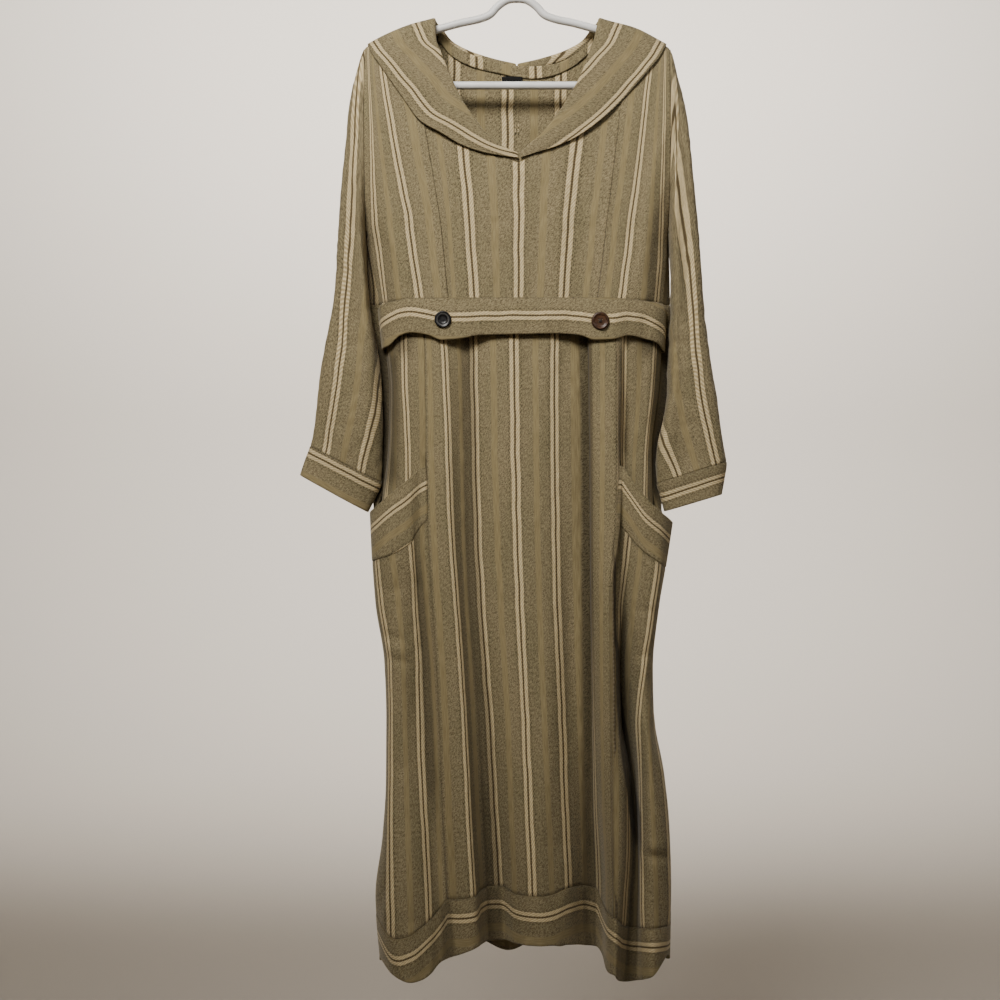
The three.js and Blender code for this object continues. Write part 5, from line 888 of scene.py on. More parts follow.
def hanger_plastic():
    m = Nodes("hanger_plastic")
    g = m.t.nodes.new("ShaderNodeTexCoord").outputs["Object"]
    n1 = m.noise(g, 45.0, 4.0, 0.6)
    n2 = m.noise(g, 900.0, 3.0, 0.7)
    m.link(m.mix(m.remap(n1, 0.35, 0.7), (0.80, 0.79, 0.765), (0.88, 0.875, 0.86)), m.bsdf.inputs["Base Color"])
    m.link(m.remap(n1, 0.3, 0.7, 0.3, 0.46), m.bsdf.inputs["Roughness"])
    m.bsdf.inputs["Specular IOR Level"].default_value = 0.5
    m.link(m.bump(n2, 0.12, 0.0002), m.bsdf.inputs["Normal"])
    return m.mat


def button_mat(name, dark, light, ring, cx, cd, r, ring_r, spread):
    """Moulded button: colour by distance from its middle, with clouding and fine turning marks."""
    m = Nodes(name)
    pos = m.t.nodes.new("ShaderNodeTexCoord").outputs["Object"]
    s = m.t.nodes.new("ShaderNodeSeparateXYZ")
    m.link(pos, s.inputs[0])
    dx = m.math("SUBTRACT", s.outputs[0], cx / 1000)
    dz = m.math("SUBTRACT", s.outputs[2], -cd / 1000)
    rad = m.math("MULTIPLY", m.math("SQRT", m.math("ADD", m.math("MULTIPLY", dx, dx), m.math("MULTIPLY", dz, dz))), 1000.0)
    n1 = m.noise(pos, 160.0, 4.0, 0.65, 1.2)
    n2 = m.noise(pos, 700.0, 2.0, 0.6)
    base = m.mix(m.remap(n1, 0.36, 0.66), dark, light)
    band = m.band(rad, ring_r[0] * r, ring_r[1] * r, 0.5)
    base = m.mix(m.math("MULTIPLY", band, spread), base, ring)
    rim = m.band(rad, 0.86 * r, 2.0 * r, 0.6)
    base = m.mix(m.math("MULTIPLY", rim, 0.7), base, dark)
    m.link(base, m.bsdf.inputs["Base Color"])
    m.link(m.remap(n1, 0.3, 0.7, 0.26, 0.42), m.bsdf.inputs["Roughness"])
    turn = m.math("SINE", m.math("MULTIPLY", rad, 9.0))
    h = m.math("ADD", m.math("MULTIPLY", turn, 0.12), m.math("MULTIPLY", n2, 0.5))
    m.link(m.bump(h, 0.25, 0.0002), m.bsdf.inputs["Normal"])
    m.bsdf.inputs["Specular IOR Level"].default_value = 0.35
    m.bsdf.inputs["Coat Weight"].default_value = 0.08
    m.bsdf.inputs["Coat Roughness"].default_value = 0.2
    return m.mat


def thread_mat():
    m = Nodes("button_thread")
    g = m.t.nodes.new("ShaderNodeTexCoord").outputs["Object"]
    n1 = m.noise(g, 2500.0, 2.0)
    m.link(m.mix(n1, (0.015, 0.01, 0.008), (0.05, 0.035, 0.025)), m.bsdf.inputs["Base Color"])
    m.link(m.remap(n1, 0.3, 0.7, 0.75, 0.95), m.bsdf.inputs["Roughness"])
    m.link(m.bump(n1, 0.5, 0.0002), m.bsdf.inputs["Normal"])
    return m.mat


def studio_mat():
    m = Nodes("backdrop_paper")
    g = m.t.nodes.new("ShaderNodeTexCoord").outputs["Object"]
    n1 = m.noise(g, 0.7, 3.0, 0.5)
    m.link(m.mix(n1, (0.465, 0.425, 0.374), (0.495, 0.453, 0.400)), m.bsdf.inputs["Base Color"])
    m.bsdf.inputs["Roughness"].default_value = 0.95
    m.bsdf.inputs["Specular IOR Level"].default_value = 0.1
    return m.mat


CLOTH = striped_cloth()
LABEL_MAT = label_cloth()
PLASTIC = hanger_plastic()


def vals(u, v, w=0.0):
    u, v, w = np.broadcast_arrays(np.asarray(u, float), np.asarray(v, float), np.asarray(w, float))
    return np.stack([u, v, w], -1).copy()


def drawn(u, by):
    """Coordinate across the stripes where the weave is drawn in at the double stripes."""
    return u + by * np.sin(2 * np.pi * u / P_MM)


def arc(Pt, axis):
    s = np.linalg.norm(np.diff(Pt, axis=axis), axis=-1)
    z = np.zeros_like(Pt[..., 0])
    if axis == 0:
        z[1:] = np.cumsum(s, 0)
    else:
        z[:, 1:] = np.cumsum(s, 1)
    return z


def edges(G, spec):
    """spec such as "t:seam l:seam b:fold"."""
    for part in spec.split():
        e, kind = part.split(":")
        G = finish_edge(G, kind, e)
    return G


def shade_edge(A, Pt, sides, reach=2.2, most=0.8):
    """Value w rises to `most` within `reach` mm of the named edges."""
    for e in sides:
        if e in "tb":
            s = arc(Pt, 0)
            dist = s if e == "t" else s[-1:] - s
        else:
            s = arc(Pt, 1)
            dist = s if e == "l" else s[:, -1:] - s
        A[..., 2] = np.maximum(A[..., 2], most * (1 - smooth(0, reach, dist)))
    return A


# ---------------------------------------------------------------- bodice
TOP_Q = [0.0, 1.4, 3, 5, 7.5, 10.5, 14, 18, 23, 28, 34]


def bodice_columns(x_of, y_of, n, neck):
    """Grid of points from the shoulder fold or the neck edge down to the waist."""
    cols = []
    for c in range(n):
        d = 150.0
        for _ in range(60):
            x = float(x_of(c, d))
            want = float(ds(x)) if abs(x) >= 122 else max(float(neck(x)), float(ds(x)))
            d += (want - d) * 0.5
        free = abs(float(x_of(c, d))) < 122
        col = []
        for q in TOP_Q:
            dd = d + float(drop_of(q)) + q * 0.12 if free else float(ds(x_of(c, d)) + drop_of(q))
            x = float(x_of(c, dd))
            if not free:
                dd = float(ds(x) + drop_of(q))
            h = dd - float(ds(x)) if free else float(drop_of(q))
            col.append((x, float(y_of(c, dd, x, h)), dd))
        start = col[-1][2]
        for w in np.linspace(0, 1, 72)[1:]:
            dd = start + (WAIST - start) * w
            x = float(x_of(c, dd))
            col.append((x, float(y_of(c, dd, x, dd - float(ds(x)))), dd))
        cols.append(col)
    g = np.array(cols).transpose(1, 0, 2)
    g[..., 2] *= -1
    return g


def front_bodice():
    L = Panel(BODICE_FRONT)
    neck = curve(NECK_FRONT["at"], np.array(NECK_FRONT["d"]) + 1.5)
    parts = []
    for a, b in ((-4.35, -2.3), (-1.9, 1.9), (2.3, 4.35)):
        ks = list(L.columns(a, b, [190, 300, 420], 3.6))
        if a == -1.9:
            ks = sorted(ks + [-1.3, -1.285, -1.27, 1.13, 1.17, 1.2, 1.22])
        parts.append(ks)
    # one column list; a tuck is (side, place along its fold)
    cols = [("k", k) for k in parts[0]]
    fold = np.array([0.14, 0.3, 0.44, 0.56, 0.7, 0.86])
    cols += [("f", -1, t) for t in fold]
    cols += [("k", k) for k in parts[1]]
    cols += [("f", 1, 1 - t) for t in fold]
    cols += [("k", k) for k in parts[2]]
    K = [c[1] if c[0] == "k" else None for c in cols]
    Xs = {}
    Wk = {i: weights(L.K, [k])[0] for i, k in enumerate(K) if k is not None}
    for s, kf, ku in ((-1, -2.3, -1.9), (1, 2.3, 1.9)):
        Wk[("f", s)] = weights(L.K, [kf])[0]
        Wk[("u", s)] = weights(L.K, [ku])[0]

    def xl(w, d):
        return float(sum(w[i] * l["X"](d) for i, l in enumerate(L.lines) if w[i]))

    def yl(w, d):
        return float(sum(w[i] * l["Y"](d) for i, l in enumerate(L.lines) if w[i]))

    def tuck(s, t, d):
        """A point across a tuck: its fold stands over the cloth beside it, with a groove between."""
        xf, yf = xl(Wk[("f", s)], d), yl(Wk[("f", s)], d)
        xu, yu = xl(Wk[("u", s)], d), yl(Wk[("u", s)], d)
        ramp = float(smooth(232, 262, d))
        groove = 1.5 * math.exp(-(((t - 0.52) / 0.2) ** 2))
        return xf + (xu - xf) * t, yf + (yu - yf) * float(smooth(0.1, 0.5, t)) + groove * ramp

    n = len(cols)

    def x_of(c, d):
        d = float(d)
        if cols[c][0] == "f":
            return tuck(cols[c][1], cols[c][2], d)[0]
        x = xl(Wk[c], d)
        if c in (0, n - 1):
            s = -1 if c == 0 else 1
            w = min(1.0, max(0.0, (d - 388) / 10))
            return s * (ARM_X - 0.1) * (1 - w) + x * w
        return x

    def y_of(c, d, x, h):
        edge = c in (0, n - 1)
        if edge and d > 397:
            return SEAM_Y - 0.1
        f = float(depth_of(q_of(h)))
        w = min(1.0, max(0.0, (h - 25) / 60))
        base = tuck(cols[c][1], cols[c][2], float(d))[1] if cols[c][0] == "f" else yl(Wk[c], d)
        y = f * (1 - w) + max(base, f) * w
        return min(y, SEAM_Y - 0.1) if edge else y

    Pt = bodice_columns(x_of, y_of, n, neck)
    ku = np.array([k if k is not None else cols[i][1] * (2.3 - 0.4 * cols[i][2]) for i, k in enumerate(K)])
    Pt = relax(Pt, -1)
    A = vals(ku[None, :] * P_MM, -Pt[..., 2])
    A = shade_edge(A, Pt, "b")
    # beside and inside the tucks plain cloth shows: the stripe there is folded away
    S = arc(Pt, 1)
    for s in (-1, 1):
        near = [i for i, k in enumerate(K) if k is not None and 1.66 < s * k < 1.91]
        for i in near:
            A[:, i, 0] = s * P_MM * (1.66 + (s * K[i] - 1.66) * 0.5)
        f = [i for i, c in enumerate(cols) if c[0] == "f" and c[1] == s]
        i0, i1 = f[0] - 1, f[-1] + 1
        over, under = (i0, i1) if s < 0 else (i1, i0)
        for i in f:
            to, tu = np.abs(S[:, i] - S[:, over]), np.abs(S[:, i] - S[:, under])
            first = cols[i][2] < 0.5
            A[:, i, 0] = s * 2.3 * P_MM - s * np.minimum(to, 3) if first else A[:, under, 0] - s * np.minimum(tu, 3)
            # painted shade in the groove of each tuck
            A[:, i, 2] = 1.75 * math.exp(-(((cols[i][2] - 0.5) / 0.24) ** 2)) * smooth(225, 245, -Pt[:, i, 2])
    G = edges({"P": Pt, "A": A}, "l:seam r:seam b:seam t:fold")
    return cloth("front_bodice", G, ["front_bodice"], t=1.0)


def behind_sleeve(rows, s):
    """Outermost line of the back's fullness: just behind the sleeve's under line."""
    f = curve([r["under"][1] for r in rows], [r["under"][0] for r in rows])
    full = curve(FULL["d"], FULL["left" if s < 0 else "right"])

    def X(d):
        w = smooth(380, 394, d) * (1 - smooth(766, 792, d))
        return full(d) * (1 - w) + (f(d) + s * 2.0) * w

    return X


REACH = {-1: behind_sleeve(SLEEVE_L, -1), 1: behind_sleeve(SLEEVE_R, 1)}
full_depth = curve(FULL["d"], FULL["y"])


def REACH_Y(d):
    return full_depth(d) + 5.0 * smooth(397, 420, d) * (1 - smooth(760, 800, d))


BACK_X = [213, 205, 192, 170, 146, 124, 117, 95, 68, 36, 0, -36, -68, -95, -117, -124, -146, -170, -192, -205, -213]
back_ratio = curve([-5, 0, 60, 113, 173, 213, 248, 262, 300], [1, 1, 1, 0.97, 0.78, 0.53, 0.18, 0.05, 0.05])
back_left = curve([380, 397, WAIST], [-212.9, -210.5, -192.5])
back_right = curve([380, 397, WAIST], [212.9, 210.5, 207.1])


def back_bodice():
    xs = np.concatenate([np.linspace(213, 124, 28), [122.3, 121.5, 119], np.linspace(116, -116, 66), [-119, -121.5, -122.3], np.linspace(-124, -213, 28)])
    n = len(xs)
    coming = curve([0, 0.008, 0.04, 0.098, 0.2, 0.32, 1.0], [1, 0.96, 0.55, 0.22, 0.07, 0, 0])
    neck = curve(NECK_BACK["at"], NECK_BACK["d"])

    # the fullness beside the side seams swells out below the armholes
    swell = curve([0, 3, 8, 14, 21, 213], [0, 0.42, 1, 0.5, 0, 0])
    full_l, full_r, full_y = REACH[-1], REACH[1], REACH_Y

    def full(x, d):
        return float(swell(ARM_X - abs(x))) * min(1.0, max(0.0, (d - 390) / 4)) if abs(x) > 190 else 0.0

    def x_of(c, d):
        t = xs[c] / ARM_X
        a = ARM_X - 0.1 if d < 385 else float(back_right(d))
        b = -(ARM_X - 0.1) if d < 385 else float(back_left(d))
        x = t * a if t > 0 else -t * b
        w = full(xs[c], d)
        return x * (1 - w) + float((full_r if t > 0 else full_l)(d)) * w if w else x

    def y_of(c, d, x, h):
        f = -float(depth_of(q_of(h)))
        e = float(coming(1 - abs(xs[c]) / ARM_X))
        far = SEAM_Y if d > 397 else max(f * float(back_ratio(h)), 0.0 if h < 1 else SEAM_Y)
        y = max(f * (1 - e) + far * e, 0.05 if h < 1 else SEAM_Y * e)
        w = full(xs[c], d)
        return y * (1 - w) + float(full_y(d)) * w

    Pt = bodice_columns(x_of, y_of, n, neck)
    Pt = relax(Pt, 1)
    x, d = Pt[..., 0], -Pt[..., 2]
    pitch = 76 - 13 * smooth(260, 495, d)
    A = vals((x + 13.3) / pitch * P_MM, d)
    A = shade_edge(A, Pt, "b")
    # painted shade on the back's fullness beside the side seams, below the armholes
    A[..., 2] = np.maximum(A[..., 2], 0.45 * smooth(400, 440, d) * (1 - smooth(8, 22, 213 - np.abs(xs)))[None, :])
    G = edges({"P": Pt, "A": A}, "l:seam r:seam b:seam t:fold")
    return cloth("back_bodice", G, ["back_bodice"], t=1.0)


def neck_inside():
    neck = curve(NECK_BACK["at"], NECK_BACK["d"])
    x = np.linspace(112, -112, 76)
    v = np.linspace(0, 1, 8)[:, None]
    d = neck(x)[None, :] - 0.6 + v * (15.5 + 1.2 * np.sin(x[None, :] / 17))
    Pt = form(np.broadcast_to(x, d.shape), -q_of(d - ds(x)[None, :]), -2.4)
    Pt[..., 1] += 0.5 * np.sin(x / 9)[None, :] * v
    A = vals((x[None, :] + 57.5) / 84 * P_MM, d)
    A = shade_edge(A, Pt, "b", 1.6, 0.7)
    G = edges({"P": Pt, "A": A}, "b:fold")
    cloth("back_neck_facing", G, ["back_neck_facing"], t=1.0)
    lx = np.linspace(LABEL["x"][1], LABEL["x"][0], 13)
    v = np.linspace(0, 1, 7)[:, None]
    d = LABEL["d"][0] + 0.5 + v * (LABEL["d"][1] - LABEL["d"][0] + 0.5 + 0.6 * np.sin(lx / 5)[None, :])
    xx = np.broadcast_to(lx, d.shape) + 1.2 * (v - 0.5)
    Pt = form(xx, -q_of(d - ds(xx)), -4.1)
    Pt[..., 1] -= 1.4 * v**2 + 0.5 * np.sin(lx / 4.0)[None, :] * v
    cloth("label", {"P": Pt, "A": vals(xx, d)}, ["label"], t=0.6, mat=LABEL_MAT, slot="label_cloth")


# ---------------------------------------------------------------- collar
def collar(name, rows, s):
    idx = list(range(len(rows)))
    f = lambda key, j: curve(idx, [r[key][j] for r in rows])
    nx, nq, ox, oq = f("neck", 0), f("neck", 1), f("outer", 0), f("outer", 1)
    st = np.concatenate([np.linspace(0, 8, 84), np.linspace(8, 10, 40)[1:], np.linspace(10, 15, 56)[1:]])
    W = np.concatenate([np.linspace(0, 1, 40)])
    t, w = np.meshgrid(st, W)
    x = nx(t) + (ox(t) - nx(t)) * w
    q = nq(t) + (oq(t) - nq(t)) * w
    # the cloth lies a little looser in the middle of its width and at its outer edge
    lift = 3.2 + 1.6 * np.sin(np.pi * w) ** 2 * smooth(0, 3, t) * (1 - 0.4 * smooth(9, 12, t))
    lift = lift + 1.5 * smooth(0.8, 1, w) * (0.4 + 0.6 * np.sin(t * 1.9 + 0.6 * s)) * smooth(1.5, 3, t) * (1 - smooth(7.2, 8.4, t))
    lift = lift + 0.5 * np.sin(x / 13 + q / 17 + s) * np.sin(np.pi * w) * smooth(1, 3, t)
    Pt = form(x, q, lift)
    dist = np.linalg.norm(np.diff(Pt, axis=0), axis=-1)
    far = np.concatenate([np.cumsum(dist[::-1], 0)[::-1], np.zeros((1, Pt.shape[1]))])  # to the outer edge
    along = arc(form(ox(st), oq(st), OVER)[None], 1)
    if s < 0:
        c0 = curve([0, 1, 2, 3.5, 5, 7, 8.4, 9, 11, 15], [4, 8, 13, 18.5, 18.5, 14, 9.5, 9, 9, 9])
    else:
        c0 = curve([0, 1, 2, 3, 4, 6, 9, 11, 15], [-12, -9, -4, 3, 6, 8, 9, 9, 9])
    A = vals(drawn(far - c0(t), 2.0), np.broadcast_to(along, far.shape))
    A = shade_edge(A, Pt, "b", 1.2, 0.3)
    # rolled neck edge: the cloth turns over and goes down inside
    roll = []
    tang = unit(Pt[0] - Pt[1])
    nrm = unit(np.cross(Pt[1] - Pt[0], np.gradient(Pt[0], axis=0)))
    up = form(nx(st), nq(st), OVER + 1) - form(nx(st), nq(st), OVER)
    nrm = nrm * np.sign((nrm * up).sum(-1, keepdims=True))
    r = 2.3
    for a in (150, 120, 90, 60, 30):
        g = math.radians(180 - a)
        roll.append(Pt[0] + tang * r * math.sin(g) - nrm * (r - r * math.cos(g)))
    roll = [Pt[0] - nrm * 2 * r - tang * 9, Pt[0] - nrm * 2 * r - tang * 5, Pt[0] - nrm * 2 * r - tang * 1.5] + roll[::-1]
    R = np.stack(roll)
    RA = np.broadcast_to(A[0], (len(roll), *A[0].shape)).copy()
    step = np.array([14, 10, 7, 6, 4.8, 3.6, 2.4, 1.2])[:, None]
    RA[..., 0] += step
    Pt, A = np.concatenate([R, Pt]), np.concatenate([RA, A])
    if s > 0:
        Pt, A = Pt[:, ::-1], A[:, ::-1]
    N = normals(Pt)
    m = Pt.shape[1] // 2
    out = 1 if (N[30, m] * np.array([0, Pt[30, m, 1], 1.0])).sum() > 0 else -1
    G = edges({"P": Pt, "A": A, "out": out}, "b:fold l:fold r:seam" if s < 0 else "b:fold l:seam r:fold")
    return cloth(name, G, [name], t=1.5, out=out)


# ---------------------------------------------------------------- skirt
centre = Panel(SKIRT_CENTRE)


def seam_line(k, i):
    """A seam of the middle panel as the first or last line of its neighbour."""
    l = centre.lines[i]
    return dict(line="seam", k=k, X=l["X"], Y=l["Y"], low=LOW, band=l["band"], hem=l["hem"], mouth=(float(l["X"](MOUTH)), float(l["Y"](MOUTH)), MOUTH))


pocket_l = Panel(POCKET_FRONT_L, seam_line(-0.01, 0), True)
pocket_r = Panel(POCKET_FRONT_R, seam_line(-0.12, -1), False)


DEEP = dict(
    d=[815, 829, 952, 988, 1041, 1121, 1174, 1210, 1255, 1290],
    a=[129, 129.5, 130.5, 133.5, 134, 140, 149, 153, 164, 172],
    b=[129, 133.7, 134.8, 142, 146, 158, 165, 169, 169, 172],
)
deep_a, deep_b = curve(DEEP["d"], DEEP["a"]), curve(DEEP["d"], DEEP["b"])


def deep_shade(Pt, most=1.6):
    """Shade that gathers in the deep fold at the right of the middle panel."""
    x, d = Pt[..., 0], -Pt[..., 2]
    a, b = deep_a(d), deep_b(d)
    soft = 2.2
    inside = np.clip((x - a) / soft + 0.6, 0, 1) * np.clip((b - x) / soft + 0.6, 0, 1)
    return most * inside * smooth(812, 850, d) * (1 - smooth(1230, 1290, d))


def hollow_shade(Pt, sign, most=1.0, reach=30.0):
    """Shade in the valleys: how far the cloth lies behind the cloth on both sides of it."""
    s = arc(Pt, 1)
    y = Pt[..., 1]
    out = np.zeros_like(y)
    for r in range(len(y)):
        left, right = np.interp(s[r] - reach, s[r], y[r]), np.interp(s[r] + reach, s[r], y[r])
        out[r] = np.minimum(y[r] - left, y[r] - right) if sign < 0 else np.minimum(left - y[r], right - y[r])
    return most * smooth(0.5, 9.0, out)


def centre_panel():
    ks = centre.columns(-2.65, 2.97, [560, 800, 1050, 1300], 3.4)
    D = np.concatenate([np.broadcast_to(steps(WAIST, 1290, 6.0)[:, None], (len(steps(WAIST, 1290, 6.0)), len(ks)))])
    band = centre.level("band", ks)
    v = np.linspace(0, 1, D.shape[0])[:, None]
    D = WAIST + (band[None, :] - WAIST) * v
    Pt = relax(centre.at(ks, D), -1)
    A = vals(ks[None, :] * P_MM, D)
    A = shade_edge(A, Pt, "lr", 1.8, 0.6)
    A = shade_edge(A, Pt, "b", 2.0, 0.7)
    # painted shade in the fold near the right, less lower down, and along the panel's right edge; the valleys get
    # painted shade too
    k = ks[None, :]
    fold = np.maximum(np.exp(-(((k - 1.93) / 0.1) ** 2)), smooth(1.84, 1.9, k) * (1 - smooth(2.1, 2.16, k)))
    extra = 1.5 * fold * (1 - 0.7 * smooth(900, 1200, D)) + 1.3 * smooth(2.85, 2.9, k) * np.ones_like(D)
    A[..., 2] = np.maximum(A[..., 2], np.maximum(extra, hollow_shade(Pt, -1, 0.95)))
    A[..., 2] = np.maximum(A[..., 2], deep_shade(Pt))
    G = edges({"P": Pt, "A": A}, "l:seam r:seam b:seam")
    cloth("skirt_front_centre", G, ["skirt_front_centre"], t=1.0)


def pocket(panel, a, b, s, phase, side):
    """Lower side front: band along the pocket mouth, and the cloth below it."""
    ks = panel.columns(a, b, [850, 1000, 1200, 1400], 3.3)
    low, band = panel.level("low", ks), panel.level("band", ks)
    m = np.stack([panel.level("mouth", ks, j) for j in range(3)], -1)
    top = np.stack([m[:, 0], m[:, 1], -m[:, 2]], -1)
    lo = panel.at(ks, low[None, :])[0]
    v = np.linspace(0, 1, 24)[:, None, None]
    Pt = top[None] * (1 - v) + lo[None] * v
    # a small roll at the mouth, which stands open
    Pt[..., 1] -= 1.6 * np.sin(np.pi * v[..., 0]) + 1.0 * (1 - v[..., 0]) ** 3
    Pt = relax(Pt, -1, 0.8)
    down = arc(Pt, 0)
    along = arc(Pt, 1)
    A = vals(drawn(down - 25.5, 1.9), along)
    A = shade_edge(A, Pt, "b", 2.0, 0.8)
    A = shade_edge(A, Pt, "t", 1.2, 0.3)
    A = shade_edge(A, Pt, "r" if s < 0 else "l", 2.0, 0.7)
    G = edges({"P": Pt, "A": A}, "l:seam r:seam b:seam t:fold")
    cloth(f"pocket_band_{side}", G, [f"pocket_band_{side}"], t=1.9)
    n = int((1350 - 850) / 5.5)
    v = np.linspace(0, 1, n)[:, None]
    D = low[None, :] + (band - low)[None, :] * v
    Pt = relax(panel.at(ks, D), -1)
    A = vals((ks[None, :] + phase) * P_MM, D)
    A = shade_edge(A, Pt, "r" if s < 0 else "l", 2.0, 0.8)
    A = shade_edge(A, Pt, "tb", 1.8, 0.7)
    A[..., 2] = np.maximum(A[..., 2], np.maximum(hollow_shade(Pt, -1, 0.9), deep_shade(Pt) if s > 0 else 0))
    G = edges({"P": Pt, "A": A}, "l:seam r:seam t:seam b:seam")
    cloth(f"pocket_front_{side}", G, [f"pocket_front_{side}"], t=1.0)


def hem_front():
    parts = []
    for panel, a, b in ((pocket_l, -2.5, -0.01), (centre, -2.65, 2.97), (pocket_r, -0.12, 2.75)):
        ks = panel.columns(a, b, [1330, 1400], 3.4)
        band, hem = panel.level("band", ks), panel.level("hem", ks)
        v = np.linspace(0, 1, 22)[:, None]
        D = band[None, :] + (hem - band)[None, :] * v
        parts.append(panel.at(ks, D)[:, (1 if parts else 0):])
    Pt = relax(np.concatenate(parts, 1), -1)
    # the doubled band is fuller than the cloth above it
    v = np.linspace(0, 1, 22)[:, None]
    x = Pt[..., 0]
    Pt[..., 1] -= (1.3 * np.sin(np.pi * np.clip(v * 1.1, 0, 1)) + 0.8 * np.sin(x / 21) * v) * smooth(0, 18, np.abs(Pt[..., 1] - SEAM_Y))
    down, along = arc(Pt, 0), arc(Pt, 1)
    # the double stripe is stepped where the band's two folds lie
    c0 = 26 + 1.5 * np.sin(x / 33)
    A = vals(drawn(down - c0, 1.6), along[:1] * np.ones_like(down))
    A = shade_edge(A, Pt, "t", 2.2, 0.85)
    A[..., 2] = np.maximum(A[..., 2], hollow_shade(Pt, -1, 0.8))
    A = shade_edge(A, Pt, "b", 1.4, 0.4)
    G = edges({"P": Pt, "A": A}, "l:seam r:seam t:seam b:fold")
    cloth("hem_band_front", G, ["hem_band_front"], t=1.9)


def side_panel(table, s, phase, name):
    seam = centre.lines[0 if s < 0 else -1]
    kx = -0.04 if s < 0 else -0.14
    near = table["lines"][-1 if s < 0 else 0]
    Xn, Yn = curve(table["d"], near["x"]), curve(table["d"], near["y"])

    def X(d):
        w = smooth(712, 728, d)
        far = smooth(752, 772, d)
        return seam["X"](d) + s * (1.2 * w + 2 * far)

    def Y(d):
        w = smooth(706, 728, d)
        return seam["Y"](d) * (1 - w) + np.maximum(seam["Y"](d) + 6, Yn(d) - 2) * w

    panel = Panel(table, dict(line="seam", k=kx, X=X, Y=Y), s < 0)
    a, b = (-2.0, kx) if s < 0 else (kx, 2.0)
    ks = panel.columns(a, b, [560, 700, 850], 3.3)
    rows = steps(WAIST, 946 if s < 0 else 902, 5.5)
    D = np.broadcast_to(rows[:, None], (len(rows), len(ks)))
    Pt = relax(panel.at(ks, D), -1)
    # under the pocket's band the cloth keeps back from it; painted shade beside the side seam above the pocket's band,
    # and just under the waist band
    A = vals((ks[None, :] + phase) * P_MM, D)
    A = shade_edge(A, Pt, "r" if s < 0 else "l", 2.2, 0.8)
    x = Pt[..., 0]
    gone = smooth(545, 580, D) * (1 - smooth(735, 775, D))
    recess = (1 - smooth(-173, -158, x)) if s < 0 else smooth(184, 197, x) * (0.55 + 0.45 * smooth(640, 700, D))
    under = (1 - smooth(555, 590, D)) * np.exp(-(((x - (-161 if s < 0 else 183)) / 16) ** 2))
    A[..., 2] = np.maximum(A[..., 2], np.maximum(1.15 * recess * gone, 1.2 * under))
    G = edges({"P": Pt, "A": A}, "l:seam r:seam")
    cloth(name, G, [name], t=1.0)


def skirt_back():
    panel = Panel(SKIRT_BACK)  # k runs from the left seam to the right one
    side_l, side_r = curve(SIDE_SEAM["d"], SIDE_SEAM["left"]), curve(SIDE_SEAM["d"], SIDE_SEAM["right"])
    one = lambda v: (lambda d: np.full_like(np.asarray(d, float), v))
    for l in panel.lines:
        if l["line"].startswith("fullness"):
            l["X"], l["Y"] = REACH[-1 if l["line"].endswith("left") else 1], REACH_Y
    panel.lines = [dict(line="seam_l", k=-0.05, X=side_l, Y=one(SEAM_Y))] + panel.lines + [dict(line="seam_r", k=7.75, X=side_r, Y=one(SEAM_Y))]
    panel.K = [l["k"] for l in panel.lines]
    ks = panel.columns(-0.05, 7.75, [560, 900, 1200, 1400], 3.6)[::-1]
    x0 = panel.at(ks, np.full((1, len(ks)), 1350.0))[0, :, 0]
    sag = 6 * np.cos(x0 / 215 * np.pi * 2.4) + 2 * np.sin(x0 / 31)
    top = 1352 + sag
    n = int((1352 - WAIST) / 6.2)
    v = np.linspace(0, 1, n)[:, None]
    D = WAIST + (top[None, :] - WAIST) * v
    Pt = panel.at(ks, D)
    Pt[:, [0, -1], 1] = SEAM_Y + 0.1
    Pt = relax(Pt, 1)
    A = vals((0.25 + 1.06 * ks[None, :]) * P_MM, D)
    A = shade_edge(A, Pt, "tb", 2.0, 0.7)
    # painted shade along both side seams, darkest from below the waist band down to the pocket's band
    deep = smooth(520, 570, D) * (1 - smooth(760, 800, D))
    A[..., 2] = np.maximum(A[..., 2], (0.3 + 1.1 * deep) * (1 - smooth(0.2, 0.5, np.minimum(ks + 0.05, 7.75 - ks)))[None, :])
    G = edges({"P": Pt, "A": A}, "l:seam r:seam b:seam")
    cloth("skirt_back", G, ["skirt_back"], t=1.0)
    v = np.linspace(0, 1, 20)[:, None]
    D = top[None, :] + BAND_H * v
    Pt = panel.at(ks, D)
    Pt[:, [0, -1], 1] = SEAM_Y + 0.1
    Pt = relax(Pt, 1)
    Pt[..., 1] += (1.3 * np.sin(np.pi * np.clip(v * 1.1, 0, 1)) + 0.8 * np.sin(Pt[..., 0] / 19) * v) * smooth(0, 18, np.abs(Pt[..., 1] - SEAM_Y))
    A = vals(arc(Pt, 0) - 26, arc(Pt, 1))
    A = shade_edge(A, Pt, "t", 2.2, 0.85)
    A = shade_edge(A, Pt, "b", 1.4, 0.4)
    G = edges({"P": Pt, "A": A}, "l:seam r:seam t:seam b:fold")
    cloth("hem_band_back", G, ["hem_band_back"], t=1.9)


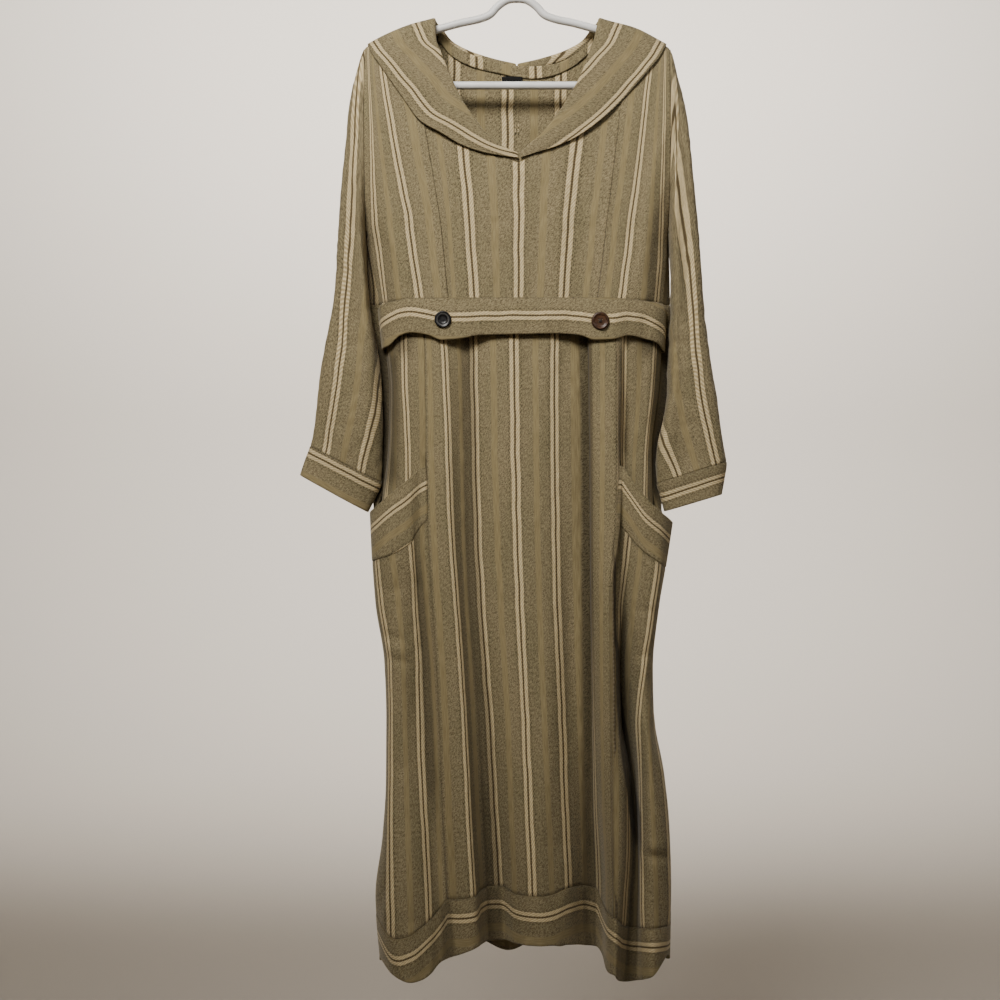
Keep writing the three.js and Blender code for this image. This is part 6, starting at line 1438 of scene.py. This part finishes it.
# ---------------------------------------------------------------- waist band
def waist_band():
    i = np.arange(len(WAIST_BAND), dtype=float)
    f = {k: curve(i, [w[k] for w in WAIST_BAND]) for k in WAIST_BAND[0]}
    tt = np.linspace(0, len(WAIST_BAND) - 1, 900)
    p = np.stack([f["x"](tt), f["yTop"](tt), f["top"](tt)], -1)
    s = np.concatenate([[0], np.cumsum(np.linalg.norm(np.diff(p, axis=0), axis=1))])
    t = np.interp(np.linspace(0, s[-1], int(s[-1] / 3.2)), s, tt)[None, :]
    v = np.linspace(0, 1, 20)[:, None]
    x = f["x"](t) + (f["xLow"](t) - f["x"](t)) * v
    y = f["yTop"](t) + (f["yLow"](t) - f["yTop"](t)) * v
    d = f["top"](t) + (f["low"](t) - f["top"](t)) * v
    y = y - (1.5 * np.sin(np.pi * v) + 0.9 * v**3 * np.sin(x / 15 + 0.6)) * smooth(0, 14, np.abs(y - SEAM_Y))
    Pt = relax(np.stack([x, y, -d], -1), -1, 0.9)
    A = vals(drawn(arc(Pt, 0) - f["stripe"](t) * np.ones_like(v), 1.5), arc(Pt, 1))
    A = shade_edge(A, Pt, "t", 2.0, 0.8)
    A = shade_edge(A, Pt, "b", 1.4, 0.35)
    G = edges({"P": Pt, "A": A}, "l:seam r:seam t:seam b:fold")
    cloth("waist_band", G, ["waist_band"], t=1.9)


# ---------------------------------------------------------------- sleeves
def sleeve(rows, s, side):
    i = np.arange(13, dtype=float)
    g = {}
    for key in ("over", "under"):
        for j, c in ((0, "x"), (1, "d")):
            g[key + c] = curve(i, [r[key][j] for r in rows])
    fr, bk = curve(i, [r["front"] for r in rows]), curve(i, [r["back"] for r in rows])
    gather = np.array([1.3 if s < 0 else 1.2, 0.4, 0.12])
    n = 92
    a = np.linspace(0, 2 * np.pi, 361) * -s
    ca, sa = np.cos(a), np.sin(a)
    along = np.sign(ca) * np.abs(ca) ** 0.9
    deep0 = np.sign(sa) * np.abs(sa) ** 0.8

    def ring(j):
        f = min(1, j / 3) * (1 - 0.65 * float(smooth(9.3, 10.2, j)))
        deep = deep0 * (1 + f * 0.16 * np.cos(3 * a + 0.8 * s + j * 0.12))
        ox, od, ux, ud = (float(g[k](j)) for k in ("overx", "overd", "underx", "underd"))
        x = (ox + ux) / 2 + (ox - ux) / 2 * along
        d = (od + ud) / 2 + (od - ud) / 2 * along
        front = -s * sa > 0
        y = -np.abs(deep) * np.where(front, float(fr(j)), -float(bk(j)))
        # at the armhole the sleeve meets the bodice's edge
        w = 1 - float(smooth(0, 0.8, j))
        if w > 0:
            line = Panel(BODICE_FRONT).lines[0 if s < 0 else -1]
            h = np.maximum(0, d - 137)
            yf = np.maximum(line["Y"](d), depth_of(q_of(h)))
            yb = -depth_of(q_of(h)) * np.where(d > 396, 0, back_ratio(h))
            edge = np.where(front, np.minimum(yf, 0.0), np.maximum(yb, 0.0))
            y = y * (1 - w) + edge * w
        p = np.stack([x, y, -d], -1)
        step = np.diff(p, axis=0)
        q = np.concatenate([[0], np.cumsum(np.linalg.norm(step, axis=1))])
        # the cloth is gathered in round the sides, so its stripes are counted mostly across
        g_ = np.concatenate([[0], np.cumsum(np.linalg.norm(step * gather, axis=1))])
        u = np.linspace(0, q[-1], n + 1)[:-1]
        p = np.stack([np.interp(u, q, p[:, c]) for c in range(3)], -1)
        return p, np.interp(u, q, g_), g_[-1]

    js = np.concatenate([np.linspace(0, 1, 12), np.linspace(1, 10, 96)[1:]])
    jc = np.linspace(10, 12, 18)
    cx = SLEEVE_STRIPE[s]
    X2 = curve(cx["d"], cx["x"])
    R, U, V = [], [], []
    v = 0.0
    prev = None
    for j in np.concatenate([js, jc[1:]]):
        p, u, tot = ring(float(j))
        # where this ring's front half crosses the stripe
        half = slice(0, n // 2)
        f = p[half, 0] - X2(-p[half, 2])
        k = np.nonzero(np.sign(f[:-1]) != np.sign(f[1:]))[0]
        if len(k):
            k = k[0]
            at = u[k] + (u[k + 1] - u[k]) * abs(f[k]) / (abs(f[k]) + abs(f[k + 1]))
        else:
            at = np.nan
        if prev is not None:
            v += float(np.linalg.norm(p.mean(0) - prev))
        prev = p.mean(0)
        R.append(p)
        U.append((u, at, tot))
        V.append(v)
    R = np.stack(R)
    at = np.array([q[1] for q in U])
    good = ~np.isnan(at)
    at = np.interp(np.arange(len(at)), np.nonzero(good)[0], at[good])
    ker = np.ones(7) / 7
    at = np.convolve(np.pad(at, 3, mode="edge"), ker, "valid")
    tot = np.array([q[2] for q in U])
    Ua = np.stack([q[0] for q in U])
    # signed distance round the sleeve from its front stripe; the join is at the back
    su = (Ua - at[:, None] + tot[:, None] / 2) % tot[:, None] - tot[:, None] / 2
    v = np.array(V)[:, None] * np.ones((1, n))
    N = normals(R, True)
    mid = R.mean(1, keepdims=True)
    sgn = 1 if (N * (R - mid)).sum() > 0 else -1
    x, y, z = R[..., 0], R[..., 1], R[..., 2]
    soft = creases([
        (s * 220, 250, s * 236, 300, 5, 1.6), (s * 216, 300, s * 240, 360, 5, -1.1), (s * 212, 380, s * 236, 430, 6, 1.6),
        (s * 206, 500, s * 236, 540, 6, 1.4), (s * 202, 552, s * 244, 560, 6, 1.8), (s * 210, 596, s * 250, 588, 6, -1.3),
        (s * 206, 620, s * 250, 640, 6, 1.4), (s * 216, 670, s * 262, 668, 6, 1.2), (s * 228, 330, s * 240, 520, 7, 1.2),
        (s * 232, 560, s * 256, 690, 7, -1.3), (s * 222, 440, s * 228, 620, 6, 1.3), (s * 240, 620, s * 262, 700, 5, 1.2),
        (s * 214, 690, s * 240, 716, 5, 1.2),
    ] + crinkles(21 + s, 46, min(s * 200, s * 285), max(s * 200, s * 285), 170, 700, 0.8))
    fold = waves(31 + s, 7, 34, 240)
    fine = waves(41 + s, 9, 15, 30, 1.2)
    amp = smooth(0, 40, v)
    push = (fold(x + y * 0.7, z) * 1.15 + fine(x + y, z + y) * 0.3 - soft(x, z) * np.where(y < 0, 1.0, 0.8)) * amp
    cuff_w = smooth(9.6, 10.1, np.concatenate([js, jc[1:]]))[:, None]
    push = push * (1 - 0.75 * cuff_w) + 0.9 * cuff_w
    R = R + N * sgn * push[..., None]
    nj = len(js)
    P1 = R[:nj]
    A1 = vals(su[:nj], v[:nj])
    A1 = shade_edge(A1, P1, "tb", 2.2, 0.8)
    G = edges({"P": P1, "A": A1, "out": sgn}, "t:seam b:seam")
    cloth(f"sleeve_{side}", G, [f"sleeve_{side}"], t=1.0, ring=True, out=sgn)
    P2 = R[nj - 1:]
    down = arc(P2, 0)
    round_ = Ua[nj - 1:]
    c0 = 9.5 if s < 0 else 21.0
    A2 = vals(drawn(down - c0, 1.5), round_)
    A2 = shade_edge(A2, P2, "t", 2.0, 0.8)
    A2 = shade_edge(A2, P2, "b", 1.4, 0.35)
    G = edges({"P": P2, "A": A2, "out": sgn}, "t:seam b:fold")
    cloth(f"cuff_{side}", G, [f"cuff_{side}"], t=1.9, ring=True, out=sgn)


# ---------------------------------------------------------------- hanger and buttons
def centripetal(pts, closed, per=14):
    """Smooth path through points, spaced by the square root of their distances."""
    p = np.array(pts, float)
    n = len(p)
    out = []
    for i in range(n if closed else n - 1):
        if closed:
            a, b, c, d = p[(i - 1) % n], p[i], p[(i + 1) % n], p[(i + 2) % n]
        else:
            b, c = p[i], p[i + 1]
            a = p[i - 1] if i > 0 else 2 * b - c
            d = p[i + 2] if i < n - 2 else 2 * c - b
        t0 = 0.0
        t1 = t0 + max(np.linalg.norm(b - a) ** 0.5, 1e-6)
        t2 = t1 + max(np.linalg.norm(c - b) ** 0.5, 1e-6)
        t3 = t2 + max(np.linalg.norm(d - c) ** 0.5, 1e-6)
        for t in np.linspace(t1, t2, per + 1)[:-1]:
            A1 = a * (t1 - t) / (t1 - t0) + b * (t - t0) / (t1 - t0)
            A2 = b * (t2 - t) / (t2 - t1) + c * (t - t1) / (t2 - t1)
            A3 = c * (t3 - t) / (t3 - t2) + d * (t - t2) / (t3 - t2)
            B1 = A1 * (t2 - t) / (t2 - t0) + A2 * (t - t0) / (t2 - t0)
            B2 = A2 * (t3 - t) / (t3 - t1) + A3 * (t - t1) / (t3 - t1)
            out.append(B1 * (t2 - t) / (t2 - t1) + B2 * (t - t1) / (t2 - t1))
    if not closed:
        out.append(p[-1])
    return np.array(out)


def tube(path, r, closed, sides=28):
    """Rings of a tube in the plane y = 0, with rounded ends when open."""
    n = len(path)
    t = np.roll(path, -1, 0) - np.roll(path, 1, 0) if closed else np.gradient(path, axis=0)
    t = unit(t)
    side = np.array([0.0, 1.0, 0.0])
    up = unit(np.cross(t, side))
    a = np.linspace(0, 2 * np.pi, sides, endpoint=False)
    centres, radii, ups = list(path), [r] * n, list(up)
    if not closed:
        for e, sign in ((0, -1), (-1, 1)):
            for k in (1, 2, 3, 4, 5):
                g = k / 5 * math.pi / 2
                c = path[e] + t[e] * sign * r * math.sin(g)
                rr = max(r * math.cos(g), 0.05)
                if e == 0:
                    centres.insert(0, c), radii.insert(0, rr), ups.insert(0, up[e])
                else:
                    centres.append(c), radii.append(rr), ups.append(up[e])
    c = np.array(centres)[:, None, :]
    rr = np.array(radii)[:, None, None]
    u = np.array(ups)[:, None, :]
    V = c + rr * (np.cos(a)[None, :, None] * u + np.sin(a)[None, :, None] * side)
    R = len(centres)
    i = np.arange(R if closed else R - 1)[:, None]
    j = np.arange(sides)[None, :]
    i1, j1 = (i + 1) % R, (j + 1) % sides
    F = np.stack([i * sides + j, i1 * sides + j, i1 * sides + j1, i * sides + j1], -1).reshape(-1, 4)
    return V.reshape(-1, 3), F


def hanger():
    half = HANGER["half"]
    loop = [(x, 0, -d) for x, d in half] + [(-x, 0, -d) for x, d in half[1:-1][::-1]]
    V1, F1 = tube(centripetal(loop, True, 12), HANGER["r"], True)
    hk = HANGER["hook"][:-1] + [(0, 66)]
    V2, F2 = tube(centripetal([(x, 0, -d) for x, d in hk], False, 12), HANGER["r"], False)
    # a short swelling where the hook joins the arch
    prof = [(3.0, 50.5), (6.0, 51), (6.9, 52.5), (7.3, 56), (7.5, 60), (7.3, 64), (6.2, 67.5), (3.0, 69)]
    a = np.linspace(0, 2 * np.pi, 32, endpoint=False)
    V3 = np.array([[r * math.cos(b), r * 0.92 * math.sin(b), -d] for r, d in prof for b in a])
    i = np.arange(len(prof) - 1)[:, None]
    j = np.arange(32)[None, :]
    F3 = np.stack([i * 32 + j, (i + 1) * 32 + j, (i + 1) * 32 + (j + 1) % 32, i * 32 + (j + 1) % 32], -1).reshape(-1, 4)
    V = np.concatenate([V1, V2, V3]) / 1000
    F = np.concatenate([F1, F2 + len(V1), F3 + len(V1) + len(V2)])
    ob = build("hanger_tube", V, F, PLASTIC)
    corners(ob)
    for b in (0,):
        import bmesh

        bm = bmesh.new()
        bm.from_mesh(ob.data)
        holes = [e for e in bm.edges if e.is_boundary]
        if holes:
            bmesh.ops.holes_fill(bm, edges=holes, sides=64)
        bmesh.ops.recalc_face_normals(bm, faces=bm.faces)
        bm.to_mesh(ob.data)
        bm.free()
    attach(ob, "root")
    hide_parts("hanger")


def button(b):
    """Turned disc, face forward, with fine steps; four through holes where it has them."""
    r, h = b["r"], b["h"]
    if b["holes"]:
        prof = [(0.0, 0), (r * 0.7, 0), (r * 0.86, 0.15), (r * 0.95, 0.6), (r, h * 0.42), (r * 0.985, h * 0.68), (r * 0.94, h * 0.9), (r * 0.87, h), (r * 0.79, h * 0.99), (r * 0.72, h * 0.86), (r * 0.66, h * 0.68), (r * 0.58, h * 0.6), (r * 0.4, h * 0.58), (0.0, h * 0.6)]
    else:
        prof = [(0.0, 0), (r * 0.7, 0), (r * 0.86, 0.15), (r * 0.95, 0.6), (r, h * 0.4), (r * 0.985, h * 0.66), (r * 0.93, h * 0.9), (r * 0.86, h * 0.98), (r * 0.8, h * 0.86), (r * 0.76, h * 0.74), (r * 0.6, h * 0.74), (r * 0.54, h * 0.72), (r * 0.5, h * 0.5), (r * 0.44, h * 0.38), (r * 0.2, h * 0.36), (0.0, h * 0.4)]
    n = 64
    V, F = [], []
    for pr, ph in prof:
        if pr == 0:
            V.append((b["x"], b["y"] + h - ph, -b["d"]))
        else:
            for k in range(n):
                g = 2 * math.pi * k / n
                V.append((b["x"] + pr * math.cos(g), b["y"] + h - ph, -b["d"] + pr * math.sin(g)))
    rings = len(prof) - 2
    first = lambda i: 1 + i * n
    tri = []
    for k in range(n):
        k1 = (k + 1) % n
        tri.append((0, first(0) + k, first(0) + k1))
        tri.append((len(V) - 1, first(rings - 1) + k1, first(rings - 1) + k))
        for i in range(rings - 1):
            F.append((first(i) + k, first(i + 1) + k, first(i + 1) + k1, first(i) + k1))
    me = bpy.data.meshes.new(b["name"] + "_turned")
    me.from_pydata([tuple(c / 1000 for c in p) for p in V], [], [tuple(f) for f in tri] + [tuple(f) for f in F])
    me.update()
    ob = bpy.data.objects.new(b["name"] + "_turned", me)
    bpy.context.scene.collection.objects.link(ob)
    import bmesh

    bm = bmesh.new()
    bm.from_mesh(me)
    bmesh.ops.recalc_face_normals(bm, faces=bm.faces)
    bm.to_mesh(me)
    bm.free()
    if b["holes"]:
        cut = bpy.data.meshes.new("cut")
        bm = bmesh.new()
        for i in range(4):
            g = math.pi / 4 + i * math.pi / 2
            m = bmesh.ops.create_cone(bm, cap_ends=True, segments=24, radius1=0.00115, radius2=0.00115, depth=0.02)
            for v in m["verts"]:
                x, y, z = v.co
                v.co = Vector(((b["x"] + 3.1 * math.cos(g)) / 1000 + x, (b["y"] + 1) / 1000 + z, (-b["d"] + 3.1 * math.sin(g)) / 1000 + y))
        bmesh.ops.recalc_face_normals(bm, faces=bm.faces)
        bm.to_mesh(cut)
        bm.free()
        co = bpy.data.objects.new("cut", cut)
        bpy.context.scene.collection.objects.link(co)
        mod = ob.modifiers.new("holes", "BOOLEAN")
        mod.object = co
        mod.operation = "DIFFERENCE"
        mod.solver = "EXACT"
        done = bpy.data.meshes.new_from_object(ob.evaluated_get(bpy.context.evaluated_depsgraph_get()))
        ob.modifiers.clear()
        ob.data = done
        bpy.data.objects.remove(co)
    me = ob.data
    me.shade_smooth()
    me.set_sharp_from_angle(angle=math.radians(50))
    if b["holes"]:
        mat = button_mat("button_horn", lin(40, 25, 16), lin(92, 62, 40), lin(70, 46, 30), b["x"], b["d"], r, (0.1, 0.62), 0.45)
    else:
        mat = button_mat("button_dark", lin(12, 12, 13), lin(22, 22, 23), lin(74, 73, 71), b["x"], b["d"], r, (0.6, 0.78), 0.85)
    me.materials.clear()
    me.materials.append(mat)
    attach(ob, "root")
    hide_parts(b["name"])
    if b["holes"]:
        # crossed threads through the four holes
        parts_v, parts_f, off = [], [], 0
        for g0 in (math.pi / 4, 3 * math.pi / 4):
            for sh in (-0.35, 0.35):
                pts = []
                for t in np.linspace(-1, 1, 17):
                    q = 3.1 * t
                    rise = 0.9 * (1 - t * t) ** 0.5 if abs(t) < 1 else 0
                    pts.append((b["x"] + q * math.cos(g0) - sh * math.sin(g0), b["y"] + h * 0.4 - 0.55 - rise * 0.8 + 1.2 * (t**8), -b["d"] + q * math.sin(g0) + sh * math.cos(g0)))
                p = np.array(pts)
                tg = unit(np.gradient(p, axis=0))
                sd = unit(np.cross(tg, np.array([0, 1.0, 0])))
                up = np.cross(sd, tg)
                a = np.linspace(0, 2 * np.pi, 8, endpoint=False)
                v = p[:, None, :] + 0.36 * (np.cos(a)[None, :, None] * sd[:, None, :] + np.sin(a)[None, :, None] * up[:, None, :])
                i = np.arange(len(p) - 1)[:, None]
                j = np.arange(8)[None, :]
                f = np.stack([i * 8 + j, (i + 1) * 8 + j, (i + 1) * 8 + (j + 1) % 8, i * 8 + (j + 1) % 8], -1).reshape(-1, 4)
                parts_v.append(v.reshape(-1, 3))
                parts_f.append(f + off)
                off += v.shape[0] * 8
        th = build("button_thread", np.concatenate(parts_v) / 1000, np.concatenate(parts_f), thread_mat())
        corners(th)
        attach(th, "root")


# ---------------------------------------------------------------- studio
def studio():
    """A pale floor that curves up into a pale wall all round, lights and the camera."""
    floor, rad, cove, high = -1.95, 5.2, 1.6, 3.6
    prof = [(0.0, floor)] + [(r, floor) for r in np.linspace(0.6, rad - cove, 8)]
    prof += [(rad - cove + cove * math.sin(g), floor + cove - cove * math.cos(g)) for g in np.linspace(0, math.pi / 2, 16)[1:]]
    prof += [(rad, z) for z in np.linspace(floor + cove, high, 6)[1:]]
    n = 96
    V, F = [], []
    for r, z in prof:
        for k in range(n):
            g = 2 * math.pi * k / n
            V.append((r * math.cos(g), r * math.sin(g), z))
    for i in range(len(prof) - 1):
        for k in range(n):
            k1 = (k + 1) % n
            F.append((i * n + k, i * n + k1, (i + 1) * n + k1, (i + 1) * n + k))
    me = bpy.data.meshes.new("floor")
    me.from_pydata(V, [], F)
    me.shade_smooth()
    me.materials.append(studio_mat())
    ob = bpy.data.objects.new("floor", me)
    bpy.context.scene.collection.objects.link(ob)

    def area(name, loc, at, size, power, colour, spread=180):
        l = bpy.data.lights.new(name, "AREA")
        l.spread = math.radians(spread)
        l.shape = "RECTANGLE"
        l.size, l.size_y = size
        l.energy = power
        l.color = colour
        o = bpy.data.objects.new(name, l)
        o.location = loc
        o.rotation_mode = "QUATERNION"
        o.rotation_quaternion = (Vector(at) - Vector(loc)).to_track_quat("-Z", "Y")
        bpy.context.scene.collection.objects.link(o)

    area("key", (-0.7, -1.85, 1.0), (0, 0, -0.27), (1.0, 0.8), 16.5, (1.0, 0.97, 0.925), 78)
    area("fill", (1.8, -2.2, 0.9), (0, 0, -0.5), (1.2, 1.0), 3.5, (0.95, 0.97, 1.0), 100)
    area("wall_light", (0.0, 1.2, 2.9), (0, 5.0, 0.9), (3.6, 1.0), 400, (1.0, 0.985, 0.96), 112)
    area("back_light", (0.6, 1.9, 1.3), (0, 0, -0.5), (1.6, 1.2), 11, (1.0, 0.98, 0.95))
    w = bpy.data.worlds.new("studio")
    w.use_nodes = True
    w.node_tree.nodes["Background"].inputs[0].default_value = (1.0, 0.975, 0.94, 1)
    w.node_tree.nodes["Background"].inputs[1].default_value = 0.035
    bpy.context.scene.world = w
    cam = bpy.data.cameras.new("camera")
    cam.sensor_width = 36
    cam.lens = 18 / (500 * 1.41 / 1900)
    co = bpy.data.objects.new("camera", cam)
    co.location = (-0.024, -1.9, -0.774)
    co.rotation_euler = (math.pi / 2, 0, 0)
    bpy.context.scene.collection.objects.link(co)
    bpy.context.scene.camera = co


# ---------------------------------------------------------------- all together
front_bodice()
back_bodice()
neck_inside()
collar("collar_left", COLLAR_L, -1)
collar("collar_right", COLLAR_R, 1)
centre_panel()
pocket(pocket_l, -2.5, -0.01, -1, -0.32, "left")
pocket(pocket_r, -0.12, 2.75, 1, -0.45, "right")
hem_front()
side_panel(SIDE_FRONT_L, -1, -0.38, "skirt_side_left")
side_panel(SIDE_FRONT_R, 1, -0.08, "skirt_side_right")
skirt_back()
waist_band()
sleeve(SLEEVE_L, -1, "left")
sleeve(SLEEVE_R, 1, "right")
hanger()
for b in BUTTONS:
    button(b)
studio()

print("sheets", SHEETS)
